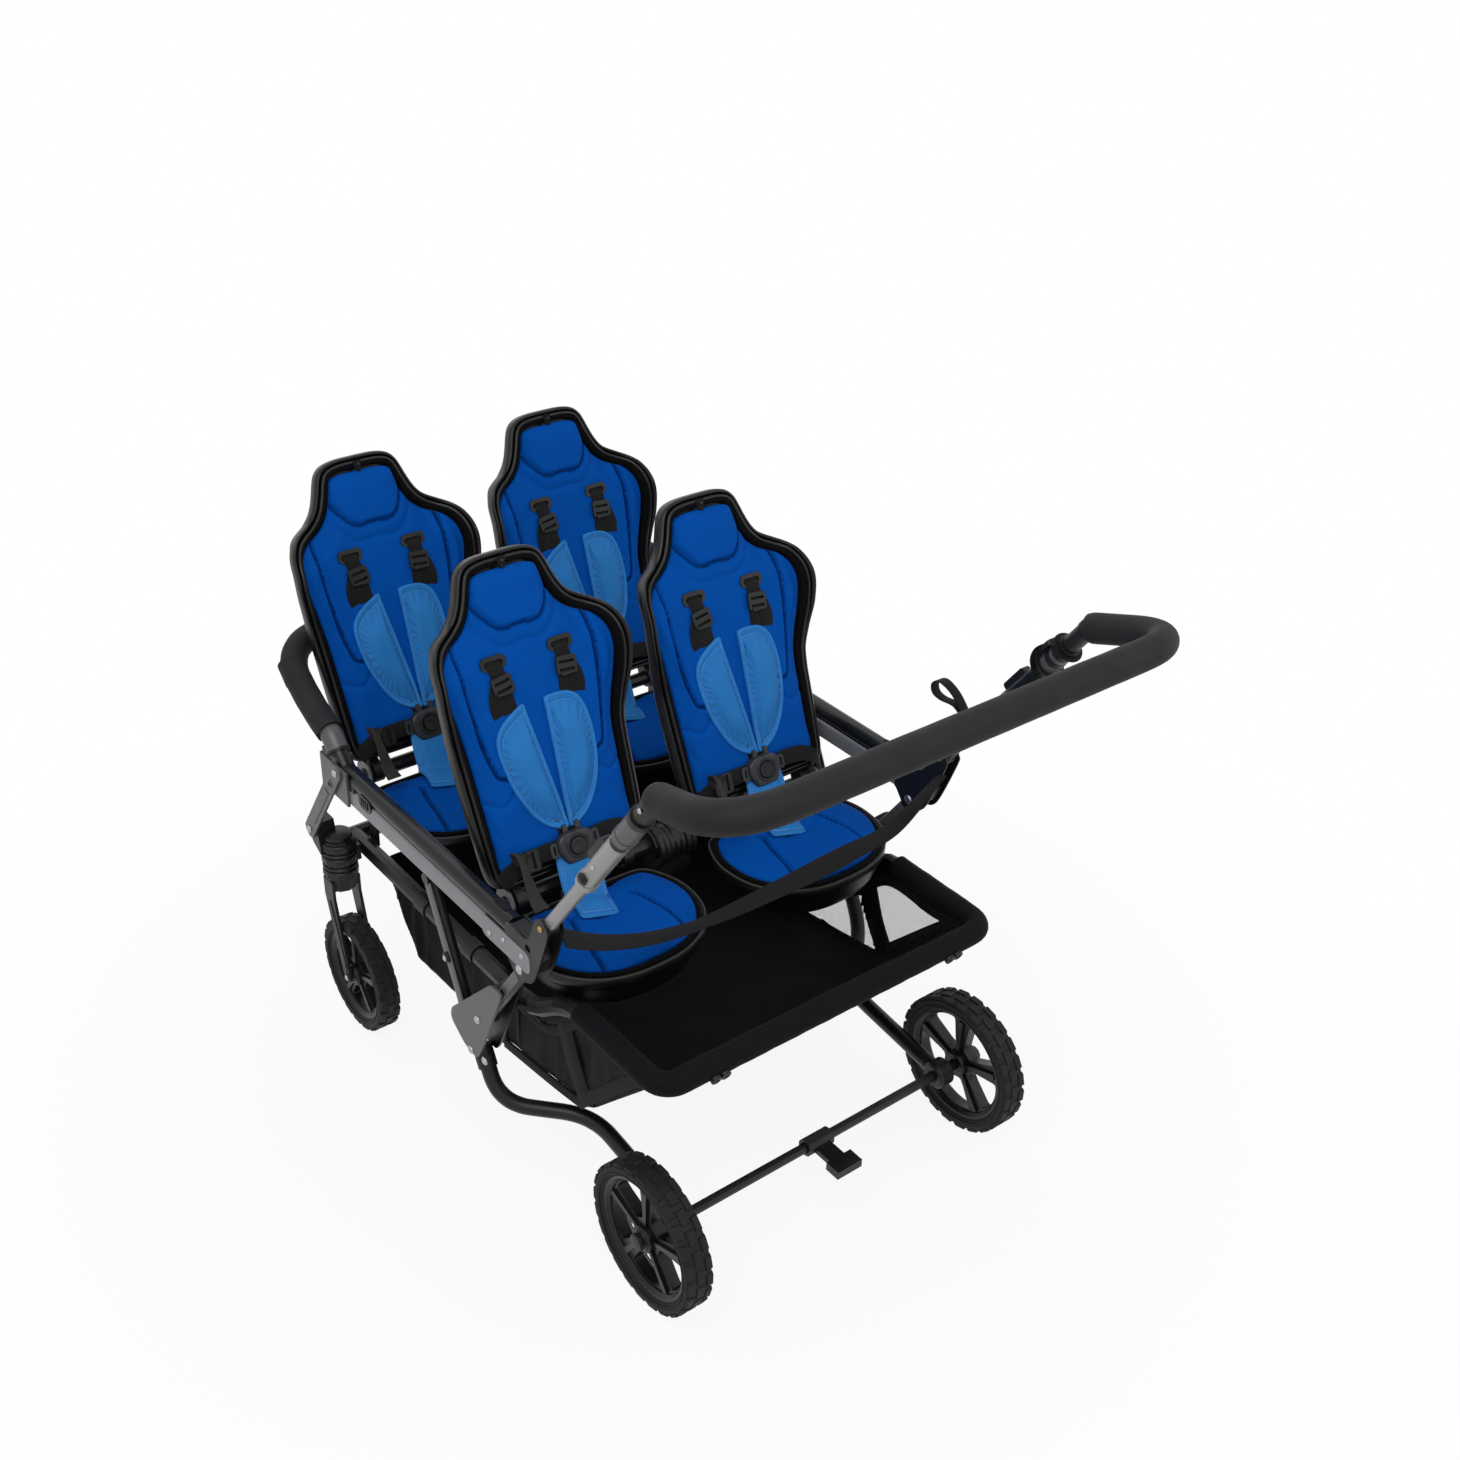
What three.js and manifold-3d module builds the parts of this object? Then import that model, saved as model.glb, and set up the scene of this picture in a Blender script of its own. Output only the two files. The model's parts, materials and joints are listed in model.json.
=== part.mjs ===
// Four seat daycare stroller: two rows of two moulded seats that face the handle, on a folding tube frame.
// Millimetres, +Z up. X points right for the person who pushes, +Y is the way the stroller rolls.
// Heights are measured from the ground. The finished group is centred over the origin at the end.

import * as THREE from 'three';
import { mergeVertices } from 'three/addons/utils/BufferGeometryUtils.js';
import Module from 'manifold-3d';

const wasm = await Module();
wasm.setup();

// Clearances between pieces, and the overrun that lets one cut or join pass cleanly through another.
const fit = 0.3;
const softFit = 0.6;
const overrun = 1;

// Wheels and axles.
const rearWheelRadius = 115;
const rearWheelWidth = 44;
const rearTrack = 600;
const frontWheelRadius = 100;
const frontWheelWidth = 38;
const casterSpacing = 684;
const casterTrail = 40;
const tyreThickness = 22;
const rimThickness = 9;
const spokeCount = 5;
const spokeWidth = 13;
const wheelHubRadius = 20;
const axleRadius = 8;
const casterPinRadius = 5;
const treadDepth = 3;
const treadBlocks = 12;
const treadBlockShare = 0.55;
const treadWidthShare = 0.72;
const rimWidthShare = 0.62;

// Lower frame: one tube loop. It rises behind the knees to the rear bar, where the tub's hem runs.
const lowerTubeRadius = 14;
const lowerTubeSpacing = 592;
const lowerTubeHeight = 315;
const lowerTubeFrontReach = 14;
const lowerRiseFrontReach = 30;
const lowerRiseLength = 96;
const rearBarReach = 16;
const rearBarRise = 73;
const lowerCornerLength = 36;

// Upper rails: a tall oval extrusion on each side. Heights are above the lower tube.
const railSpacing = 710;
const railWidth = 28;
const railHeight = 58;
const railRise = 225;
const railLength = 542;
const railRound = 12;

// Fold linkage. Link and brace lie in the plane of the rails, between two plates at the knee.
const linkFootY = 298;
const linkFootDrop = 3;
const linkLength = 200;
const linkLeanDegrees = 125;
const linkRadius = 10.5;
const linkEndRadius = 13;
const linkHeadReach = 33;
const pivotPinRadius = 5;
const linkBase = 500;
const frontLinkFootRise = 51;
const frontLinkWidth = 28;
const linkPlateThickness = 4;
const braceFootReach = 52;
const braceFootDrop = 35;
const braceReach = 90;
const braceRadius = 9;
const cheekThickness = 2.5;
const hingeBlockLength = 62;
const hingeBlockMargin = 4;

// Knee plates and lower legs. The plate's outline runs along and across the link, as shares of its length.
const kneePlateLength = 200;
const kneePlateShares = [
  [0.58, 0.03],
  [0.5, -0.09],
  [-0.33, -0.23],
  [-0.42, -0.18],
  [-0.42, 0.05],
  [-0.34, 0.19],
  [-0.25, 0.19],
];
const legRadius = 12;
const legBendLength = 18;
const legKneeReach = 24;
const legKneeDrop = 75;
const legUnderReach = 20;
const legUnderRise = 43;
const legTuckReach = 108;
const legTuckRise = 27;
const legWheelGap = 28;
const axleY = -26;
const axleCapRadius = 13;
const axleCapLength = 5;
const axleHousingRadius = 22;
const axleHousingLength = 26;
const standoffRadius = 9;

// Brake pedal on the rear axle.
const pedalSpan = 46;
const pedalArmLength = 74;
const pedalArmThickness = 9;
const pedalRingRadius = 14;
const pedalPadLength = 26;

// Caster heads and forks.
const casterReach = 23;
const casterHeadRadius = 26;
const casterHeadRise = 36;
const casterHeadDrop = 40;
const casterRibCount = 3;
const casterRibDepth = 3;
const casterRibWidth = 7;
const forkStemRadius = 9;
const forkStemDepth = 40;
const forkCrownThickness = 18;
const forkBladeThickness = 5;
const forkBladeWidth = 30;
const forkWheelGap = 1.2;
const forkCrownRadius = 24;

// Handle: hinged arms, and a foam grip on sleeves that slide along them.
const armPivotReach = 23;
const armPivotRise = 38;
const armLeanDegrees = 126;
const armLength = 285;
const armRadius = 9.5;
const armPivotRadius = 12;
const sleeveRadius = 14;
const sleeveStart = 150;
const gripKneeAlong = 392;
const gripBarReach = 375;
const gripBarRise = 364;
const gripFlare = 18;
const gripCornerLength = 50;
const gripFoamRadius = 21;

// Front bar behind the front row. Places are counted from the front end of the rails and from their top.
const frontBarReach = 213;
const frontBarRise = 105;
const frontBarKneeReach = 108;
const frontBarKneeRise = 50;
const frontBarFoamRadius = 21;
const frontBarTuck = 12;
const frontBarCornerLength = 40;
const frontBarCornerSteps = 3;
const frontBarTubeRadius = 16;
const frontBarStartRise = 8;
const frontBarCollarLength = 34;
const frontBracketLength = 46;

// Seats, in two rows of two.
const seatPitchAcross = 350;
const rowPitch = 420;
const seatHingeReach = 52;
const seatHingeRise = 134;
const backLeanDegrees = 22.3;
const hingeTubeRadius = 12;
const hubRadius = 24;
const hubLength = 76;
const hubRingCount = 3;
const hubRingDepth = 4;
const hubRingShare = 0.5;

// Seat back: heights run along the back from the hinge, widths are half widths.
const backHeight = 490;
const backHalfWidth = 158;
const backFront = 15;
const backFloor = 3;
const backRear = -9;
const backRim = 6;
const backRimSlope = 2;
const wingReach = 47;
const wingRootHalfWidth = 96;
const wingCurvePower = 1.3;
const earWidth = 16;
const earSpacing = 186;
const earRadius = 17;
const earHeight = 62;

// Outline of the back as height share and half width share, and how far the wings come forward there.
const backOutlineShares = [
  [0.049, 0.75, 0],
  [0.075, 0.84, 0],
  [0.418, 0.9, 0],
  [0.5, 0.943, 0.34],
  [0.582, 1, 0.76],
  [0.684, 0.994, 1],
  [0.751, 0.962, 0.6],
  [0.784, 0.905, 0.15],
  [0.837, 0.614, 0],
  [0.914, 0.478, 0],
  [0.972, 0.425, 0],
  [1, 0.27, 0],
];
const backColumnShares = [0.68];

// Back pad: a crowned cushion in the shell, with two long sewn channels.
const padInset = 9;
const padSideDraw = 4;
const padCrown = 10;
const padCrownPower = 4;
const channelDepth = 7;
const channelWidth = 9;
const channelX = 70;
const channelLowShare = 0.3;
const channelHighShare = 0.8;
const padWingClear = 3;

// Seat pan and its pad.
const panHingeGap = 15;
const panDepth = 207;
const panHalfWidth = 141;
const panRimDrop = 21;
const panRimHeight = 16;
const panRim = 5;
const panRimSlope = 2;
const panFloorDrop = 5;
const panBaseDrop = 58;
const panBaseShare = 0.8;
const panPadCrown = 13;
const panPadEdge = 9;
const panChannelDepth = 6;
const panChannelWidth = 9;
const panSeamShare = 0.6;
const panCrownShare = 0.3;
const panShoulderShare = 0.94;
const panCrownEaseShare = 0.25;
const panColumnShares = [0.55];
const panOutlineShares = [
  [0, 0.8],
  [0.1, 0.92],
  [0.35, 1],
  [0.62, 0.95],
  [0.82, 0.78],
  [1, 0.42],
];

// Seat carriers under the pans.
const carrierArmWidth = 30;
const carrierArmThickness = 6;
const carrierArmReach = 160;
const carrierPlateThickness = 4;
const carrierPlateLength = 26;

// Harness: shoulder webbing, chest pads, lap belt, crotch pad and buckle.
const webWidth = 25;
const webThickness = 2.4;
const slotHeightAlong = 341;
const slotSpacing = 108;
const chestPadTopAlong = 292;
const chestPadFootAlong = 96;
const chestPadWidth = 58;
const chestPadThickness = 11;
const chestPadFootShare = 0.55;
const chestPadSlope = 6;
const harnessLift = 0.3;
const buckleAlong = 55;
const buckleWidth = 58;
const buckleHeight = 50;
const buckleThickness = 16;
const buckleChamfer = 10;
const buttonRadius = 13;
const buttonThickness = 5;
const buttonTravel = 2;
const lapBeltReach = 118;
const crotchPadWidth = 62;
const crotchPadThickness = 9;
const crotchPadFootY = 68;
const crotchPadFootLift = 9;

// Fabric tub hung below the lower frame.
const tubWall = 3;
const tubHalfWidth = 289;
const tubTopClear = 0.5;
const tubRiseClear = 20;
const tubFrontReach = 70;
const tubFrontSlope = 100;
const tubFrontRise = 35;
const tubRearRise = 83;
const tubRearSlope = 170;
const tubRearReach = 22;
const tubMidShare = 0.4;
const tubSag = 12;

// Webbing strap between the two hinge blocks. It hangs flat across the middle and climbs at its ends.
const strapWidth = 34;
const strapThickness = 2;
const strapReach = 8;
const strapRise = 16;
const strapSag = 80;
const strapLeanDegrees = 60;
const strapSagPower = 3;
const strapSteps = 12;

// Faces around round pieces.
const fine = 20;
const coarse = 10;
const bendSteps = 4;
const tightBendSteps = 2;

// Colours.
const frameGrey = new THREE.MeshStandardMaterial({ color: 0x5c5d5f, roughness: 0.42, metalness: 0.7 });
const frameBlack = new THREE.MeshStandardMaterial({ color: 0x1b1b1d, roughness: 0.45, metalness: 0.5 });
const shellBlack = new THREE.MeshStandardMaterial({ color: 0x1d1c1c, roughness: 0.5, metalness: 0 });
const plasticBlack = new THREE.MeshStandardMaterial({ color: 0x161617, roughness: 0.55, metalness: 0 });
const tyreBlack = new THREE.MeshStandardMaterial({ color: 0x1a1a1b, roughness: 0.85, metalness: 0 });
const foamBlack = new THREE.MeshStandardMaterial({ color: 0x1a1a1c, roughness: 0.9, metalness: 0 });
const padBlue = new THREE.MeshStandardMaterial({ color: 0x0a53b8, roughness: 0.85, metalness: 0 });
const strapBlue = new THREE.MeshStandardMaterial({ color: 0x2f7cc6, roughness: 0.8, metalness: 0 });
const webBlack = new THREE.MeshStandardMaterial({ color: 0x121213, roughness: 0.9, metalness: 0 });
const buttonGrey = new THREE.MeshStandardMaterial({ color: 0x3a3b3d, roughness: 0.5, metalness: 0 });

// Solids: from a three.js geometry to a manifold and back.
function solid(geometry) {
  geometry.deleteAttribute('normal');
  geometry.deleteAttribute('uv');
  const merged = mergeVertices(geometry, 1e-4);
  const mesh = new wasm.Mesh({
    numProp: 3,
    vertProperties: new Float32Array(merged.attributes.position.array),
    triVerts: new Uint32Array(merged.index.array),
  });
  mesh.merge();
  return new wasm.Manifold(mesh);
}

function surface(body) {
  const mesh = body.getMesh();
  const geometry = new THREE.BufferGeometry();
  geometry.setAttribute('position', new THREE.BufferAttribute(mesh.vertProperties, 3));
  geometry.setIndex(new THREE.BufferAttribute(mesh.triVerts, 1));
  return geometry;
}

function join(bodies) {
  return bodies.reduce((whole, next) => whole.add(next));
}

function cut(body, tools) {
  return tools.reduce((whole, tool) => whole.subtract(tool), body);
}

// A block between two corners.
function block(low, high) {
  const size = high.map((value, i) => value - low[i]);
  const geometry = new THREE.BoxGeometry(...size);
  geometry.translate(...low.map((value, i) => value + size[i] / 2));
  return solid(geometry);
}

// A round rod from one point to another.
function rod(from, to, radius, sides = coarse, endRadius = radius) {
  const start = new THREE.Vector3(...from);
  const end = new THREE.Vector3(...to);
  const along = end.clone().sub(start);
  const geometry = new THREE.CylinderGeometry(endRadius, radius, along.length(), sides);
  const turn = new THREE.Quaternion().setFromUnitVectors(new THREE.Vector3(0, 1, 0), along.normalize());
  geometry.applyQuaternion(turn);
  geometry.translate(...start.add(end).multiplyScalar(0.5).toArray());
  return solid(geometry);
}

// A disc or pin that lies along X, from x0 to x1, round the point (y, z).
function pinAcross(x0, x1, y, z, radius, sides = coarse) {
  return rod([x0, y, z], [x1, y, z], radius, sides);
}

// A flat plate that lies across X, from x0 to x1, with an outline of [y, z] points.
function plateAcross(x0, x1, outline) {
  const shape = new THREE.Shape(outline.map(([y, z]) => new THREE.Vector2(y, z)));
  const geometry = new THREE.ExtrudeGeometry(shape, { depth: x1 - x0, bevelEnabled: false });
  geometry.rotateY(Math.PI / 2);
  geometry.rotateX(Math.PI / 2);
  geometry.translate(x0, 0, 0);
  return solid(geometry);
}

// The middle line of a bent tube: straight runs of one step each, and corners of a few steps each.
class TubePath extends THREE.Curve {
  constructor(points, cornerLength, cornerSteps) {
    super();
    const corners = points.map((point) => new THREE.Vector3(...point));
    this.stations = [corners[0]];
    corners.slice(1, -1).forEach((corner, i) => {
      const before = corner.clone().sub(corners[i]).normalize();
      const after = corners[i + 2].clone().sub(corner).normalize();
      const bend = new THREE.QuadraticBezierCurve3(
        corner.clone().addScaledVector(before, -cornerLength),
        corner,
        corner.clone().addScaledVector(after, cornerLength),
      );
      this.stations.push(...bend.getPoints(cornerSteps));
    });
    this.stations.push(corners.at(-1));
  }

  get steps() {
    return this.stations.length - 1;
  }

  getUtoTmapping(u) {
    return u;
  }

  getPoint(t) {
    const place = Math.min(t * this.steps, this.steps - 1e-9);
    const i = Math.floor(place);
    return this.stations[i].clone().lerp(this.stations[i + 1], place - i);
  }
}

function roundSection(radius, sides) {
  const corners = Array.from({ length: sides }, (_, i) => {
    const angle = (i / sides) * Math.PI * 2;
    return new THREE.Vector2(radius * Math.cos(angle), radius * Math.sin(angle));
  });
  return new THREE.Shape(corners);
}

function bentTube(points, cornerLength, radius, cornerSteps = bendSteps, sides = coarse) {
  const path = new TubePath(points, cornerLength, cornerSteps);
  const geometry = new THREE.ExtrudeGeometry(roundSection(radius, sides), {
    steps: path.steps,
    bevelEnabled: false,
    extrudePath: path,
  });
  return solid(geometry);
}

// A closed body between two faces of one grid: place(column, row, face) gives each point.
function gridBody(columns, rows, place) {
  const positions = [];
  const triangles = [];
  const perFace = columns * rows;
  const index = (column, row, face) => face * perFace + row * columns + column;
  for (const face of [0, 1]) {
    for (let row = 0; row < rows; row += 1) {
      for (let column = 0; column < columns; column += 1) positions.push(...place(column, row, face));
    }
  }
  const quad = (a, b, c, d) => triangles.push(a, b, c, a, c, d);
  for (let row = 0; row < rows - 1; row += 1) {
    for (let column = 0; column < columns - 1; column += 1) {
      const corners = (face) => [
        index(column, row, face),
        index(column + 1, row, face),
        index(column + 1, row + 1, face),
        index(column, row + 1, face),
      ];
      const [first, second, third, fourth] = corners(1);
      quad(...corners(0));
      quad(first, fourth, third, second);
    }
  }
  const edge = [];
  for (let column = 0; column < columns - 1; column += 1) edge.push([column, 0]);
  for (let row = 0; row < rows - 1; row += 1) edge.push([columns - 1, row]);
  for (let column = columns - 1; column > 0; column -= 1) edge.push([column, rows - 1]);
  for (let row = rows - 1; row > 0; row -= 1) edge.push([0, row]);
  edge.forEach(([column, row], i) => {
    const [nextColumn, nextRow] = edge[(i + 1) % edge.length];
    quad(
      index(nextColumn, nextRow, 0),
      index(column, row, 0),
      index(column, row, 1),
      index(nextColumn, nextRow, 1),
    );
  });
  const geometry = new THREE.BufferGeometry();
  geometry.setAttribute('position', new THREE.Float32BufferAttribute(positions, 3));
  geometry.setIndex(triangles);
  return solid(geometry);
}

// Columns of a seat shell or pad, mirrored round its middle column.
function mirroredColumns(oneSide, middle) {
  const left = oneSide.map((column) => ({ ...column, side: -1 })).reverse();
  const right = oneSide.map((column) => ({ ...column, side: 1 }));
  return [...left, { ...middle, side: 1 }, ...right];
}

function smooth(value) {
  const t = Math.min(Math.max(value, 0), 1);
  return t * t * (3 - 2 * t);
}

function table(rows, column, key) {
  const last = rows.length - 1;
  if (key <= rows[0][0]) return rows[0][column];
  if (key >= rows[last][0]) return rows[last][column];
  const i = rows.findIndex((row) => row[0] > key);
  const share = (key - rows[i - 1][0]) / (rows[i][0] - rows[i - 1][0]);
  return rows[i - 1][column] + share * (rows[i][column] - rows[i - 1][column]);
}

function turned(points, degrees, centre) {
  const angle = THREE.MathUtils.degToRad(degrees);
  return points.map(([y, z]) => [
    centre.y + y * Math.cos(angle) - z * Math.sin(angle),
    centre.z + y * Math.sin(angle) + z * Math.cos(angle),
  ]);
}

// The radius of a faceted bore in which a faceted pin of the given radius can turn.
function turningBore(pinRadius) {
  return (pinRadius + fit) / Math.cos(Math.PI / coarse);
}

// Places worked out from the driving dimensions.
const railX = railSpacing / 2;
const railInner = railX - railWidth / 2;
const railOuter = railX + railWidth / 2;
const railTop = lowerTubeHeight + railRise;
const railBottom = railTop - railHeight;
const linkLean = THREE.MathUtils.degToRad(linkLeanDegrees);
const linkVector = { y: linkLength * Math.cos(linkLean), z: linkLength * Math.sin(linkLean) };
const rearLinkFoot = { y: linkFootY, z: lowerTubeHeight - linkFootDrop };
const rearLinkHead = { y: rearLinkFoot.y + linkVector.y, z: rearLinkFoot.z + linkVector.z };
const frontLinkFoot = { y: linkFootY + linkBase, z: lowerTubeHeight + frontLinkFootRise };
const frontLinkHead = { y: frontLinkFoot.y + linkVector.y, z: frontLinkFoot.z + linkVector.z };
const railRear = rearLinkHead.y - linkHeadReach;
const railFront = railRear + railLength;
const braceFoot = { y: linkFootY + braceFootReach, z: lowerTubeHeight - braceFootDrop };
const braceTop = { y: braceFoot.y + braceReach, z: railBottom - braceRadius - softFit };
const plateOuterX = railOuter + fit;
const plateInnerX = railInner - fit;
const lowerTubeX = lowerTubeSpacing / 2;
const lowerTubeOuter = lowerTubeX + lowerTubeRadius;
const lowerFrontY = frontLinkFoot.y + lowerTubeFrontReach;
const lowerRiseFrontY = linkFootY - lowerRiseFrontReach;
const lowerRiseRearY = lowerRiseFrontY - lowerRiseLength;
const rearBarY = axleY - rearBarReach;
const rearBarHeight = lowerTubeHeight + rearBarRise;
const casterX = casterSpacing / 2;
const casterY = frontLinkFoot.y - casterReach;
const casterHeadTop = lowerTubeHeight + casterHeadRise;
const casterHeadBottom = lowerTubeHeight - casterHeadDrop;
const seatX = seatPitchAcross / 2;
const seatHingeY = linkFootY + seatHingeReach;
const seatHingeZ = lowerTubeHeight + seatHingeRise;
const panRear = seatHingeY - panHingeGap;
const panRimTop = seatHingeZ - panRimDrop;
const panBaseHeight = panRimTop - panBaseDrop;
const wheelX = rearTrack / 2;
const armPivotY = railRear - armPivotReach;
const armPivotZ = railTop + armPivotRise;
const gripBarY = armPivotY - gripBarReach;
const gripBarZ = armPivotZ + gripBarRise;
const frontBarStartZ = railTop + frontBarStartRise;
const armLean = THREE.MathUtils.degToRad(armLeanDegrees);
const armAlong = (distance) => [
  armPivotY + distance * Math.cos(armLean),
  armPivotZ + distance * Math.sin(armLean),
];

const group = new THREE.Group();

function addPiece(parent, name, body, material) {
  const mesh = new THREE.Mesh(surface(body), material);
  mesh.name = name;
  parent.add(mesh);
  return mesh;
}

// The left piece is the right one mirrored across the stroller's middle.
function addPair(name, body, material) {
  addPiece(group, `${name}_right`, body, material);
  addPiece(group, `${name}_left`, body.mirror([1, 0, 0]), material);
}

// Upper rail, with the hinge block and its cheeks at the rear end.
function upperRail() {
  const half = railWidth / 2;
  const shape = new THREE.Shape();
  const round = railRound;
  shape.moveTo(-half, round / 2);
  shape.lineTo(-half + round / 2, 0);
  shape.lineTo(half - round / 2, 0);
  shape.lineTo(half, round / 2);
  shape.lineTo(half, railHeight - round);
  shape.lineTo(half - round / 3, railHeight - round / 3);
  shape.lineTo(half - round, railHeight);
  shape.lineTo(-half + round, railHeight);
  shape.lineTo(-half + round / 3, railHeight - round / 3);
  shape.lineTo(-half, railHeight - round);
  const blockEnd = railRear + hingeBlockLength;
  const rail = new THREE.ExtrudeGeometry(shape, { depth: railFront - blockEnd, bevelEnabled: false });
  rail.rotateX(Math.PI / 2);
  rail.translate(railX, railFront, railBottom);
  const cheekTop = armPivotZ + armPivotRadius;
  const cheekOutline = [
    [blockEnd + hingeBlockMargin, railTop - railRound],
    [blockEnd + hingeBlockMargin, railBottom],
    [rearLinkHead.y + linkEndRadius, rearLinkHead.z - linkEndRadius],
    [rearLinkHead.y - linkEndRadius, rearLinkHead.z - linkEndRadius],
    [railRear - hingeBlockMargin, railBottom],
    [armPivotY - armPivotRadius, armPivotZ - armPivotRadius],
    [armPivotY - armPivotRadius, cheekTop],
    [armPivotY + armPivotRadius / 2, cheekTop],
    [railRear + armPivotRadius, railTop],
  ];
  const cheeks = [
    plateAcross(railInner, railInner + cheekThickness, cheekOutline),
    plateAcross(railOuter - cheekThickness, railOuter, cheekOutline),
  ];
  const pins = [
    pinAcross(railInner, railOuter, rearLinkHead.y, rearLinkHead.z, pivotPinRadius),
    pinAcross(railInner, railOuter, armPivotY, armPivotZ, pivotPinRadius),
  ];
  const web = block(
    [railInner, railRear, railTop - railRound * 2],
    [railOuter, blockEnd + overrun, railTop - railRound],
  );
  return join([solid(rail), ...cheeks, web, ...pins]);
}

// Bracket that carries the front bar and the head of the front link.
function frontBracket() {
  const front = railFront + fit;
  const body = block(
    [railInner, front, railBottom],
    [railOuter, front + frontBracketLength, frontBarStartZ - fit],
  );
  const lug = plateAcross(plateOuterX, plateOuterX + linkPlateThickness, [
    [frontLinkHead.y - frontLinkWidth, railBottom],
    [frontLinkHead.y - frontLinkWidth, railTop],
    [front + frontBracketLength, railTop],
    [front + frontBracketLength, railBottom],
  ]);
  const tie = block(
    [railOuter - overrun, front + fit, railBottom + railRound],
    [plateOuterX + overrun, front + frontBracketLength, railTop - railRound],
  );
  const pinEnd = plateOuterX + linkPlateThickness * 2 + fit * 2;
  const pin = pinAcross(plateOuterX, pinEnd, frontLinkHead.y, frontLinkHead.z, pivotPinRadius);
  return join([body, lug, tie, pin]);
}

function frontBar() {
  const cornerX = railX - frontBarTuck;
  const leg = [
    [railX, railFront + frontBarCollarLength, frontBarStartZ + frontBarFoamRadius],
    [railX, railFront + frontBarKneeReach, railTop + frontBarKneeRise],
    [cornerX, railFront + frontBarReach, railTop + frontBarRise],
  ];
  const points = [...leg.map(([x, y, z]) => [-x, y, z]), ...leg.reverse()];
  const foam = bentTube(points, frontBarCornerLength, frontBarFoamRadius, frontBarCornerSteps);
  const collars = [-railX, railX].map((side) =>
    rod(
      [side, railFront + frontBarTubeRadius + fit, frontBarStartZ],
      [side, railFront + frontBarCollarLength + overrun, frontBarStartZ + frontBarFoamRadius],
      frontBarTubeRadius,
    ),
  );
  const below = block(
    [-railSpacing, railFront - railHeight, railBottom],
    [railSpacing, railFront + railHeight * 2, frontBarStartZ],
  );
  return cut(join([foam, ...collars]), [below]);
}

// A straight link that fills the plane of the rails.
function flatLink(foot, head, radius, endRadius) {
  const bar = rod([railX, foot.y, foot.z], [railX, head.y, head.z], radius);
  const half = railWidth / 2 - cheekThickness - fit;
  const ends = [foot, head].map(({ y, z }) => pinAcross(railX - half, railX + half, y, z, endRadius));
  const bores = [foot, head].map(({ y, z }) =>
    pinAcross(railInner, railOuter, y, z, turningBore(pivotPinRadius)),
  );
  return cut(join([bar, ...ends]), bores);
}

function rearLink() {
  return flatLink(rearLinkFoot, rearLinkHead, linkRadius, linkEndRadius);
}

function frontLink() {
  const x0 = plateOuterX + linkPlateThickness + fit;
  const x1 = x0 + linkPlateThickness;
  const half = frontLinkWidth / 2;
  const outline = turned(
    [
      [-half, -half / 2],
      [-half / 2, -half],
      [linkLength + half / 2, -half],
      [linkLength + half, -half / 2],
      [linkLength + half, half / 2],
      [linkLength + half / 2, half],
      [-half / 2, half],
      [-half, half / 2],
    ],
    linkLeanDegrees,
    frontLinkFoot,
  );
  const bores = [frontLinkFoot, frontLinkHead].map(({ y, z }) =>
    pinAcross(x0 - overrun, x1 + overrun, y, z, turningBore(pivotPinRadius)),
  );
  return cut(plateAcross(x0, x1, outline), bores);
}

function brace() {
  const bar = rod([railX, braceFoot.y, braceFoot.z], [railX, braceTop.y, braceTop.z], braceRadius);
  const half = railWidth / 2 - cheekThickness;
  const ends = [
    pinAcross(railX - half, railX + half, braceFoot.y, braceFoot.z, braceRadius + overrun),
    pinAcross(railX - half, railX + half, braceTop.y, braceTop.z, braceRadius),
  ];
  const bore = pinAcross(railInner, railOuter, braceFoot.y, braceFoot.z, turningBore(pivotPinRadius));
  return cut(join([bar, ...ends]), [bore]);
}

// Rear leg: two knee plates with their pins, the lower leg tube and the axle housing.
function rearLeg() {
  const foot = rearLinkFoot;
  const outline = turned(
    kneePlateShares.map((point) => point.map((share) => share * kneePlateLength)),
    linkLeanDegrees,
    foot,
  );
  const outer = plateAcross(plateOuterX, plateOuterX + linkPlateThickness, outline);
  const inner = plateAcross(plateInnerX - linkPlateThickness, plateInnerX, outline);
  const pinStart = plateInnerX - overrun;
  const pinEnd = plateOuterX + overrun;
  const pins = [foot, braceFoot].map(({ y, z }) => pinAcross(pinStart, pinEnd, y, z, pivotPinRadius));
  const standoff = pinAcross(
    lowerTubeOuter + fit,
    plateInnerX - overrun,
    foot.y,
    lowerTubeHeight,
    standoffRadius,
  );
  const legX = (plateInnerX + plateOuterX) / 2;
  const legTuckX = wheelX - rearWheelWidth / 2 - legWheelGap;
  const legKneeY = foot.y + legKneeReach;
  const legKneeZ = lowerTubeHeight - legKneeDrop;
  const route = [
    [legX, legKneeY, legKneeZ],
    [legX, foot.y - legUnderReach, rearWheelRadius + legUnderRise],
    [legTuckX, foot.y - legTuckReach, rearWheelRadius + legTuckRise],
    [legTuckX, axleY, rearWheelRadius],
  ];
  const tube = bentTube(route, legBendLength, legRadius, tightBendSteps);
  const clampPin = pinAcross(pinStart, pinEnd, legKneeY, legKneeZ, legRadius / 2);
  const housing = pinAcross(
    legTuckX - axleHousingLength / 2,
    legTuckX + axleHousingLength / 2,
    axleY,
    rearWheelRadius,
    axleHousingRadius,
  );
  const bore = pinAcross(
    legTuckX - axleHousingLength,
    legTuckX + axleHousingLength,
    axleY,
    rearWheelRadius,
    axleRadius + fit,
  );
  const body = join([outer, inner, ...pins, standoff, tube, clampPin, housing]);
  return cut(body, [bore]);
}

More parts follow.
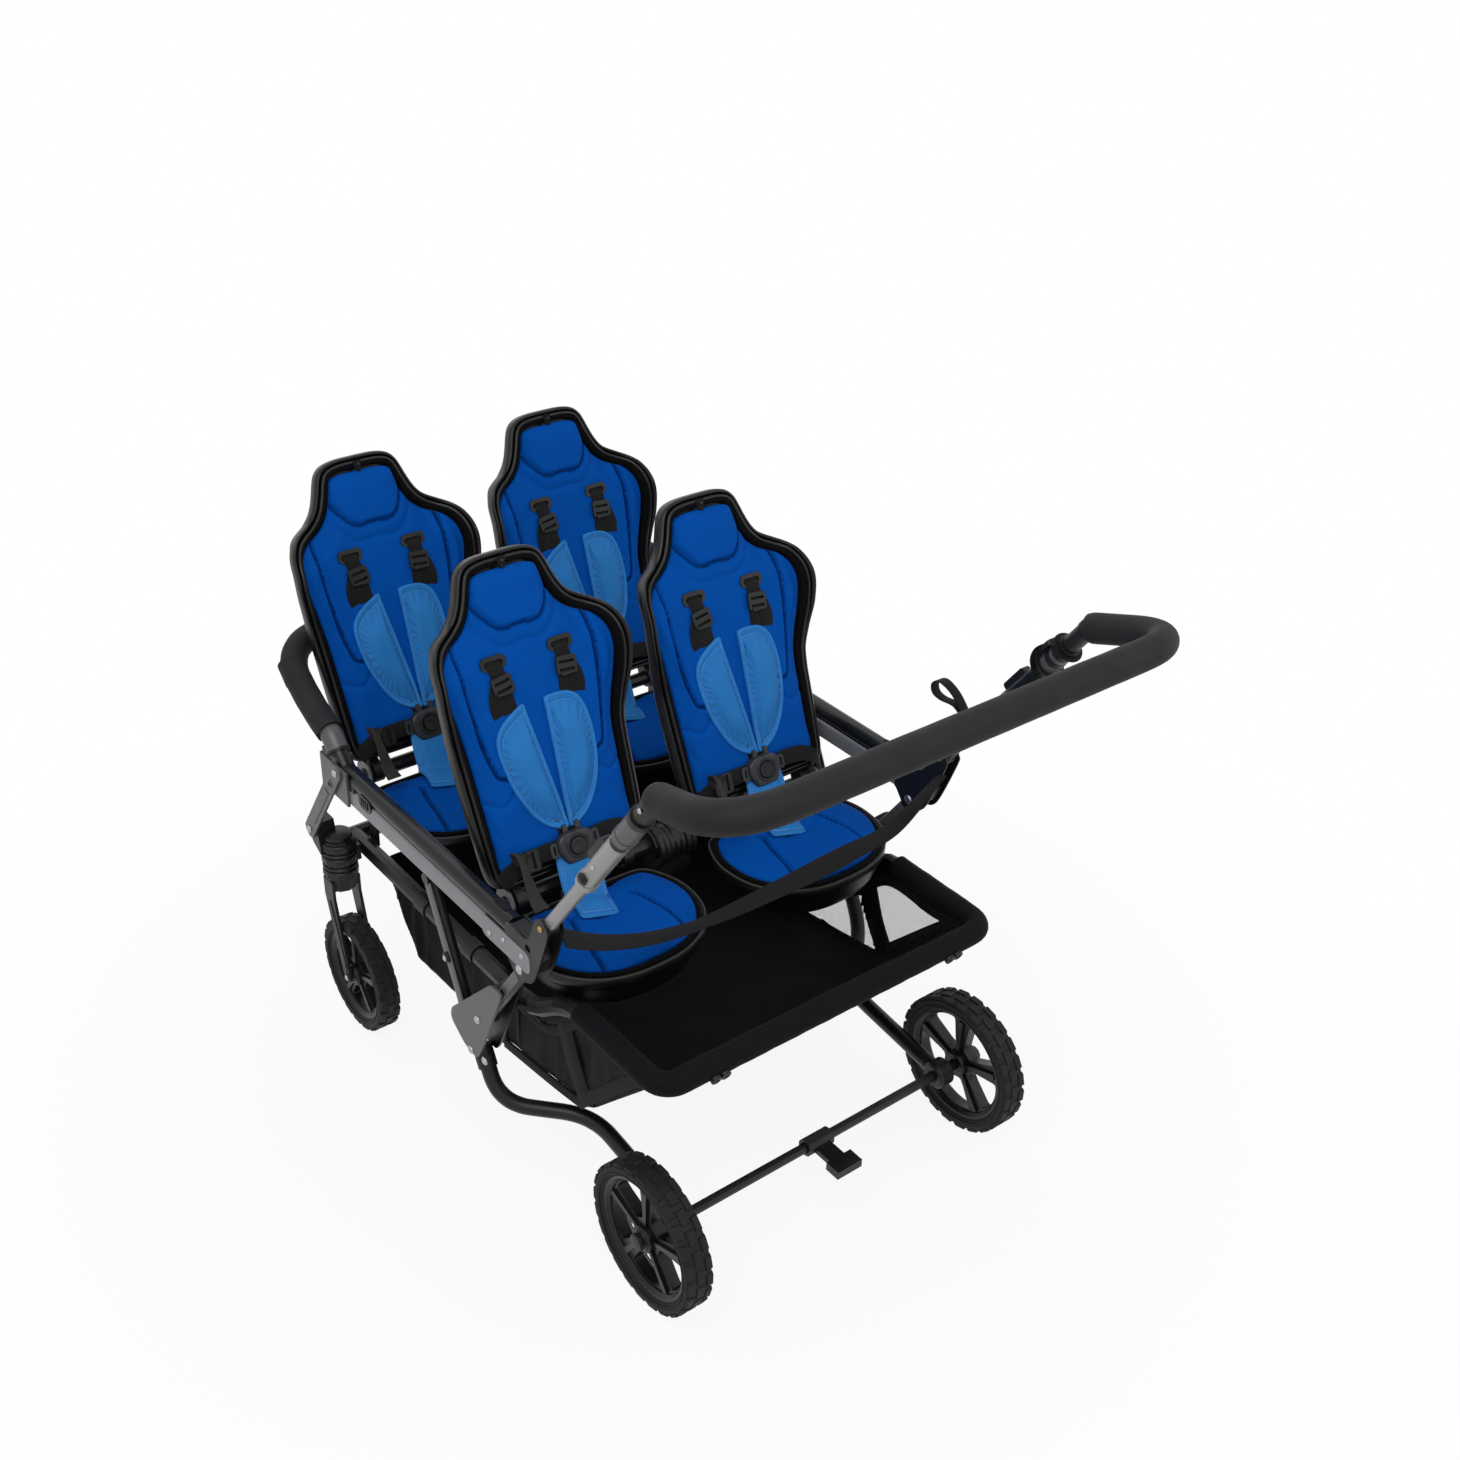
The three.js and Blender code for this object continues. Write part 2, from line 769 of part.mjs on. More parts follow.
function rearAxle() {
  const end = wheelX + rearWheelWidth / 2 + fit * 2;
  const rodBody = pinAcross(-end, end, axleY, rearWheelRadius, axleRadius);
  const caps = [-1, 1].map((side) =>
    pinAcross(side * end, side * (end + axleCapLength), axleY, rearWheelRadius, axleCapRadius),
  );
  return join([rodBody, ...caps]);
}

// Wheel round the origin with its axis along X: tyre, rim, spokes, tread blocks and hub in one.
function wheel(radius, width, boreRadius) {
  const half = width / 2;
  const rimRadius = radius - tyreThickness;
  const rimInner = rimRadius - rimThickness;
  const treadBase = radius - treadDepth;
  const tyreOutline = [
    [rimInner, -half * rimWidthShare],
    [treadBase - treadDepth * 2, -half],
    [treadBase, -half * treadWidthShare],
    [treadBase, half * treadWidthShare],
    [treadBase - treadDepth * 2, half],
    [rimInner, half * rimWidthShare],
    [rimInner, -half * rimWidthShare],
  ].map(([x, y]) => new THREE.Vector2(x, y));
  const ring = new THREE.LatheGeometry(tyreOutline, treadBlocks * 2);
  ring.rotateZ(Math.PI / 2);
  const pieces = [solid(ring), pinAcross(-half, half, 0, 0, wheelHubRadius)];
  for (let i = 0; i < spokeCount; i += 1) {
    const spoke = new THREE.BoxGeometry(half, spokeWidth, rimInner + overrun);
    spoke.translate(0, 0, (rimInner + overrun) / 2);
    spoke.rotateX((i / spokeCount) * Math.PI * 2);
    pieces.push(solid(spoke));
  }
  for (let i = 0; i < treadBlocks; i += 1) {
    const blockLength = ((Math.PI * 2 * radius) / treadBlocks) * treadBlockShare;
    const tread = new THREE.BoxGeometry(width * treadWidthShare, blockLength, treadDepth * 2);
    tread.translate(0, 0, radius - treadDepth);
    tread.rotateX((i / treadBlocks) * Math.PI * 2);
    pieces.push(solid(tread));
  }
  const bore = pinAcross(-width, width, 0, 0, boreRadius);
  return cut(join(pieces), [bore]);
}

function casterHead() {
  const middle = [casterX, casterY];
  const column = rod([...middle, casterHeadBottom], [...middle, casterHeadTop], casterHeadRadius, fine / 2);
  const ribs = Array.from({ length: casterRibCount }, (_, i) => {
    const step = (casterHeadTop - casterHeadBottom) / casterRibCount;
    const base = casterHeadBottom + step * (i + 0.5) - casterRibWidth / 2;
    return rod(
      [...middle, base],
      [...middle, base + casterRibWidth],
      casterHeadRadius + casterRibDepth,
      fine / 2,
    );
  });
  const lugX = plateOuterX + linkPlateThickness;
  const lug = plateAcross(casterX, lugX, [
    [casterY, casterHeadTop - casterHeadRadius],
    [frontLinkFoot.y, frontLinkFoot.z - frontLinkWidth],
    [frontLinkFoot.y + frontLinkWidth / 2, frontLinkFoot.z - frontLinkWidth / 2],
    [frontLinkFoot.y + frontLinkWidth / 2, frontLinkFoot.z + frontLinkWidth / 2],
    [frontLinkFoot.y - frontLinkWidth / 2, frontLinkFoot.z + frontLinkWidth / 2],
    [casterY, casterHeadTop - railRound],
  ]);
  const pin = pinAcross(
    lugX - overrun,
    lugX + linkPlateThickness + fit * 2,
    frontLinkFoot.y,
    frontLinkFoot.z,
    pivotPinRadius,
  );
  const arm = block(
    [lowerTubeOuter + fit, casterY - casterHeadRadius / 2, lowerTubeHeight - lowerTubeRadius],
    [casterX, casterY + casterHeadRadius / 2, lowerTubeHeight + lowerTubeRadius],
  );
  const bore = rod(
    [...middle, casterHeadBottom - overrun],
    [...middle, casterHeadBottom + forkStemDepth + fit],
    turningBore(forkStemRadius),
  );
  return cut(join([column, ...ribs, lug, pin, arm]), [bore]);
}

// Fork round its stem, with the stem's axis on the caster line.
function casterFork() {
  const top = casterHeadBottom - fit;
  const crownBottom = top - forkCrownThickness;
  const axle = { y: casterY - casterTrail, z: frontWheelRadius };
  const inner = frontWheelWidth / 2 + forkWheelGap;
  const outer = inner + forkBladeThickness;
  const foot = [casterX, casterY, crownBottom];
  const stem = rod(foot, [casterX, casterY, top + forkStemDepth], forkStemRadius);
  const crown = rod(foot, [casterX, casterY, top], forkCrownRadius, fine / 2);
  const half = forkBladeWidth / 2;
  const blades = [-1, 1].map((side) => {
    const x = casterX + side * ((inner + outer) / 2);
    return plateAcross(x - forkBladeThickness / 2, x + forkBladeThickness / 2, [
      [casterY - half, top],
      [casterY - half, crownBottom - half],
      [axle.y - half / 2, axle.z],
      [axle.y - half / 3, axle.z - half / 2],
      [axle.y + half / 3, axle.z - half / 2],
      [axle.y + half, axle.z],
      [casterY + half, crownBottom - half],
      [casterY + half, top],
    ]);
  });
  const pin = pinAcross(casterX - outer, casterX + outer, axle.y, axle.z, casterPinRadius);
  const shoulder = block(
    [casterX - outer, casterY - half, crownBottom],
    [casterX + outer, casterY + half, top],
  );
  return join([stem, crown, shoulder, ...blades, pin]);
}

function brakePedal() {
  const x0 = -pedalSpan / 2;
  const x1 = pedalSpan / 2;
  const ring = pinAcross(x0, x1, axleY, rearWheelRadius, pedalRingRadius);
  const arm = block(
    [x0 + pedalArmThickness, axleY - pedalArmLength, rearWheelRadius - pedalArmThickness / 2],
    [x1 - pedalArmThickness, axleY, rearWheelRadius + pedalArmThickness / 2],
  );
  const pad = block(
    [x0, axleY - pedalArmLength, rearWheelRadius - pedalArmThickness / 2],
    [x1, axleY - pedalArmLength + pedalPadLength, rearWheelRadius + pedalArmThickness],
  );
  const bore = pinAcross(x0 - overrun, x1 + overrun, axleY, rearWheelRadius, turningBore(axleRadius));
  return cut(join([ring, arm, pad]), [bore]);
}

function lowerFrame() {
  const x = lowerTubeX;
  const half = [
    [lowerFrontY, lowerTubeHeight],
    [lowerRiseFrontY, lowerTubeHeight],
    [lowerRiseRearY, rearBarHeight],
    [rearBarY, rearBarHeight],
  ];
  const route = [...half.map((point) => [-x, ...point]), ...half.map((point) => [x, ...point]).reverse()];
  const loop = bentTube(route, lowerCornerLength, lowerTubeRadius, tightBendSteps);
  const front = pinAcross(-lowerTubeOuter, lowerTubeOuter, lowerFrontY, lowerTubeHeight, lowerTubeRadius);
  return join([loop, front]);
}

// Seat carrier of one row: hinge tube, ringed hub, end plates and the arms under the pans.
function seatCarrier(shift) {
  const y = seatHingeY + shift;
  const plateX = lowerTubeX - lowerTubeRadius - fit;
  const tube = pinAcross(-plateX, plateX, y, seatHingeZ, hingeTubeRadius, coarse);
  const hub = pinAcross(-hubLength / 2, hubLength / 2, y, seatHingeZ, hubRadius, fine / 2);
  const rings = Array.from({ length: hubRingCount }, (_, i) => {
    const step = hubLength / hubRingCount;
    const half = (step * hubRingShare) / 2;
    const x = -hubLength / 2 + step * (i + 0.5);
    return pinAcross(x - half, x + half, y, seatHingeZ, hubRadius + hubRingDepth, fine / 2);
  });
  const plates = [-1, 1].map((side) => {
    const outerX = side * plateX;
    const innerX = side * (plateX - carrierPlateThickness);
    return block(
      [Math.min(outerX, innerX), y - hingeTubeRadius, lowerTubeHeight],
      [Math.max(outerX, innerX), y - hingeTubeRadius + carrierPlateLength, seatHingeZ + hingeTubeRadius],
    );
  });
  const armTop = panBaseHeight - fit;
  const arms = [-seatX, seatX].flatMap((middle) => [
    block(
      [middle - carrierArmWidth / 2, y - carrierArmReach, armTop - carrierArmThickness],
      [middle + carrierArmWidth / 2, y, armTop],
    ),
    block(
      [middle - carrierArmWidth / 2, y - carrierArmThickness, armTop - carrierArmThickness],
      [middle + carrierArmWidth / 2, y + carrierArmThickness, seatHingeZ],
    ),
  ]);
  return join([tube, hub, ...rings, ...plates, ...arms]);
}

// How far the back comes forward at a place on it, for the wings beside the shoulders.
function wingForward(x, along, halfWidth) {
  const share = table(backOutlineShares, 2, along / backHeight);
  const out = (Math.abs(x) - wingRootHalfWidth) / Math.max(halfWidth - wingRootHalfWidth, overrun);
  return share * wingReach * Math.min(Math.max(out, 0), 1) ** wingCurvePower;
}

function backHalfAt(along) {
  return backHalfWidth * table(backOutlineShares, 1, along / backHeight);
}

function backRows(edges) {
  const lowest = backOutlineShares[0][0] * backHeight;
  const inner = backOutlineShares.slice(1, -1).map((row) => row[0] * backHeight);
  const upper = edges.map((inset) => backHeight - inset).reverse();
  return [...edges.map((inset) => lowest + inset), ...inner, ...upper];
}

// The front of the shell's floor at a place on it, as its columns make it.
function shellForward(x, along, half) {
  const limit = half - backRim - backRimSlope;
  const stations = [0, ...backColumnShares, 1].map((share) => [share * limit]);
  const rows = stations.map(([at]) => [at, wingForward(at, along, half)]);
  return table(rows, 1, Math.abs(x));
}

// Moulded back shell, in the seat's own frame: hinge on the origin, Z along the back, -Y to the front.
function backShell() {
  const edges = [0, backRim, backRim + backRimSlope];
  const rows = backRows(edges);
  const rim = edges.map((inset) => ({ inset })).reverse();
  const columns = mirroredColumns([...backColumnShares.map((share) => ({ share })), ...rim], { share: 0 });
  const last = columns.length - 1;
  const body = gridBody(columns.length, rows.length, (column, row, face) => {
    const along = rows[row];
    const half = backHalfAt(along);
    const { share, inset, side } = columns[column];
    const x = side * (share === undefined ? half - inset : share * (half - backRim - backRimSlope));
    const rimColumn = column <= 1 || column >= last - 1;
    const rimRow = row <= 1 || row >= rows.length - 2;
    const depth = face === 1 ? backRear : rimColumn || rimRow ? backFront : backFloor;
    return [x, -(depth + wingForward(x, along, half)), along];
  });
  const ears = [-1, 1].flatMap((side) => {
    const x0 = side * (earSpacing / 2) - earWidth / 2;
    return [
      pinAcross(x0, x0 + earWidth, 0, 0, earRadius, fine / 2),
      block([x0, -backFloor, 0], [x0 + earWidth, earRadius, earHeight]),
    ];
  });
  const bore = pinAcross(-backHalfWidth, backHalfWidth, 0, 0, turningBore(hingeTubeRadius));
  return cut(join([body, ...ears]), [bore]);
}

// Upholstered pad of the back, with a crown, drawn-in sides and two sewn channels.
function backPad() {
  const groove = [channelX - channelWidth, channelX, channelX + channelWidth];
  const reaches = groove.map((x) => ({ reach: x / backHalfWidth }));
  const lowest = backOutlineShares[0][0] * backHeight + padInset;
  const highest = backHeight - padInset;
  const middle = backOutlineShares.slice(1, -1).map((row) => row[0] * backHeight);
  const rows = [lowest, lowest + padSideDraw, ...middle, highest - padSideDraw, highest];
  const edgeColumns = [
    { share: backColumnShares.at(-1) },
    { inset: padInset + padSideDraw },
    { inset: padInset },
  ];
  const columns = mirroredColumns([...reaches, ...edgeColumns], { reach: 0 });
  const last = columns.length - 1;
  return gridBody(columns.length, rows.length, (column, row, face) => {
    const along = rows[row];
    const half = backHalfAt(along);
    const { reach, share, inset, side } = columns[column];
    const limit = half - padInset - padSideDraw;
    const floorHalf = half - backRim - backRimSlope;
    const edgeWide = share === undefined ? half - inset : share * floorHalf;
    const wide = reach === undefined ? edgeWide : reach * half;
    const x = side * wide;
    const forward = wingForward(x, along, half);
    const seatForward = shellForward(x, along, half);
    const rear = backFloor + seatForward + (seatForward > overrun ? padWingClear : softFit);
    const onEdge = column === 0 || column === last || row === 0 || row === rows.length - 1;
    if (face === 1) return [x, -(rear + (onEdge ? padSideDraw : 0)), along];
    const acrossShare = 1 - (wide / limit) ** padCrownPower;
    const upShare = smooth((along - lowest) / channelX) * smooth((highest - along) / channelX);
    const inChannel = along / backHeight > channelLowShare && along / backHeight < channelHighShare;
    const sewn = inChannel && reach === channelX / backHalfWidth ? channelDepth : 0;
    const crown = onEdge ? 0 : padSideDraw + padCrown * Math.max(acrossShare, 0) * upShare;
    return [x, -(backFront + forward - padSideDraw + crown - sewn), along];
  });
}

// Plan of the pan: half width at a distance in front of its rear edge.
function panHalfAt(distance) {
  return panHalfWidth * table(panOutlineShares, 1, distance / panDepth);
}

function panShell() {
  const edges = [0, panRim, panRim + panRimSlope];
  const inner = panOutlineShares.slice(1, -1).map((row) => row[0] * panDepth);
  const rows = [...edges, ...inner, ...edges.map((inset) => panDepth - inset).reverse()].reverse();
  const rim = edges.map((inset) => ({ inset })).reverse();
  const columns = mirroredColumns([...panColumnShares.map((share) => ({ share })), ...rim], { share: 0 });
  const last = columns.length - 1;
  return gridBody(columns.length, rows.length, (column, row, face) => {
    const distance = rows[row];
    const half = panHalfAt(distance);
    const { share, inset, side } = columns[column];
    const x = side * (share === undefined ? half - inset : share * (half - panRim - panRimSlope));
    const rimColumn = column <= 1 || column >= last - 1;
    const rimRow = row <= 1 || row >= rows.length - 2;
    const onEdge = column === 0 || column === last || row === 0 || row === rows.length - 1;
    const y = panRear - distance;
    if (face === 0) return [x, y, panRimTop - (rimColumn || rimRow ? 0 : panFloorDrop)];
    if (onEdge) return [x, y, panRimTop - panRimHeight];
    const middleY = panRear - panDepth / 2;
    return [x * panBaseShare, middleY + (y - middleY) * panBaseShare, panBaseHeight];
  });
}

function panPad() {
  const inner = panOutlineShares.slice(1, -1).map((row) => row[0] * panDepth);
  const ends = [panPadEdge, panPadEdge + padSideDraw];
  const frontEnds = ends.map((inset) => panDepth - inset).reverse();
  const rows = [...ends, ...inner.slice(1, -1), ...frontEnds].reverse();
  const reach = panChannelWidth / panHalfWidth;
  const seamShares = [panSeamShare - reach, panSeamShare, panSeamShare + reach];
  const oneSide = [panCrownShare, ...seamShares, panShoulderShare].map((share) => ({ share }));
  const columns = mirroredColumns([...oneSide, { inset: panPadEdge }], { share: 0 });
  const last = columns.length - 1;
  return gridBody(columns.length, rows.length, (column, row, face) => {
    const distance = rows[row];
    const half = panHalfAt(distance);
    const { share, inset, side } = columns[column];
    const limit = half - panPadEdge;
    const wide = share === undefined ? half - inset : share * limit;
    const onEdge = column === 0 || column === last || row === 0 || row === rows.length - 1;
    const base = panRimTop - panFloorDrop + softFit;
    const y = panRear - distance;
    if (face === 1) return [side * wide, y, base + (onEdge ? padSideDraw : 0)];
    const acrossShare = 1 - (wide / limit) ** padCrownPower;
    const ease = panDepth * panCrownEaseShare;
    const alongShare = smooth(distance / ease) * smooth((panDepth - distance) / ease);
    const sewn = share === panSeamShare && !onEdge ? panChannelDepth : 0;
    const crown = onEdge ? 0 : padSideDraw + panPadCrown * Math.max(acrossShare, 0) * alongShare;
    return [side * wide, y, base + padSideDraw + crown - sewn];
  });
}

// The face of the back pad along the middle of the seat, where the harness lies on it.
function padFace(along) {
  const lowest = backOutlineShares[0][0] * backHeight + padInset;
  const rise = smooth((along - lowest) / channelX);
  return backFront + padCrown * rise;
}

// Chest pads, webbing, lap belt and crotch pad as one soft body, in the seat's own frame.
function harness() {
  const layer = (along) => -(padFace(along) + harnessLift);
  const pieces = [];
  const face = layer(slotHeightAlong);
  for (const side of [-1, 1]) {
    const slotX = (side * slotSpacing) / 2;
    const footX = slotX * chestPadFootShare;
    const strap = [
      [slotX - webWidth / 2, slotHeightAlong],
      [slotX + webWidth / 2, slotHeightAlong],
      [slotX + webWidth / 2, chestPadTopAlong - webWidth],
      [slotX - webWidth / 2, chestPadTopAlong - webWidth],
    ];
    pieces.push(flatPatch(strap, face, webThickness));
    const outer = slotX + (side * chestPadWidth) / 2;
    const inner = slotX - (side * chestPadWidth) / 2;
    const middle = (side * webThickness) / 2;
    const chest = [
      [inner, chestPadTopAlong - webWidth / 2],
      [slotX, chestPadTopAlong],
      [outer, chestPadTopAlong - webWidth / 2],
      [outer, (chestPadTopAlong + chestPadFootAlong) / 2],
      [footX, chestPadFootAlong],
      [middle, chestPadFootAlong - chestPadSlope],
      [middle, chestPadFootAlong + webWidth],
    ];
    pieces.push(flatPatch(side > 0 ? chest : chest.reverse(), face, chestPadThickness));
  }
  const spine = [
    [-webWidth / 2, buckleAlong - buckleHeight / 2 - crotchPadThickness],
    [webWidth / 2, buckleAlong - buckleHeight / 2 - crotchPadThickness],
    [webWidth / 2, chestPadFootAlong + webWidth],
    [-webWidth / 2, chestPadFootAlong + webWidth],
  ];
  pieces.push(flatPatch(spine, face, webThickness));
  const lap = [
    [-lapBeltReach, buckleAlong - webWidth / 2],
    [lapBeltReach, buckleAlong - webWidth / 2],
    [lapBeltReach, buckleAlong + webWidth / 2],
    [-lapBeltReach, buckleAlong + webWidth / 2],
  ];
  pieces.push(flatPatch(lap, face, webThickness));
  pieces.push(crotchPad(face));
  return join(pieces);
}

// A flat patch on the face of the back, from an outline of [x, along] points, running forward.
function flatPatch(outline, face, thickness) {
  const corners = outline.map(([x, z]) => new THREE.Vector2(x, z));
  if (THREE.ShapeUtils.isClockWise(corners)) corners.reverse();
  const shape = new THREE.Shape(corners);
  const geometry = new THREE.ExtrudeGeometry(shape, { depth: thickness, bevelEnabled: false });
  geometry.rotateX(Math.PI / 2);
  geometry.translate(0, face, 0);
  return solid(geometry);
}

// The crotch pad leaves the webbing below the buckle and comes forward to its slot in the pan.
function crotchPad(face) {
  const lean = THREE.MathUtils.degToRad(backLeanDegrees);
  const start = { y: face - webThickness / 2, z: buckleAlong - buckleHeight / 2 - crotchPadThickness };
  const footWorld = {
    y: panRear - crotchPadFootY - seatHingeY,
    z: panRimTop + panPadCrown + crotchPadFootLift - seatHingeZ,
  };
  const foot = {
    y: footWorld.y * Math.cos(lean) - footWorld.z * Math.sin(lean),
    z: footWorld.y * Math.sin(lean) + footWorld.z * Math.cos(lean),
  };
  const along = new THREE.Vector2(foot.y - start.y, foot.z - start.z).normalize();
  const normal = { y: along.y, z: -along.x };
  const half = crotchPadThickness / 2;
  const outline = [
    [start.y - normal.y * half, start.z - normal.z * half],
    [foot.y - normal.y * half, foot.z - normal.z * half],
    [foot.y + normal.y * half, foot.z + normal.z * half],
    [start.y + normal.y * half, start.z + normal.z * half],
  ];
  return plateAcross(-crotchPadWidth / 2, crotchPadWidth / 2, outline);
}

function buckle() {
  const face = -(padFace(slotHeightAlong) + harnessLift + webThickness + fit);
  const half = buckleWidth / 2;
  const low = buckleAlong - buckleHeight / 2;
  const high = buckleAlong + buckleHeight / 2;
  const chamfer = buckleChamfer;
  const outline = [
    [-half + chamfer, low],
    [half - chamfer, low],
    [half, low + chamfer],
    [half, high - chamfer],
    [half - chamfer, high],
    [-half + chamfer, high],
    [-half, high - chamfer],
    [-half, low + chamfer],
  ];
  const body = flatPatch(outline, face, buckleThickness);
  const recess = flatPatch(
    ringOutline(buttonRadius + fit),
    face - buckleThickness + buttonTravel + buttonThickness / 2 + fit,
    buckleThickness,
  );
  return cut(body, [recess]);
}

function ringOutline(radius) {
  return Array.from({ length: coarse }, (_, i) => {
    const angle = (i / coarse) * Math.PI * 2;
    return [radius * Math.cos(angle), buckleAlong + radius * Math.sin(angle)];
  });
}

function buckleButton() {
  const face = -(padFace(slotHeightAlong) + harnessLift + webThickness + fit);
  const bottom = face - buckleThickness + buttonThickness / 2;
  return flatPatch(ringOutline(buttonRadius), bottom, buttonThickness);
}

// Handle arm: a thin tube with a ring at its pivot.
function handleArm() {
  const [topY, topZ] = armAlong(armLength);
  const tube = rod([railX, armPivotY, armPivotZ], [railX, topY, topZ], armRadius);
  const half = railWidth / 2 - cheekThickness - fit;
  const ring = pinAcross(railX - half, railX + half, armPivotY, armPivotZ, armPivotRadius);
  const bore = pinAcross(railInner, railOuter, armPivotY, armPivotZ, turningBore(pivotPinRadius));
  return cut(join([tube, ring]), [bore]);
}

// Grip: two sleeves over the arms, joined by the foam bar.
function handleGrip() {
  const [startY, startZ] = armAlong(sleeveStart);
  const [kneeY, kneeZ] = armAlong(gripKneeAlong);
  const cornerX = railX + gripFlare;
  const points = [
    [-railX, kneeY, kneeZ],
    [-cornerX, gripBarY, gripBarZ],
    [cornerX, gripBarY, gripBarZ],
    [railX, kneeY, kneeZ],
  ];
  const foam = bentTube(points, gripCornerLength, gripFoamRadius);
  const sleeves = [-railX, railX].map((x) => rod([x, startY, startZ], [x, kneeY, kneeZ], sleeveRadius));
  const [deepY, deepZ] = armAlong(armLength + armRadius);
  const [openY, openZ] = armAlong(sleeveStart - armRadius);
  const bores = [-railX, railX].map((x) => rod([x, openY, openZ], [x, deepY, deepZ], armRadius + fit));
  return cut(join([foam, ...sleeves]), bores);
}

// Open fabric tub: floor, side walls, front wall and a rear wall that slopes up to the rear bar.
function fabricTub() {
  const rearTop = rearBarHeight - lowerTubeRadius - tubTopClear;
  const frontTop = lowerTubeHeight - lowerTubeRadius - tubTopClear;
  const tubFrontY = lowerFrontY - tubFrontReach;
  const tubFrontFootY = tubFrontY - tubFrontSlope;
  const tubRearTopY = rearBarY + tubRearReach;
  const tubRearFootY = tubRearTopY + tubRearSlope;
  const tubFrontFloor = rearWheelRadius + tubFrontRise;
  const tubRearFloor = rearWheelRadius + tubRearRise;
  const midY = tubFrontFootY + (tubRearFootY - tubFrontFootY) * tubMidShare;
  const midZ = tubFrontFloor + (tubRearFloor - tubFrontFloor) * tubMidShare - tubSag;
  const outline = [
    [tubRearTopY, rearTop],
    [tubRearFootY, tubRearFloor],
    [midY, midZ],
    [tubFrontFootY, tubFrontFloor],
    [tubFrontY, frontTop],
    [lowerRiseFrontY - tubRiseClear, frontTop],
    [lowerRiseRearY - tubRiseClear, rearTop],
  ];
  const outer = plateAcross(-tubHalfWidth, tubHalfWidth, outline);
  const innerOutline = [
    [tubRearTopY + tubWall * 2, rearTop + overrun],
    [tubRearFootY + tubWall, tubRearFloor + tubWall],
    [midY, midZ + tubWall],
    [tubFrontFootY - tubWall, tubFrontFloor + tubWall],
    [tubFrontY - tubWall, frontTop + overrun],
    [lowerRiseFrontY - tubRiseClear, frontTop + overrun],
    [lowerRiseRearY - tubRiseClear + overrun, rearTop + overrun],
  ];
  const inner = plateAcross(-tubHalfWidth + tubWall, tubHalfWidth - tubWall, innerOutline);
  return cut(outer, [inner]);
}

// Flat webbing that hangs between the hinge blocks.
function strap() {
  const lean = THREE.MathUtils.degToRad(strapLeanDegrees);
  const across = { y: Math.cos(lean), z: Math.sin(lean) };
  const strapY = armPivotY - strapReach;
  const strapEndZ = railTop + strapRise;
  return gridBody(2, strapSteps + 1, (column, row, face) => {
    const share = (row / strapSteps) * 2 - 1;
    const z = strapEndZ - strapSag * (1 - Math.abs(share) ** strapSagPower);
    const out = column === 0 ? strapWidth / 2 : -strapWidth / 2;
    const depth = face === 0 ? 0 : strapThickness;
    const y = strapY + out * across.y + depth * across.z;
    return [share * (railInner - fit), y, z + out * across.z - depth * across.y];
  });
}

addPair('upper_rail', upperRail(), frameBlack);
addPair('front_bracket', frontBracket(), frameGrey);
addPiece(group, 'front_bar', frontBar(), foamBlack);
addPair('rear_link', rearLink(), frameGrey);
addPair('front_link', frontLink(), frameGrey);
addPair('brace', brace(), frameGrey);
addPair('rear_leg', rearLeg(), frameGrey);
addPiece(group, 'rear_axle', rearAxle(), frameBlack);
addPiece(group, 'brake_pedal', brakePedal(), plasticBlack);
addPiece(group, 'lower_frame', lowerFrame(), frameBlack);
addPair('caster_head', casterHead(), plasticBlack);
addPair('caster_fork', casterFork(), plasticBlack);
addPair('handle_arm', handleArm(), frameGrey);
addPiece(group, 'handle_grip', handleGrip(), foamBlack);
addPiece(group, 'fabric_tub', fabricTub(), webBlack);
addPiece(group, 'strap', strap(), webBlack);

for (const [side, x] of [['left', -1], ['right', 1]]) {
  const rear = addPiece(
    group,
    `rear_wheel_${side}`,
    wheel(rearWheelRadius, rearWheelWidth, turningBore(axleRadius)),
    tyreBlack,
  );
  rear.position.set(x * wheelX, axleY, rearWheelRadius);
  const front = addPiece(
    group,
    `front_wheel_${side}`,
    wheel(frontWheelRadius, frontWheelWidth, turningBore(casterPinRadius)),
    tyreBlack,
  );
  front.position.set(x * casterX, casterY - casterTrail, frontWheelRadius);
}

const pieces = {
  backShell: backShell(),
  backPad: backPad(),
  panShell: panShell(),
  panPad: panPad(),
  harness: harness(),
  buckle: buckle(),
  button: buckleButton(),
};

for (const [rowName, shift] of [['rear', 0], ['front', rowPitch]]) {
  addPiece(group, `seat_carrier_${rowName}`, seatCarrier(shift), frameBlack);
  for (const [side, x] of [['left', -seatX], ['right', seatX]]) {
    const place = `${rowName}_${side}`;
    const pan = new THREE.Group();
    pan.position.set(x, shift, 0);
    group.add(pan);
    addPiece(pan, `pan_shell_${place}`, pieces.panShell, shellBlack);
    addPiece(pan, `pan_pad_${place}`, pieces.panPad, padBlue);
    const back = new THREE.Group();
    back.position.set(x, seatHingeY + shift, seatHingeZ);
    back.rotation.x = -THREE.MathUtils.degToRad(backLeanDegrees);
    group.add(back);
    addPiece(back, `back_shell_${place}`, pieces.backShell, shellBlack);
    addPiece(back, `back_pad_${place}`, pieces.backPad, padBlue);
    addPiece(back, `harness_${place}`, pieces.harness, strapBlue);
    addPiece(back, `buckle_${place}`, pieces.buckle, plasticBlack);
    addPiece(back, `buckle_button_${place}`, pieces.button, buttonGrey);
  }
}

// Centre the stroller over the origin, on the ground.
group.updateMatrixWorld(true);
const reach = new THREE.Box3().setFromObject(group, true);
group.position.set(-(reach.min.x + reach.max.x) / 2, -(reach.min.y + reach.max.y) / 2, -reach.min.z);

export default group;
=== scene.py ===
"""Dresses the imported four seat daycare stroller: moulded seats, padding, harness, frame, wheels and fabric tub."""

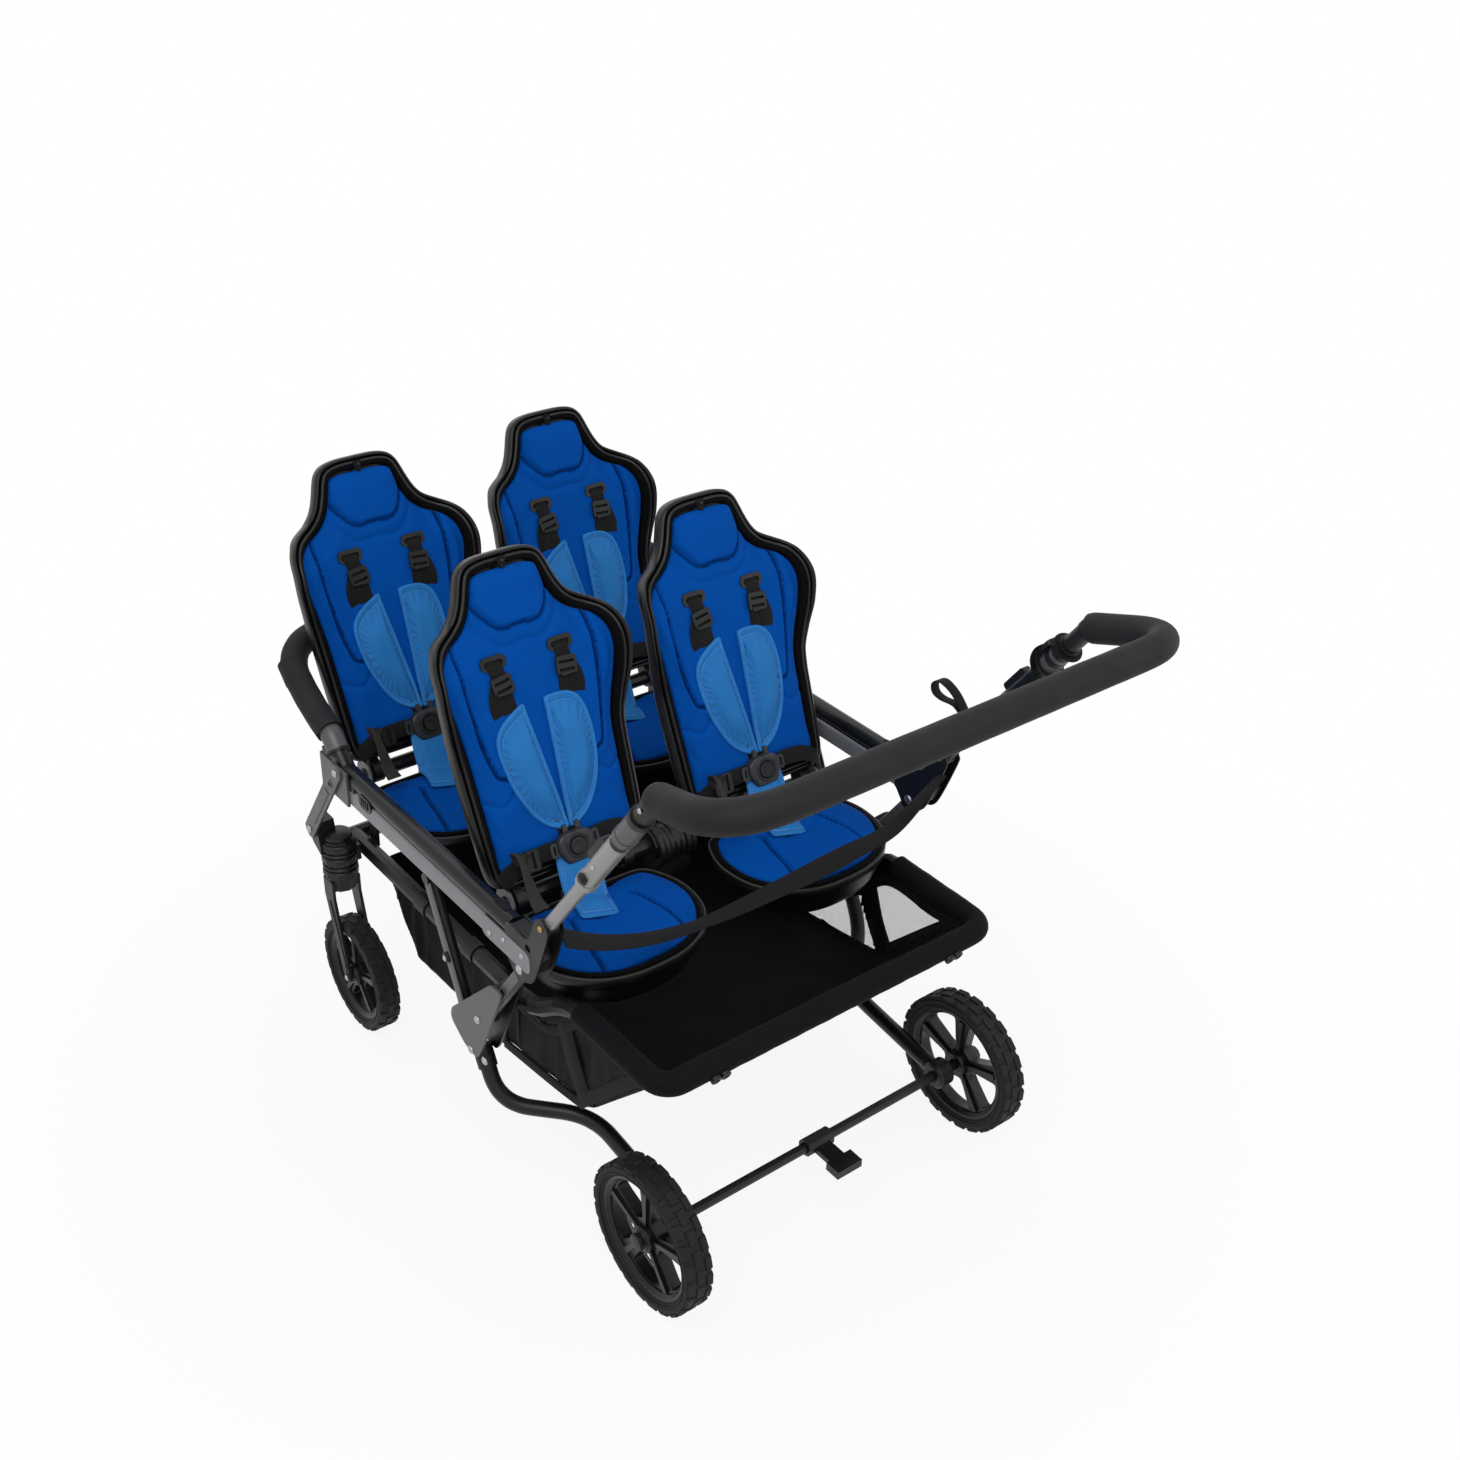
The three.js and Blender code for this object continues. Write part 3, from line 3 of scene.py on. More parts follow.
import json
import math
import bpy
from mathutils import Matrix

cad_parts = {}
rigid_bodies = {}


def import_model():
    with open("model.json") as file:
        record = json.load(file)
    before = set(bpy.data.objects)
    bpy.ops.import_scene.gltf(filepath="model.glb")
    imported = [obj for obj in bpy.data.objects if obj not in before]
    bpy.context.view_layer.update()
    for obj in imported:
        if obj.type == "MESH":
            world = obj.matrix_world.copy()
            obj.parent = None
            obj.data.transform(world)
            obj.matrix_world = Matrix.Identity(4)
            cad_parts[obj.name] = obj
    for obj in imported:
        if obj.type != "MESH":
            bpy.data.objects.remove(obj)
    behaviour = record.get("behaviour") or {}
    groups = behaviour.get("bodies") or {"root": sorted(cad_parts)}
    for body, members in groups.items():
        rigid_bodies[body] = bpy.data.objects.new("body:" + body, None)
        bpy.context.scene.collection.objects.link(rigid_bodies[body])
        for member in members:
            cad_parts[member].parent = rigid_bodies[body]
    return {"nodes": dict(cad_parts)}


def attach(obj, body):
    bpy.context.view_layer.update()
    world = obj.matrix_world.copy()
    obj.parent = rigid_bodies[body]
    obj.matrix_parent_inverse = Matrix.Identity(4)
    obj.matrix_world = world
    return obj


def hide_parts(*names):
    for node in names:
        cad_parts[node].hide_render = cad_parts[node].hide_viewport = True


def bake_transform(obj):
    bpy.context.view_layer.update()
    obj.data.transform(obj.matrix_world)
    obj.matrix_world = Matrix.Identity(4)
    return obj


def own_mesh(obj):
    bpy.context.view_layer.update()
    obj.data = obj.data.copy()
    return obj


bl_info = {
    "name": "Four seat daycare stroller",
    "version": (1, 0, 0),
    "blender": (4, 5, 0),
    "location": "View3D > Sidebar > Stroller",
    "description": "Builds the visible pieces of a folding four seat daycare stroller round its CAD frame",
    "category": "Object",
}

import bmesh
import bpy
import numpy as np
from mathutils import Euler, Matrix, Vector

for stale in list(bpy.data.objects):
    bpy.data.objects.remove(stale)
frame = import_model()
bpy.context.view_layer.update()

MM = 0.001
# Lengths in this file are millimetres in the frame maker's own layout, whose rear axle end is Y_SHIFT behind
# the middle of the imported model. Millimetres become metres in one place, in to_frame.
Y_SHIFT = 348.284

# Seats.
SEAT_X = 175.0
HINGE_Y = {"rear": 350.0, "front": 770.0}
HINGE_Z = 449.0
LEAN = math.radians(22.3)
PAN_REAR_GAP = 15.0
PAN_RIM_Z = 428.0
PAN_BASE_Z = 370.0
PAN_DEPTH = 207.0

# Rails, links and legs.
RAIL_X = 355.0
RAIL_REAR = 150.3
RAIL_FRONT = 692.3
LINK_FOOT = (298.0, 312.0)
LINK_HEAD = (183.3, 475.8)
FRONT_LINK_FOOT = (798.0, 366.0)
FRONT_LINK_HEAD = (683.3, 529.8)
BRACE_FOOT = (350.0, 280.0)
BRACE_TOP = (440.0, 472.4)
ARM_PIVOT = (127.28, 578.0)
ARM_LEAN = math.radians(126.0)
LOWER_X = 296.0
LOWER_Z = 315.0
REAR_BAR_Y = -42.0
REAR_BAR_Z = 388.0
AXLE_Y = -26.0
REAR_WHEEL = {"radius": 115.0, "width": 44.0, "x": 300.0, "y": AXLE_Y, "hub": 21.0}
FRONT_WHEEL = {"radius": 100.0, "width": 38.0, "x": 342.0, "y": 735.0, "hub": 19.0}
CASTER = (342.0, 775.0)

WHITE = (1.0, 1.0, 1.0, 1.0)
SIDES = {"left": -1, "right": 1}
ROWS = ("rear", "front")


def linear(code):
    """An sRGB hex value as linear red, green and blue."""
    value = int(code.lstrip("#"), 16)
    parts = [((value >> shift) & 255) / 255 for shift in (16, 8, 0)]
    return tuple(p / 12.92 if p <= 0.04045 else ((p + 0.055) / 1.055) ** 2.4 for p in parts)


def colour(label, about, code):
    """A setting for a colour, from its sRGB hex value."""
    return bpy.props.FloatVectorProperty(
        name=label, description=about, subtype="COLOR", size=3, min=0, max=1, default=linear(code)
    )


def length(label, about, default, low, high):
    """A setting for a length in metres."""
    return bpy.props.FloatProperty(
        name=label, description=about, unit="LENGTH", default=default, min=low, max=high, precision=4
    )


class StrollerSeatSettings(bpy.types.PropertyGroup):
    """Sizes of the moulded seats and their padding."""

    pad_crown: length("Pad crown", "How far the foam of a back pad rises above its edge", 0.009, 0.002, 0.02)
    pad_travel: length("Cloth travel", "The most that pressure may move a point of the cover", 0.006, 0.0, 0.016)
    channel_depth: length("Channel depth", "Depth of the sewn channels", 0.0092, 0.0, 0.012)
    piping: length("Piping", "Radius of the piping round a pad", 0.0024, 0.001, 0.004)
    pressure: bpy.props.FloatProperty(
        name="Pressure", description="Pressure that fills the covers", default=4.0, min=0.0, max=12.0
    )


class StrollerFrameSettings(bpy.types.PropertyGroup):
    """Sizes of the frame's fine detail."""

    edge: length("Edge", "Rounding of plate and bracket edges", 0.0009, 0.0002, 0.002)
    rivet: length("Rivet", "Radius of a rivet head", 0.0042, 0.002, 0.008)
    tread_count: bpy.props.IntProperty(
        name="Tread blocks", description="Blocks round each tread row", default=24, min=8, max=60
    )


class StrollerFinishSettings(bpy.types.PropertyGroup):
    """Colours of the stroller's finishes."""

    pad_blue: colour("Pad", "Knitted cover of backs and pans", "#004DA6")
    pad_light: colour("Harness pad", "Coated cloth of chest and crotch pads", "#2C78BE")
    frame_grey: colour("Plates", "Paint of the grey frame plates", "#5A5B5D")
    arm_grey: colour("Arms", "Anodised handle arms", "#969696")
    frame_black: colour("Tubes", "Powder coat of the black tubes", "#121315")
    shell_black: colour("Shells", "Moulded seat shells", "#0E0E0F")
    tub_black: colour("Tub", "Coated polyester of the tub", "#141517")


def to_frame(points):
    """Millimetres in the maker's layout to metres in the shared frame."""
    points = np.asarray(points, dtype=float).reshape(-1, 3)
    return (points - (0.0, Y_SHIFT, 0.0)) * MM


def at(x, y, z):
    """One place, given in millimetres, as a vector in the shared frame."""
    return Vector(to_frame((x, y, z))[0])


def seat_points(local, side, row):
    """Points of one seat, given as x, depth forward of the hinge and height along the back."""
    local = np.asarray(local, dtype=float).reshape(-1, 3)
    x, depth, along = local.T
    return np.stack(
        [
            SIDES[side] * SEAT_X + x,
            HINGE_Y[row] - depth * math.cos(LEAN) + along * math.sin(LEAN),
            HINGE_Z + depth * math.sin(LEAN) + along * math.cos(LEAN),
        ],
        axis=1,
    )


def pan_points(local, side, row):
    """Points over one pan, given as x, distance forward of its rear edge and height."""
    local = np.asarray(local, dtype=float).reshape(-1, 3)
    x, distance, height = local.T
    rear = HINGE_Y[row] - PAN_REAR_GAP
    return np.stack([SIDES[side] * SEAT_X + x, rear - distance, height], axis=1)


# Shape helpers. A surface is its points in millimetres and its faces.
X_AXIS, Y_AXIS, Z_AXIS = (1, 0, 0), (0, 1, 0), (0, 0, 1)


def unit(vector):
    """The same direction at length 1."""
    vector = np.asarray(vector, dtype=float)
    return vector / max(np.linalg.norm(vector), 1e-9)


def bent(points, reach, steps=8):
    """A path with its corners rounded, starting each bend a given reach before the corner."""
    points = [np.asarray(p, dtype=float) for p in points]
    path = [points[0]]
    for before, corner, after in zip(points, points[1:], points[2:]):
        start, end = (corner + unit(other - corner) * reach for other in (before, after))
        path += corner_bend(start, corner, end, steps)
    path.append(points[-1])
    return np.array(path)


def run_along(path):
    """Length along a path from its start to each of its points."""
    return np.concatenate([[0], np.cumsum(np.linalg.norm(np.diff(path, axis=0), axis=1))])


def picked(path, run, marks):
    """Points of a path at marks along its run."""
    return np.stack([np.interp(marks, run, path[:, k]) for k in range(path.shape[1])], axis=1)


def smooth_path(points, spacing, closed=False):
    """A smooth curve through points, with even spacing."""
    points = np.asarray(points, dtype=float)
    count = len(points)

    def control(i):
        return points[i % count] if closed else points[min(max(i, 0), count - 1)]

    fine = []
    for i in range(count if closed else count - 1):
        p0, p1, p2, p3 = (control(i + k) for k in (-1, 0, 1, 2))
        for t in np.linspace(0, 1, 12, endpoint=False):
            square, cube = 2 * p0 - 5 * p1 + 4 * p2 - p3, 3 * p1 - p0 - 3 * p2 + p3
            fine.append(0.5 * (2 * p1 + (p2 - p0) * t + square * t**2 + cube * t**3))
    fine.append(points[0] if closed else points[-1])
    fine = np.array(fine)
    run = run_along(fine)
    steps = max(int(round(run[-1] / spacing)), 3)
    marks = np.linspace(0, run[-1], steps, endpoint=False) if closed else np.linspace(0, run[-1], steps + 1)
    return picked(fine, run, marks)


def spaced(points, spacing):
    """The same path with points at even spacing."""
    points = np.asarray(points, dtype=float)
    run = run_along(points)
    return picked(points, run, np.linspace(0, run[-1], max(int(round(run[-1] / spacing)), 2) + 1))


def path_frames(path, lean=None, closed=False):
    """A side and an up direction at each point of a path. A lean keeps up near one direction."""
    path = np.asarray(path, dtype=float)
    if closed:
        tangents = np.roll(path, -1, axis=0) - np.roll(path, 1, axis=0)
    else:
        tangents = np.gradient(path, axis=0)
    tangents = tangents / np.maximum(np.linalg.norm(tangents, axis=1, keepdims=True), 1e-9)
    ups = []
    if lean is not None:
        leans = np.broadcast_to(np.asarray(lean, dtype=float), path.shape)
        for tangent, wish in zip(tangents, leans):
            ups.append(unit(wish - tangent * np.dot(wish, tangent)))
    else:
        start = np.eye(3)[int(np.argmin(np.abs(tangents[0])))]
        up = unit(start - tangents[0] * np.dot(start, tangents[0]))
        for tangent in tangents:
            up = unit(up - tangent * np.dot(up, tangent))
            ups.append(up)
    ups = np.array(ups)
    sides = np.cross(tangents, ups)
    return sides, ups


def lofted(rings, closed=False):
    """A surface through rings of equal count. An open row of rings gets flat ends."""
    rings = np.asarray(rings, dtype=float)
    count, around = rings.shape[:2]
    faces = []
    for i in range(count if closed else count - 1):
        j = (i + 1) % count
        for k in range(around):
            m = (k + 1) % around
            faces.append((i * around + k, j * around + k, j * around + m, i * around + m))
    if not closed:
        faces.append(tuple(range(around)))
        faces.append(tuple(reversed(range((count - 1) * around, count * around))))
    return rings.reshape(-1, 3), faces


def sweep(path, outline, lean=None, closed=False, sizes=None):
    """A closed outline of (side, up) points carried along a path."""
    path = np.asarray(path, dtype=float)
    outline = np.asarray(outline, dtype=float)
    sides, ups = path_frames(path, lean, closed)
    sizes = np.ones(len(path)) if sizes is None else np.asarray(sizes, dtype=float)
    across, up = (outline[None, :, k, None] * sizes[:, None, None] for k in (0, 1))
    return lofted(path[:, None, :] + sides[:, None, :] * across + ups[:, None, :] * up, closed)


def circle(radius, sides=24):
    """Outline of a circle round the origin."""
    angles = np.linspace(0, 2 * math.pi, sides, endpoint=False)
    return np.stack([np.cos(angles) * radius, np.sin(angles) * radius], axis=1)


def rounded_box(width, height, corner, steps=4):
    """Outline of a rectangle with rounded corners, round the origin."""
    corner = min(corner, width / 2 - 1e-3, height / 2 - 1e-3)
    outline = []
    for sx, sy, start in ((1, 1, 0), (-1, 1, 90), (-1, -1, 180), (1, -1, 270)):
        for i in range(steps + 1):
            angle = math.radians(start + 90 * i / steps)
            outline.append(
                (
                    sx * (width / 2 - corner) + corner * math.cos(angle),
                    sy * (height / 2 - corner) + corner * math.sin(angle),
                )
            )
    return np.array(outline)


def tube(path, radius, sides=24, closed=False, sizes=None):
    """A round bar along a path."""
    return sweep(path, circle(radius, sides), None, closed, sizes)


def turned(profile, centre, axis, steps=40, closed=False):
    """A shape turned round an axis from (radius, along) points. An open profile starts and ends on the axis."""
    axis = unit(axis)
    start = np.eye(3)[int(np.argmin(np.abs(axis)))]
    first = unit(np.cross(axis, start))
    second = np.cross(axis, first)
    centre = np.asarray(centre, dtype=float)
    points = []
    rows = []
    for radius, along in profile:
        if radius < 1e-6:
            rows.append([len(points)] * steps)
            points.append(centre + axis * along)
            continue
        rows.append(list(range(len(points), len(points) + steps)))
        for k in range(steps):
            angle = 2 * math.pi * k / steps
            points.append(centre + axis * along + (first * math.cos(angle) + second * math.sin(angle)) * radius)
    faces = []
    pairs = list(zip(rows, rows[1:]))
    if closed:
        pairs.append((rows[-1], rows[0]))
    for low, high in pairs:
        for k in range(steps):
            m = (k + 1) % steps
            corners = []
            for index in (low[k], low[m], high[m], high[k]):
                if index not in corners:
                    corners.append(index)
            if len(corners) > 2:
                faces.append(tuple(corners))
    return np.array(points), faces


def disc(radius, low, high, soft=1.0):
    """Profile of a solid drum with softened edges."""
    soft = min(soft, radius * 0.5, (high - low) * 0.5)
    inner = radius - soft
    return [(0, low), (inner, low), (radius, low + soft), (radius, high - soft), (inner, high), (0, high)]


def ring(inner, outer, low, high, soft=0.8):
    """Closed profile of a ring with softened edges."""
    return [
        (inner, low + soft),
        (inner + soft, low),
        (outer - soft, low),
        (outer, low + soft),
        (outer, high - soft),
        (outer - soft, high),
        (inner + soft, high),
        (inner, high - soft),
    ]


def drum(radius, low, high, soft, centre, axis, steps):
    """A solid drum between two distances along an axis through its centre."""
    return turned(disc(radius, low, high, soft), centre, axis, steps)


def collar(inner, outer, low, high, soft, centre, axis, steps):
    """A ring between two distances along an axis through its centre."""
    return turned(ring(inner, outer, low, high, soft), centre, axis, steps, closed=True)


def slab(outline, thickness, origin, across, up, holes=()):
    """A plate with holes: outlines in two directions from an origin, thickened both ways from their plane."""
    work = bmesh.new()
    edges = []
    for loop in (outline, *holes):
        corners = [work.verts.new((x, y, 0)) for x, y in loop]
        edges += [work.edges.new((a, b)) for a, b in zip(corners, corners[1:] + corners[:1])]
    bmesh.ops.triangle_fill(work, use_beauty=True, use_dissolve=False, edges=edges)
    work.verts.index_update()
    points = np.array([v.co for v in work.verts])
    triangles = [[v.index for v in f.verts] for f in work.faces]
    rims = [[v.index for v in e.verts] for e in edges]
    work.free()
    for index, triangle in enumerate(triangles):
        a, b, c = points[triangle]
        if np.cross(b - a, c - a)[2] <= 0:
            triangles[index] = triangle[::-1]
    count = len(points)
    across, up = unit(across), unit(up)
    out = np.cross(across, up) * thickness / 2
    base = np.asarray(origin, dtype=float) + points[:, :1] * across + points[:, 1:2] * up
    faces = [tuple(reversed(t)) for t in triangles] + [tuple(i + count for i in t) for t in triangles]
    owned = {(a, b) for t in triangles for a, b in zip(t, t[1:] + t[:1])}
    for a, b in rims:
        if (a, b) not in owned:
            a, b = b, a
        faces.append((a, b, b + count, a + count))
    return np.concatenate([base - out, base + out]), faces


def side_plate(outline, thickness, x, holes=()):
    """A plate that faces sideways. Its outline is distance along the stroller, or seat depth, and height."""
    return slab(outline, thickness, (x, 0, 0), Y_AXIS, Z_AXIS, holes)


def face_plate(outline, thickness, depth, holes=()):
    """A plate that faces as a seat's back does. Its outline is x and height along the back."""
    return slab(outline, thickness, (0, depth, 0), X_AXIS, Z_AXIS, holes)


def two_faced(front, back):
    """A closed body between two grids of points, front facing out along rows by columns."""
    front, back = np.asarray(front, dtype=float), np.asarray(back, dtype=float)
    rows, columns = front.shape[:2]

    def spot(i, j, face):
        return face * rows * columns + i * columns + j

    faces = []
    for i in range(rows - 1):
        for j in range(columns - 1):
            faces.append((spot(i, j, 0), spot(i, j + 1, 0), spot(i + 1, j + 1, 0), spot(i + 1, j, 0)))
            faces.append((spot(i, j, 1), spot(i + 1, j, 1), spot(i + 1, j + 1, 1), spot(i, j + 1, 1)))
    edge = [(0, j) for j in range(columns)] + [(i, columns - 1) for i in range(1, rows)]
    edge += [(rows - 1, j) for j in range(columns - 2, -1, -1)] + [(i, 0) for i in range(rows - 2, 0, -1)]
    for (i, j), (m, n) in zip(edge, edge[1:] + edge[:1]):
        faces.append((spot(m, n, 0), spot(i, j, 0), spot(i, j, 1), spot(m, n, 1)))
    return np.concatenate([front.reshape(-1, 3), back.reshape(-1, 3)]), faces


def table(rows, column, key):
    """A value from rows of numbers, smooth between the rows."""
    keys = [row[0] for row in rows]
    values = [row[column] for row in rows]
    key = np.clip(np.asarray(key, dtype=float), keys[0], keys[-1])
    place = np.clip(np.searchsorted(keys, key, side="right") - 1, 0, len(keys) - 2)
    low, high = np.take(keys, place), np.take(keys, place + 1)
    share = (key - low) / (high - low)
    slopes = np.zeros(len(keys))
    for i in range(1, len(keys) - 1):
        before = (values[i] - values[i - 1]) / (keys[i] - keys[i - 1])
        after = (values[i + 1] - values[i]) / (keys[i + 1] - keys[i])
        slopes[i] = 0 if before * after <= 0 else 2 * before * after / (before + after)
    slopes[0] = (values[1] - values[0]) / (keys[1] - keys[0])
    slopes[-1] = (values[-1] - values[-2]) / (keys[-1] - keys[-2])
    width = high - low
    a, b = np.take(values, place), np.take(values, place + 1)
    c, d = np.take(slopes, place) * width, np.take(slopes, place + 1) * width
    s2, s3 = share**2, share**3
    return a * (2 * s3 - 3 * s2 + 1) + c * (s3 - 2 * s2 + share) + b * (3 * s2 - 2 * s3) + d * (s3 - s2)


def ease(value):
    """A soft step from 0 at 0 to 1 at 1."""
    value = np.clip(value, 0, 1)
    return value * value * (3 - 2 * value)


def line_distance(points, line):
    """Distance of flat points from a line of straight runs."""
    points = np.asarray(points, dtype=float)
    best = np.full(len(points), np.inf)
    for a, b in zip(line, line[1:]):
        a, b = np.asarray(a, dtype=float), np.asarray(b, dtype=float)
        span = b - a
        share = np.clip(((points - a) @ span) / max(span @ span, 1e-9), 0, 1)
        best = np.minimum(best, np.linalg.norm(points - (a + share[:, None] * span), axis=1))
    return best


def bell(value, width):
    """1 at nought, falling to nought a few widths away."""
    return np.exp(-((value / width) ** 2))


def rolled(gap, radius):
    """Height share of an edge rolled to a radius, at a gap from that edge."""
    return np.sqrt(1 - (1 - np.clip(gap / radius, 0, 1)) ** 2)


class Shape:
    """Surfaces gathered for one piece, each with its finish. A place sets each of them into its seat."""

    def __init__(self, name, place=None):
        self.name, self.place = name, place
        self.points, self.faces, self.marks, self.finishes, self.maps = [], [], [], [], []
        self.count = 0

    def add(self, surface, finish_name):
        points, faces = self.place(surface) if self.place else surface
        if finish_name not in self.finishes:
            self.finishes.append(finish_name)
        self.points.append(np.asarray(points, dtype=float))
        self.faces += [tuple(i + self.count for i in face) for face in faces]
        self.marks += [self.finishes.index(finish_name)] * len(faces)
        self.count += len(points)

    def add_cloth(self, surface, finish_name):
        """Adds a surface that has its own cloth map."""
        points, faces, cloth = surface
        self.maps.append((self.count, cloth))
        self.add((points, faces), finish_name)

    def mesh(self, angle):
        """The gathered surfaces as one mesh, facing out, with edges sharper than an angle kept sharp."""
        data = bpy.data.meshes.new(self.name)
        data.from_pydata(to_frame(np.concatenate(self.points)).tolist(), [], self.faces)
        for finish_name in self.finishes:
            data.materials.append(finish(finish_name))
        data.polygons.foreach_set("material_index", self.marks)
        turn_outward(data)
        if self.maps:
            cloth = np.zeros((self.count, 2))
            for first, values in self.maps:
                cloth[first : first + len(values)] = values
            corners = np.zeros(len(data.loops), dtype=int)
            data.loops.foreach_get("vertex_index", corners)
            data.uv_layers.new(name="cloth").data.foreach_set("uv", cloth[corners].ravel())
        data.polygons.foreach_set("use_smooth", [True] * len(data.polygons))
        data.set_sharp_from_angle(angle=math.radians(angle))
        data.update()
        return data

    def build(self, body=None, slot=None, replaces=(), angle=38.0, bevel=0.0):
        """Makes the piece, sets it on the body that it rides on, and hides the imported parts that it replaces."""
        piece = bpy.data.objects.new(self.name, self.mesh(angle))
        bpy.context.scene.collection.objects.link(piece)
        if bevel:
            modifier = piece.modifiers.new("Edges", "BEVEL")
            modifier.width = bevel
            modifier.segments = 2
            modifier.limit_method = "ANGLE"
            modifier.angle_limit = math.radians(40)
        if body:
            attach(piece, body)
        if replaces:
            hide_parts(*replaces)
        return piece


def turn_outward(data):
    """Turns a mesh's faces outward."""
    work = bmesh.new()
    work.from_mesh(data)
    bmesh.ops.recalc_face_normals(work, faces=work.faces)
    work.to_mesh(data)
    work.free()


# Finishes. Every pattern reads Object coordinates, in metres, unless it says that it reads the piece's own map.


def add(tree, kind, settings=None, inputs=None):
    """Adds one node with its settings and its inputs, which are values or the sockets that feed them."""
    node = tree.nodes.new(kind)
    for key, value in (settings or {}).items():
        setattr(node, key, value)
    for key, value in (inputs or {}).items():
        socket = node.inputs[key]
        if isinstance(value, bpy.types.NodeSocket):
            tree.links.new(value, socket)
        else:
            socket.default_value = value
    return node


def tone(rgb, factor):
    """A colour made brighter or darker, for a socket."""
    return tuple(min(c * factor, 1.0) for c in rgb) + (1.0,)


def start_finish(name, constants):
    """A new material with its Principled shader, object coordinates and constants on the shader itself."""
    material = bpy.data.materials.new(name)
    material.use_nodes = True
    tree = material.node_tree
    tree.nodes.clear()
    shader = add(tree, "ShaderNodeBsdfPrincipled", None, constants)
    add(tree, "ShaderNodeOutputMaterial", None, {"Surface": shader.outputs["BSDF"]})
    place = add(tree, "ShaderNodeTexCoord").outputs["Object"]
    return material, tree, shader, place


def show(tree, surface):
    """Sends a shader to the material's output in place of the first one."""
    output = next(node for node in tree.nodes if node.bl_idname == "ShaderNodeOutputMaterial")
    tree.links.new(surface, output.inputs["Surface"])


def seen_directly(tree):
    """1 for the rays that see a surface itself: from the camera, in a reflection or through something clear."""
    rays = add(tree, "ShaderNodeLightPath").outputs
    seen = rays["Is Camera Ray"]
    for kind in ("Is Glossy Ray", "Is Transmission Ray"):
        seen = add(tree, "ShaderNodeMath", {"operation": "MAXIMUM"}, {0: seen, 1: rays[kind]}).outputs[0]
    return seen


def dress_shader(tree, shader, share, tones, gloss, roughness, height, depth_mm, strength):
    """Gives a shader two tones mixed by a share, a roughness that runs with the gloss, and a relief."""
    tint = add(tree, "ShaderNodeMix", {"data_type": "RGBA"}, {0: share, 6: tones[0], 7: tones[1]})
    rough = add(tree, "ShaderNodeMapRange", None, {"Value": gloss, "To Min": roughness[0], "To Max": roughness[1]})
    bump = add(tree, "ShaderNodeBump", None, {"Height": height, "Distance": depth_mm * MM, "Strength": strength})
    for node, output, socket in ((tint, 2, "Base Color"), (rough, "Result", "Roughness"), (bump, "Normal", "Normal")):
        tree.links.new(node.outputs[output], shader.inputs[socket])


def plain_finish(name, source, drift_mm, contrast, roughness, grain_mm, depth_mm, constants=None, cells=False):
    """Paint, plastic, foam or metal: tone and gloss drift slowly over a fine relief of a real depth."""
    rgb = paint(source)
    material, tree, shader, place = start_finish(name, {"Specular IOR Level": 0.3, **(constants or {})})
    drift = add(tree, "ShaderNodeTexNoise", None, {"Vector": place, "Scale": 1 / (drift_mm * MM), "Detail": 4.0})
    share = add(
        tree, "ShaderNodeMapRange", None, {"Value": drift.outputs["Fac"], "From Min": 0.32, "From Max": 0.68}
    ).outputs["Result"]
    if cells:
        grain = add(tree, "ShaderNodeTexVoronoi", None, {"Vector": place, "Scale": 1 / (grain_mm * MM)})
        height = grain.outputs["Distance"]
    else:
        grain = add(tree, "ShaderNodeTexNoise", None, {"Vector": place, "Scale": 1 / (grain_mm * MM), "Detail": 2.0})
        height = grain.outputs["Fac"]
    tones = tone(rgb, 1 - contrast), tone(rgb, 1 + contrast)
    dress_shader(tree, shader, share, tones, share, (roughness - 0.05, roughness + 0.07), height, depth_mm, 0.5)
    return material


def woven(name, source, thread_mm, sheen, roughness, depth_mm, contrast=0.14, factor=1.0):
    """Woven or knitted cloth: two crossing sets of threads, a soft sheen and a slow drift of tone."""
    rgb = paint(source, factor)
    constants = {"Sheen Weight": sheen, "Sheen Roughness": 0.4, "Specular IOR Level": 0.05}
    material, tree, shader, place = start_finish(name, constants)
    threads = []
    for bands, turn in (("X", 0), ("Y", math.radians(-45))):
        lean = add(tree, "ShaderNodeMapping", None, {"Vector": place, "Rotation": (turn, 0, 0)}).outputs["Vector"]
        inputs = {"Vector": lean, "Scale": wave_scale(thread_mm), "Distortion": 0.4}
        threads.append(add(tree, "ShaderNodeTexWave", {"bands_direction": bands}, inputs).outputs["Fac"])
    cloth = add(tree, "ShaderNodeMath", {"operation": "MULTIPLY"}, {0: threads[0], 1: threads[1]}).outputs[0]
    pile = add(
        tree, "ShaderNodeTexNoise", None, {"Vector": place, "Scale": 1 / (38 * MM), "Detail": 5.0, "Roughness": 0.6}
    ).outputs["Fac"]
    mixed = add(tree, "ShaderNodeMath", {"operation": "MULTIPLY_ADD"}, {0: cloth, 1: 0.5, 2: pile}).outputs[0]
    share = add(tree, "ShaderNodeMapRange", None, {"Value": mixed, "From Min": 0.3, "From Max": 1.0}).outputs["Result"]
    tones = tone(rgb, 1 - contrast), tone(rgb, 1 + contrast)
    dress_shader(tree, shader, share, tones, pile, (roughness - 0.05, roughness + 0.06), cloth, depth_mm, 0.6)
    return material


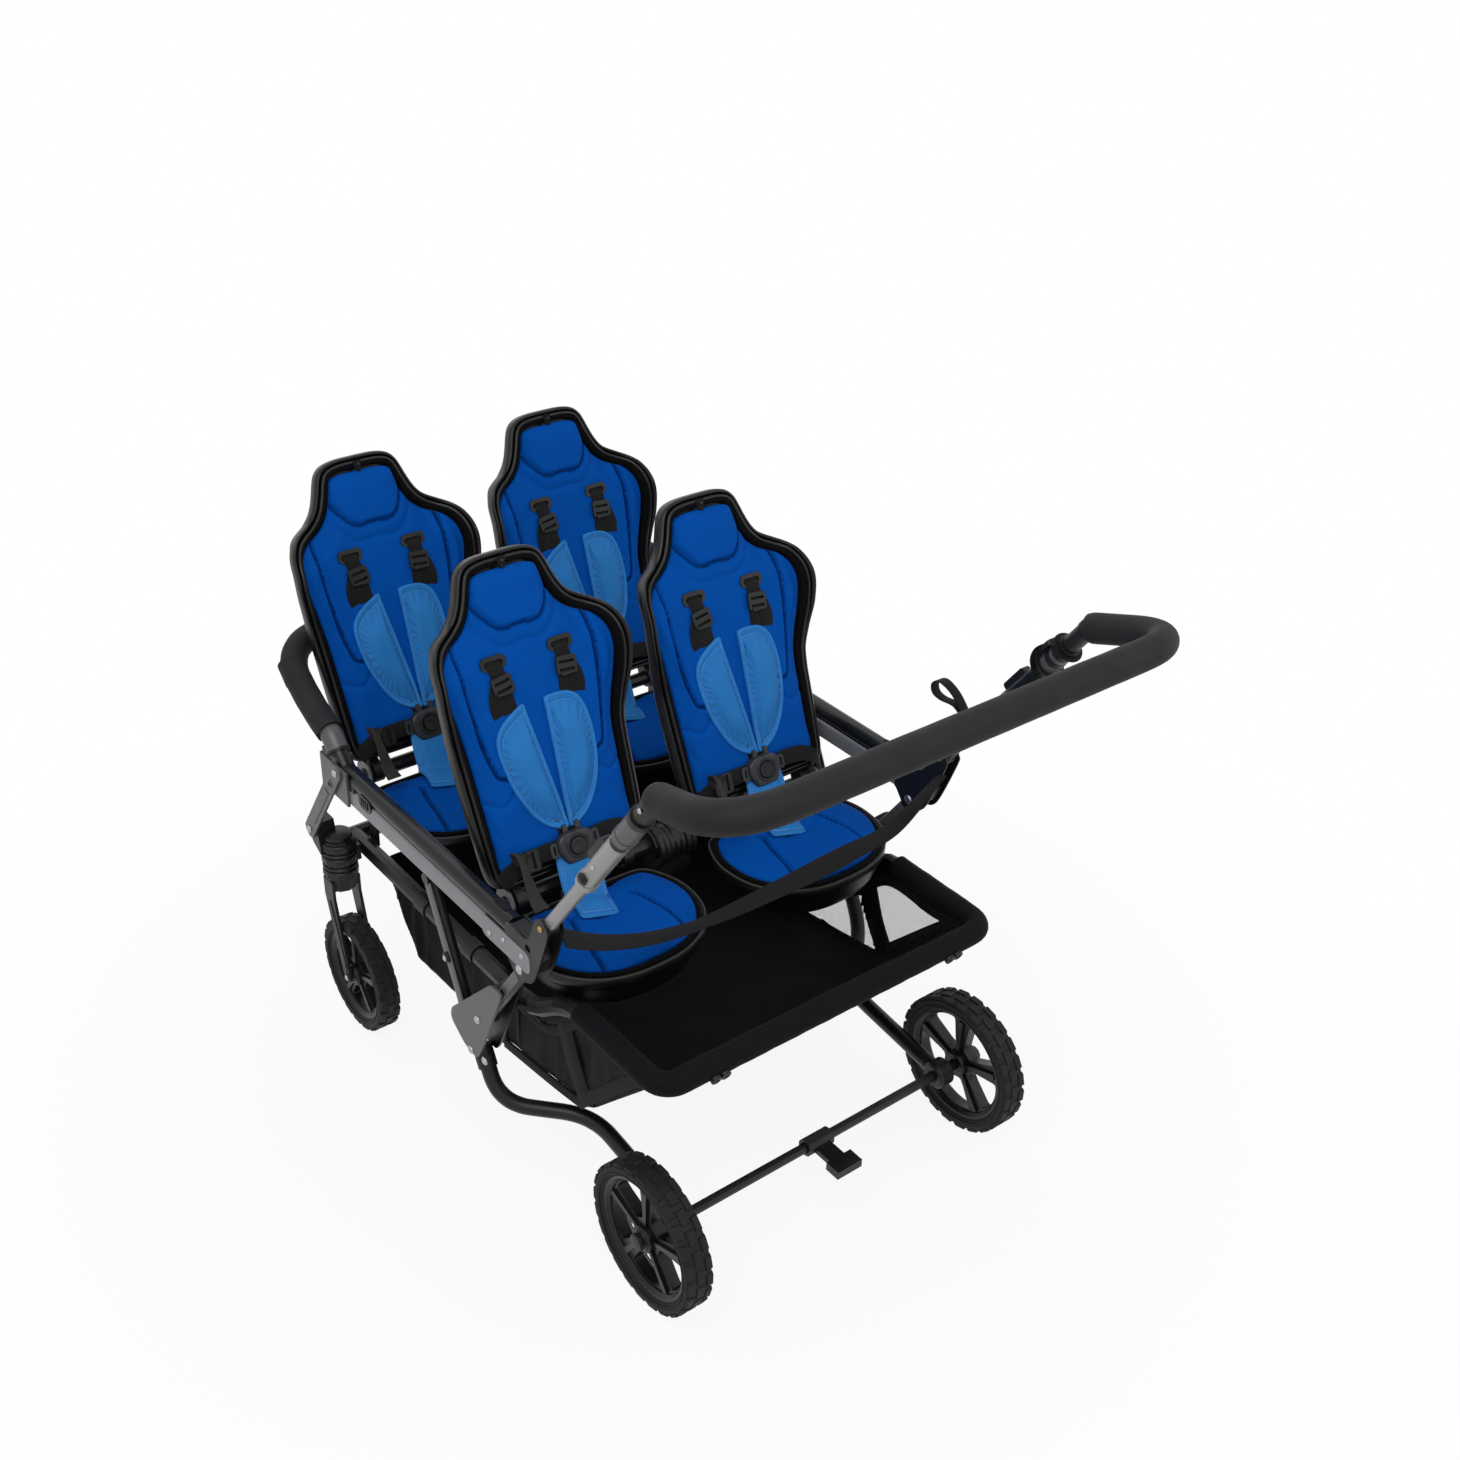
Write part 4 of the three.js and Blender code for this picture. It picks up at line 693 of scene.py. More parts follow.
def webbing(name, source):
    """Polypropylene webbing, read from the ribbon's own map in millimetres: ribs along it and close picks across."""
    rgb = paint(source)
    material, tree, shader, _ = start_finish(name, {"Sheen Weight": 0.03, "Specular IOR Level": 0.15})
    cloth_map = add(tree, "ShaderNodeUVMap", {"uv_map": "cloth"}).outputs["UV"]
    parts = add(tree, "ShaderNodeSeparateXYZ", None, {"Vector": cloth_map}).outputs
    # Picks are 1.6 mm apart and the warp ribs 3.1 mm, each a little coarser than on real webbing.
    waves = []
    for axis, pitch in (("X", 1.6), ("Y", 3.1)):
        turns = add(tree, "ShaderNodeMath", {"operation": "MULTIPLY"}, {0: parts[axis], 1: 2 * math.pi / pitch})
        waves.append(add(tree, "ShaderNodeMath", {"operation": "SINE"}, {0: turns.outputs[0]}).outputs[0])
    weave = add(tree, "ShaderNodeMath", {"operation": "MULTIPLY_ADD"}, {0: waves[0], 1: 0.6, 2: waves[1]}).outputs[0]
    level = add(tree, "ShaderNodeMapRange", None, {"Value": weave, "From Min": -1.6, "From Max": 1.6}).outputs["Result"]
    dress_shader(tree, shader, level, (tone(rgb, 0.75), tone(rgb, 1.3)), level, (0.78, 0.62), level, 0.3, 0.7)
    return material


def wave_scale(pitch_mm):
    """Scale of a wave texture, which repeats over two pi divided by twenty times its scale."""
    return 2 * math.pi / (20 * pitch_mm * MM)


def mesh_finish():
    """Polyester mesh: threads on a real pitch of 1.5 mm, drawn at 3 mm, and open between them."""
    material, tree, shader, place = start_finish("Polyester window mesh", {"Roughness": 0.6, "Specular IOR Level": 0.2})
    shader.inputs["Base Color"].default_value = linear("#2A2B2D") + (1.0,)
    waves = []
    for bands in ("Y", "Z"):
        inputs = {"Vector": place, "Scale": wave_scale(3.0), "Distortion": 0.0}
        wave = add(tree, "ShaderNodeTexWave", {"bands_direction": bands}, inputs).outputs["Fac"]
        waves.append(add(tree, "ShaderNodeMath", {"operation": "GREATER_THAN"}, {0: wave, 1: 0.95}).outputs[0])
    thread = add(tree, "ShaderNodeMath", {"operation": "MAXIMUM"}, {0: waves[0], 1: waves[1]}).outputs[0]
    clear = add(tree, "ShaderNodeBsdfTransparent", None, {"Color": WHITE}).outputs["BSDF"]
    mixed = add(tree, "ShaderNodeMixShader", None, {0: thread, 1: clear, 2: shader.outputs["BSDF"]})
    show(tree, mixed.outputs["Shader"])
    return material


def floor_finish():
    """Pale paper floor. Away from the object it turns to the plain white that a camera or a reflection sees."""
    material, tree, shader, place = start_finish("Pale paper floor", {"Roughness": 0.9, "Specular IOR Level": 0.1})
    shader.inputs["Base Color"].default_value = linear("#F1F1F1") + (1.0,)
    reach = add(tree, "ShaderNodeVectorMath", {"operation": "LENGTH"}, {0: place}).outputs["Value"]
    far = add(
        tree,
        "ShaderNodeMapRange",
        {"interpolation_type": "SMOOTHSTEP"},
        {"Value": reach, "From Min": 0.5, "From Max": 1.5, "To Min": 0.9, "To Max": 1.0},
    ).outputs["Result"]
    share = add(tree, "ShaderNodeMath", {"operation": "MULTIPLY"}, {0: seen_directly(tree), 1: far}).outputs[0]
    glow = add(tree, "ShaderNodeEmission", None, {"Color": WHITE, "Strength": 1.0}).outputs["Emission"]
    show(tree, add(tree, "ShaderNodeMixShader", None, {0: share, 1: shader.outputs["BSDF"], 2: glow}).outputs["Shader"])
    return material


def paint(source, factor=1.0):
    """A colour as linear red, green and blue, from its hex value or from the name of its setting."""
    rgb = linear(source) if source.startswith("#") else getattr(bpy.context.scene.stroller_finish, source)
    return tuple(part * factor for part in rgb)


METAL, POLYPROPYLENE, ACETAL = {"Metallic": 1.0}, {"IOR": 1.49}, {"IOR": 1.48}

# Each finish starts from what the real surface is, and says what that gives the eye. After its name and colour, a
# plain finish has the drift and contrast of its tone, its roughness, and the grain and depth of its relief, and a
# woven one has its thread, sheen, roughness and depth. Lengths are millimetres.
FINISHES = {
    # Powder-coated tube: near black, satin, with long soft highlights and a faint orange peel.
    "tube_black": (plain_finish, "Powder-coated tube", "frame_black", 40, 0.11, 0.36, 1.6, 0.05),
    # Painted steel plate: mid grey with a faint metal fleck, satin.
    "plate_grey": (plain_finish, "Painted steel plate", "frame_grey", 25, 0.1, 0.4, 1.4, 0.05, {"Metallic": 0.35}),
    # The rail's flat band, in a paler matt anodising.
    "band_grey": (plain_finish, "Matt anodised band", "#808285", 60, 0.08, 0.42, 1.2, 0.04, {"Metallic": 0.35}),
    # Anodised aluminium: a warm grey that takes a broad soft highlight.
    "arm_grey": (plain_finish, "Anodised aluminium", "arm_grey", 60, 0.08, 0.38, 1.1, 0.04, {"Metallic": 0.45}),
    # Round rail tube in darker anodising, glossier than the plates on it.
    "rail_dark": (plain_finish, "Dark anodised rail", "#141517", 70, 0.1, 0.29, 1.2, 0.04, {"Metallic": 0.1}),
    # Polypropylene seat shell: satin black whose edges catch a grey light, with a spark-eroded grain drawn coarse.
    "shell": (plain_finish, "Moulded polypropylene", "shell_black", 60, 0.13, 0.34, 0.9, 0.08, POLYPROPYLENE),
    # Glass-filled nylon hardware: duller and a little greyer.
    "hardware": (plain_finish, "Moulded nylon", "#121213", 50, 0.12, 0.44, 0.8, 0.08, {"IOR": 1.53}),
    # Acetal ladder locks and buckles: smooth dark grey with sharp moulded edges.
    "ladder": (plain_finish, "Moulded acetal", "#17181A", 30, 0.1, 0.42, 0.7, 0.05, ACETAL),
    "buckle": (plain_finish, "Moulded acetal buckle", "#303135", 30, 0.1, 0.38, 0.7, 0.05, ACETAL),
    # Push buttons and slot frames: the same acetal, darker and shinier.
    "button": (plain_finish, "Moulded button", "#141517", 30, 0.1, 0.32, 0.7, 0.05, ACETAL),
    # Wheel rim: satin black that catches a thin highlight on each spoke.
    "rim": (plain_finish, "Moulded wheel rim", "#101011", 50, 0.13, 0.34, 0.8, 0.07, POLYPROPYLENE),
    # Closed-cell EVA foam: matt, faintly pitted, with paler rubbed patches.
    "foam": (plain_finish, "EVA foam grip", "#131416", 45, 0.2, 0.7, 1.6, 0.12, None, True),
    # Foamed PU tyre: dull dark rubber with dust in patches.
    "tyre": (plain_finish, "Foamed rubber tyre", "#141415", 16, 0.3, 0.7, 1.2, 0.12),
    # Brushed polyester knit over foam: royal blue, matt, with a soft sheen. Its 0.6 mm stitches are drawn at 2.2 mm.
    "pad_blue": (woven, "Knitted polyester cover", "pad_blue", 2.2, 0.012, 0.75, 0.14, 0.1),
    # Painted shade: the same cover at half brightness where a seam draws it in, standing for the shade that the folded
    # cloth casts on itself.
    "pad_seam": (woven, "Knitted cover in a seam", "pad_blue", 2.2, 0.0, 0.85, 0.14, 0.1, 0.5),
    # Coated polyester cloth: lighter blue, tighter and a little glossy, with a slightly brighter binding.
    "pad_light": (woven, "Coated polyester cloth", "pad_light", 1.6, 0.03, 0.5, 0.08, 0.07),
    "pad_edge": (woven, "Light blue binding", "pad_light", 1.4, 0.08, 0.6, 0.1, 0.14, 1.12),
    # Grosgrain binding and vinyl piping round the pads: the piping takes a thin highlight, the binding none.
    "binding": (woven, "Black grosgrain binding", "#0A0A0B", 1.4, 0.02, 0.7, 0.12, 0.2),
    "piping": (plain_finish, "Vinyl piping", "#151514", 30, 0.1, 0.42, 0.6, 0.04),
    "piping_grey": (plain_finish, "Grey vinyl piping", "#3C3B39", 30, 0.1, 0.45, 0.6, 0.04),
    # Polypropylene webbing: dull black, or a warm dark grey, ribbed along its run.
    "web_black": (webbing, "Black webbing", "#0F0F10"),
    "web_grey": (webbing, "Grey webbing", "#33302D"),
    # Oxford polyester with a coated back: black, dull, with a coarse plain weave drawn at 2 mm.
    "tub": (woven, "Oxford polyester", "tub_black", 2.0, 0.02, 0.66, 0.12, 0.22),
    "mesh": (mesh_finish,),
    # Zinc and brass plating: bright, with a brushed haze.
    "zinc": (plain_finish, "Zinc-plated rivet", "#A9ABAE", 3, 0.12, 0.32, 0.5, 0.02, METAL),
    "brass": (plain_finish, "Brass-plated rivet", "#B08A4E", 3, 0.12, 0.34, 0.5, 0.02, METAL),
    # Twisted polyester thread, paler than the cloth that it sews.
    "thread": (plain_finish, "Light blue thread", "#74B0E6", 5, 0.1, 0.6, 0.5, 0.03),
    # Painted shadow: a near-black, matt sheet that gives no highlight, set deep in slots, holes and a notch where there
    # is only shade.
    "dark": (plain_finish, "Shadowed hollow", "#060607", 20, 0.1, 0.9, 0.9, 0.03),
    "floor": (floor_finish,),
}
made_finishes = {}


def finish(name):
    """The material of a finish, made the first time that it is asked for."""
    if name not in made_finishes:
        kind, *values = FINISHES[name]
        made_finishes[name] = kind(*values)
    return made_finishes[name]


# Geometry Nodes: what repeats or follows a path.


def new_tree(name, inputs):
    """A geometry tree with named inputs. Returns the tree, its input sockets by name and its output node."""
    tree = bpy.data.node_groups.new(name, "GeometryNodeTree")
    tree.interface.new_socket("Geometry", in_out="INPUT", socket_type="NodeSocketGeometry")
    tree.interface.new_socket("Geometry", in_out="OUTPUT", socket_type="NodeSocketGeometry")
    for label, kind, default in inputs:
        socket = tree.interface.new_socket(label, in_out="INPUT", socket_type=kind)
        if default is not None:
            socket.default_value = default
    given = add(tree, "NodeGroupInput").outputs
    result = add(tree, "NodeGroupOutput")
    return tree, given, result


def close_tree(tree, geometry, material_socket, result, smooth=True):
    """Realizes the instances and gives them their finish."""
    real = add(tree, "GeometryNodeRealizeInstances", None, {"Geometry": geometry}).outputs["Geometry"]
    shaded = add(tree, "GeometryNodeSetShadeSmooth", None, {"Geometry": real, "Shade Smooth": smooth})
    dressed = add(
        tree, "GeometryNodeSetMaterial", None, {"Geometry": shaded.outputs["Geometry"], "Material": material_socket}
    )
    tree.links.new(dressed.outputs["Geometry"], result.inputs["Geometry"])
    return tree


def heads_tree():
    """Domed heads on points, each turned to the point's own facing and sized by its own size."""
    inputs = [("Dome", "NodeSocketFloat", 0.5), ("Finish", "NodeSocketMaterial", None)]
    tree, given, result = new_tree("Rivet heads", inputs)
    ball = add(tree, "GeometryNodeMeshUVSphere", None, {"Segments": 16, "Rings": 10, "Radius": 1.0}).outputs["Mesh"]
    size = add(tree, "ShaderNodeCombineXYZ", None, {"X": 1.0, "Y": 1.0, "Z": given["Dome"]}).outputs["Vector"]
    dome = add(tree, "GeometryNodeTransform", None, {"Geometry": ball, "Scale": size}).outputs["Geometry"]
    facing, radius = (
        add(tree, "GeometryNodeInputNamedAttribute", {"data_type": kind}, {"Name": name}).outputs["Attribute"]
        for kind, name in (("FLOAT_VECTOR", "facing"), ("FLOAT", "radius"))
    )
    turn = add(tree, "FunctionNodeAlignRotationToVector", {"axis": "Z"}, {"Vector": facing}).outputs["Rotation"]
    inputs = {"Points": given["Geometry"], "Instance": dome, "Rotation": turn, "Scale": radius}
    heads = add(tree, "GeometryNodeInstanceOnPoints", None, inputs)
    return close_tree(tree, heads.outputs["Instances"], given["Finish"], result)


def stitches_tree():
    """Short raised stitches along the edges of a line."""
    sizes = (("Pitch", 0.004), ("Stitch", 0.0026), ("Thread", 0.0005))
    inputs = [(label, "NodeSocketFloat", size) for label, size in sizes]
    tree, given, result = new_tree("Stitches", inputs + [("Finish", "NodeSocketMaterial", None)])
    line = add(tree, "GeometryNodeMeshToCurve", None, {"Mesh": given["Geometry"]}).outputs["Curve"]
    inputs = {"Curve": line, "Length": given["Pitch"]}
    spots = add(tree, "GeometryNodeCurveToPoints", {"mode": "LENGTH"}, inputs).outputs
    half = add(tree, "ShaderNodeMath", {"operation": "MULTIPLY"}, {0: given["Stitch"], 1: 0.5}).outputs[0]
    size = add(tree, "ShaderNodeCombineXYZ", None, {"X": given["Thread"], "Y": given["Thread"], "Z": half})
    ball = add(tree, "GeometryNodeMeshUVSphere", None, {"Segments": 6, "Rings": 4, "Radius": 1.0}).outputs["Mesh"]
    stitch = add(tree, "GeometryNodeTransform", None, {"Geometry": ball, "Scale": size.outputs["Vector"]})
    turn = add(tree, "FunctionNodeAlignRotationToVector", {"axis": "Z"}, {"Vector": spots["Tangent"]})
    inputs = {"Points": spots["Points"], "Instance": stitch.outputs["Geometry"], "Rotation": turn.outputs["Rotation"]}
    placed = add(tree, "GeometryNodeInstanceOnPoints", None, inputs)
    return close_tree(tree, placed.outputs["Instances"], given["Finish"], result)


# Rows of tread blocks: place across the wheel, width, and length along the tread, as shares of the wheel's width and
# of the pitch, and how many half steps the row is turned on.
TREAD_ROWS = ((0.0, 0.34, 0.8, 0.5), (-0.34, 0.27, 0.78, 0.0), (0.34, 0.27, 0.78, 0.0))


def tread_tree():
    """Tapered tread blocks in three rows round a wheel that turns about X, the middle row half a step on."""
    sizes = (("Radius", 0.112), ("Width", 0.04), ("Depth", 0.0035))
    inputs = [(label, "NodeSocketFloat", size) for label, size in sizes]
    inputs += [("Blocks", "NodeSocketInt", 30), ("Finish", "NodeSocketMaterial", None)]
    tree, given, result = new_tree("Tread blocks", inputs)
    run = add(tree, "ShaderNodeMath", {"operation": "MULTIPLY"}, {0: given["Radius"], 1: 2 * math.pi}).outputs[0]
    pitch = add(tree, "ShaderNodeMath", {"operation": "DIVIDE"}, {0: run, 1: given["Blocks"]}).outputs[0]
    rows = []
    for offset, wide, long_share, half_step in TREAD_ROWS:
        inputs = {"Vertices": given["Blocks"], "Radius": given["Radius"]}
        spots = add(tree, "GeometryNodeMeshCircle", None, inputs).outputs["Mesh"]
        step = add(tree, "ShaderNodeMath", {"operation": "DIVIDE"}, {0: 2 * math.pi * half_step, 1: given["Blocks"]})
        turn = add(tree, "ShaderNodeCombineXYZ", None, {"X": step.outputs[0]}).outputs["Vector"]
        for rotation in ((0.0, math.pi / 2, 0.0), turn):
            spots = add(tree, "GeometryNodeTransform", None, {"Geometry": spots, "Rotation": rotation}).outputs[0]
        sizes = []
        factors = ((given["Width"], wide), (pitch, long_share), (given["Depth"], 2.0), (given["Width"], offset))
        for socket, factor in factors:
            sizes.append(add(tree, "ShaderNodeMath", {"operation": "MULTIPLY"}, {0: socket, 1: factor}).outputs[0])
        size = add(tree, "ShaderNodeCombineXYZ", None, dict(zip("XYZ", sizes[:3]))).outputs["Vector"]
        move = add(tree, "ShaderNodeCombineXYZ", None, {"X": sizes[3]}).outputs["Vector"]
        block = add(tree, "GeometryNodeMeshCube", None, {"Size": size}).outputs["Mesh"]
        normal = add(tree, "GeometryNodeInputNormal").outputs["Normal"]
        height = add(tree, "ShaderNodeSeparateXYZ", None, {"Vector": normal}).outputs["Z"]
        top = add(tree, "FunctionNodeCompare", {"operation": "GREATER_THAN"}, {"A": height, "B": 0.5}).outputs["Result"]
        taper = add(tree, "GeometryNodeScaleElements", None, {"Geometry": block, "Selection": top, "Scale": 0.8})
        outward = add(tree, "GeometryNodeInputPosition").outputs["Position"]
        settings = {"axis": "Z", "pivot_axis": "X"}
        facing = add(tree, "FunctionNodeAlignRotationToVector", settings, {"Vector": outward}).outputs["Rotation"]
        inputs = {"Points": spots, "Instance": taper.outputs["Geometry"], "Rotation": facing}
        placed = add(tree, "GeometryNodeInstanceOnPoints", None, inputs).outputs["Instances"]
        rows.append(add(tree, "GeometryNodeTransform", None, {"Geometry": placed, "Translation": move}).outputs[0])
    joined = add(tree, "GeometryNodeJoinGeometry")
    for row in rows:
        tree.links.new(row, joined.inputs["Geometry"])
    return close_tree(tree, joined.outputs["Geometry"], given["Finish"], result, smooth=False)


TREES = {"heads": heads_tree, "stitches": stitches_tree, "tread": tread_tree}
made_trees = {}


def grown(data, tree_name, inputs):
    """Runs a tree on a mesh and returns the result as a plain mesh."""
    if tree_name not in made_trees:
        made_trees[tree_name] = TREES[tree_name]()
    tree = made_trees[tree_name]
    holder = bpy.data.objects.new("holder", data)
    bpy.context.scene.collection.objects.link(holder)
    modifier = holder.modifiers.new("Grown", "NODES")
    modifier.node_group = tree
    for item in tree.interface.items_tree:
        if item.in_out == "INPUT" and item.name in inputs:
            modifier[item.identifier] = inputs[item.name]
    bpy.context.view_layer.update()
    graph = bpy.context.evaluated_depsgraph_get()
    result = bpy.data.meshes.new_from_object(holder.evaluated_get(graph))
    holder.modifiers.remove(modifier)
    bpy.data.objects.remove(holder)
    return result


def place_mesh(name, data, body=None):
    """Links a finished mesh as a piece, which rides on a body where one is given."""
    piece = bpy.data.objects.new(name, data)
    bpy.context.scene.collection.objects.link(piece)
    if body:
        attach(piece, body)
    return piece


def rivets(name, body, spots, finish_name="zinc", radius=None, dome=0.5):
    """Rivet or screw heads at (x, y, z) spots, each with the direction that it faces."""
    radius = radius or bpy.context.scene.stroller_frame.rivet
    data = bpy.data.meshes.new(name)
    data.from_pydata(to_frame([spot for spot, _ in spots]).tolist(), [], [])
    facing = data.attributes.new("facing", "FLOAT_VECTOR", "POINT")
    facing.data.foreach_set("vector", np.array([unit(way) for _, way in spots]).ravel())
    sizes = data.attributes.new("radius", "FLOAT", "POINT")
    sizes.data.foreach_set("value", [radius] * len(spots))
    return place_mesh(name, grown(data, "heads", {"Dome": dome, "Finish": finish(finish_name)}), body)


def stitch_mesh(lines, pitch=4.0, stitch=2.6, thread=0.5, finish_name="thread"):
    """Stitches along lines given in millimetres."""
    points, edges, count = [], [], 0
    for line in lines:
        points.append(np.asarray(line))
        edges += [(count + i, count + i + 1) for i in range(len(line) - 1)]
        count += len(line)
    data = bpy.data.meshes.new("stitch line")
    data.from_pydata(to_frame(np.concatenate(points)).tolist(), edges, [])
    sizes = {"Pitch": pitch * MM, "Stitch": stitch * MM, "Thread": thread * MM, "Finish": finish(finish_name)}
    return grown(data, "stitches", sizes)


# Seats. The outline of the back is half of a closed loop: x and height along the back, from the bottom to the top.
BACK_LINE = [
    (0, 21.5), (40, 21.7), (80, 22.2), (108, 23.5), (123, 27), (131, 36), (135, 52), (137.5, 90), (139.5, 140),
    (142, 200), (146, 230), (151.5, 258), (156, 284), (158.4, 308), (158, 332), (154.5, 354), (147, 371),
    (136, 384), (121, 394), (106, 403), (94, 414), (85.5, 428), (79, 444), (73.5, 460), (68, 472), (59, 481.5),
    (46, 487), (28, 489.6), (0, 490),
]
WING_ROWS = [(0.36, 0), (0.418, 0.05), (0.5, 0.36), (0.582, 0.78), (0.67, 1), (0.751, 0.68), (0.8, 0.2), (0.85, 0)]
BACK_HEIGHT = 490.0
WING_REACH = 46.0
WING_ROOT = 96.0
PAN_LINE = [
    (0, 0), (50, 0.2), (92, 1.2), (108, 5), (119, 14), (129, 32), (136.5, 52), (140.6, 76), (139.6, 102),
    (134, 128), (123, 150), (106, 171), (84, 188), (58, 199.5), (30, 205.5), (0, 207),
]
PAD_INSET = 18.0
PAN_PAD_INSET = 13.0


def whole_loop(half_line, spacing):
    """A closed loop from its right half, both ends of which are on the middle line."""
    right = smooth_path(half_line, spacing)
    left = right[1:-1][::-1] * (-1, 1)
    return np.concatenate([right, left])


def inset_loop(loop, distance):
    """A loop moved inward, sideways to its own run."""
    along = np.roll(loop, -1, axis=0) - np.roll(loop, 1, axis=0)
    along = along / np.linalg.norm(along, axis=1, keepdims=True)
    inward = np.stack([-along[:, 1], along[:, 0]], axis=1)
    centre = loop.mean(axis=0)
    if np.sum((centre - loop) * inward) < 0:
        inward = -inward
    return loop + inward * distance


def half_width(loop, heights):
    """The loop's half width at given heights."""
    right = loop[: len(loop) // 2 + 1]
    order = np.argsort(right[:, 1], kind="stable")
    return np.interp(heights, right[order, 1], right[order, 0])


def wing(x, along):
    """How far the back comes forward beside the shoulders."""
    x, along = np.asarray(x, dtype=float), np.asarray(along, dtype=float)
    half = half_width(BACK_LOOP, along)
    share = table(WING_ROWS, 1, along / BACK_HEIGHT)
    out = np.clip((np.abs(x) - WING_ROOT) / np.maximum(half - WING_ROOT, 12.0), 0, 1)
    return share * WING_REACH * out**1.3


BACK_LOOP = whole_loop(BACK_LINE, 3.4)
PAN_LOOP = whole_loop(PAN_LINE, 3.4)


def both_faces(way, x, reach, spot):
    """Spots for pin heads on the outer and the inner face of a piece, at a reach from its middle."""
    return [((x + edge * reach, *spot), (edge, 0, 0)) for edge in (way, -way)]


def back_ring(profile):
    """A closed rim that follows the back's outline, from (inset, depth) points of its section."""
    rings = [piping_line(inset, depth) for inset, depth in profile]
    return lofted(np.array(rings).transpose(1, 0, 2), closed=True)


def on_pan(side, row):
    """Sets a surface, given as x, distance forward of the rear edge and height, onto one pan."""
    return lambda surface: (pan_points(surface[0], side, row), surface[1])


def back_panel():
    """Floor and rear face of the shell, with two stiffening ribs and a shallow panel pressed into its rear."""
    rows = np.concatenate([[25], np.linspace(32, 478, 96), [484, 487]])
    shares = np.linspace(-1, 1, 65)
    half = half_width(inset_loop(BACK_LOOP, 3.5), rows)
    x = half[:, None] * shares[None, :]
    along = np.repeat(rows[:, None], len(shares), axis=1)
    bend = wing(x, along)
    rib = bell(np.abs(x) - 62, 8) * ease((along - 60) / 30) * ease((430 - along) / 30)
    field = ease((50 - np.abs(x)) / 5) * ease((along - 120) / 6) * ease((330 - along) / 6)
    low = bell(along - 90, 7) * ease((118 - np.abs(x)) / 16)
    rear = -8.0 - 4.5 * rib - 3.5 * low + 1.6 * field + bend
    return two_faced(np.stack([x, 3.0 + bend, along], axis=2), np.stack([x, rear, along], axis=2))


# Sections of the shell's rim and of the binding inside it, as inset from the back's outline and depth.
SHELL_RIM = [
    (13, -8.2), (9, -9.3), (5, -9.0), (2, -7.2), (0.4, -4), (0, 0), (0, 6), (0.3, 10.5), (1.5, 13.6), (3.4, 15.0),
    (5.2, 14.6), (6.4, 13.0), (7.0, 10), (7.2, 6), (8.5, 3.6), (13, 3.2),
]
BINDING_RIM = [(9.2, 4), (9.2, 11.5), (10.5, 14.2), (13.5, 15.6), (17.5, 15.4), (20.5, 12.5), (21, 4)]
# Hinge ears to either side, and the slots for the shoulder straps to either side and along the back.
EAR_X = 93.0
SLOT_X = 55.0
SLOT_ALONG = 341.0


def piping_line(inset, depth):
    """The back's outline moved inward, as x, depth and height."""
    loop = inset_loop(BACK_LOOP, inset)
    return np.stack([loop[:, 0], depth + wing(loop[:, 0], loop[:, 1]), loop[:, 1]], axis=1)


def ear_outline():
    """Ear that carries the back on its hinge tube: round below, straight up the shell's rear."""
    angles = np.radians(np.linspace(180, 360, 15))
    return [(17 * math.cos(a), 17 * math.sin(a)) for a in angles] + [(14, 10), (3, 20), (-2, 62), (-12, 62), (-17, 56)]


def build_back_shell(side, row):
    """Moulded back: rim, panel, the binding and piping that edge its pad, and its hinge ears."""
    shape = Shape(f"shell_back_{row}_{side}", on_back(side, row))
    shape.add(back_ring(SHELL_RIM), "shell")
    shape.add(back_panel(), "shell")
    shape.add(back_ring(BINDING_RIM), "binding")
    piping = bpy.context.scene.stroller_seat.piping / MM
    shape.add(tube(piping_line(11.2, 16.0), piping, 8, closed=True), "piping")
    for x in (-EAR_X, EAR_X):
        shape.add(side_plate(ear_outline(), 16.0, x, [circle(12.4, 20)]), "hardware")
        for height in (34, 52):
            shape.add(drum(4.2, -20.2, -16.5, 0.8, (x, 0, height), Y_AXIS, 14), "zinc")
    # The top notch: a small moulded catch, near black as painted shadow in the notch, with a pin.
    catch = [(-7.5, 478), (-6, 481), (6, 481), (7.5, 478), (2, 464), (-2, 464)]
    shape.add(face_plate(catch, 6, 17), "dark")
    shape.add(drum(2.6, 0, 3.4, 0.8, (0, 19.5, 475), Y_AXIS, 14), "button")
    # Frames of the two strap slots, and the webbing that joins them behind, with its ladder lock.
    for x in (-SLOT_X, SLOT_X):
        hole = rounded_box(30, 9, 4, 4) + (x, SLOT_ALONG)
        shape.add(face_plate(rounded_box(41, 20, 8, 5) + (x, SLOT_ALONG + 1), 5, 27.2, [hole]), "button")
        # Each slot is filled with a near-black sheet of painted shadow.
        shape.add(face_plate(hole, 2.5, 26.4), "dark")
        shape.add(face_plate(rounded_box(40, 18, 6, 5) + (x, SLOT_ALONG), 3, -9.6, [hole]), "hardware")
    band = [(x, -12.6 - 1.5 * math.cos(math.pi * x / 130), SLOT_ALONG) for x in np.linspace(-62, 62, 25)]
    shape.add_cloth(ribbon(band, 25, 2.0, Y_AXIS), "web_black")
    gaps = [rounded_box(6, 24, 2, 3) + (x, SLOT_ALONG) for x in (7, 21)]
    shape.add(face_plate(rounded_box(34, 30, 4, 4) + (14, SLOT_ALONG), 3.4, -16.2, gaps), "ladder")
    shape.build(f"back_{row}_{side}", "seat_shell", [f"back_shell_{row}_{side}"])


def ribbon(path, width, thickness, lean):
    """Flat webbing along a path, with its own map: millimetres along and across."""
    path = smooth_path(path, 4.0)
    if not np.isscalar(lean[0]):
        lean = smooth_path(lean, 4.0)
        lean = picked(lean, np.arange(len(lean)), np.linspace(0, len(lean) - 1, len(path)))
    outline = rounded_box(width, thickness, thickness * 0.45, 2)
    points, faces = sweep(path, outline, lean)
    cloth = np.stack([np.repeat(run_along(path), len(outline)), np.tile(outline[:, 0], len(path))], axis=1)
    return points, faces, cloth


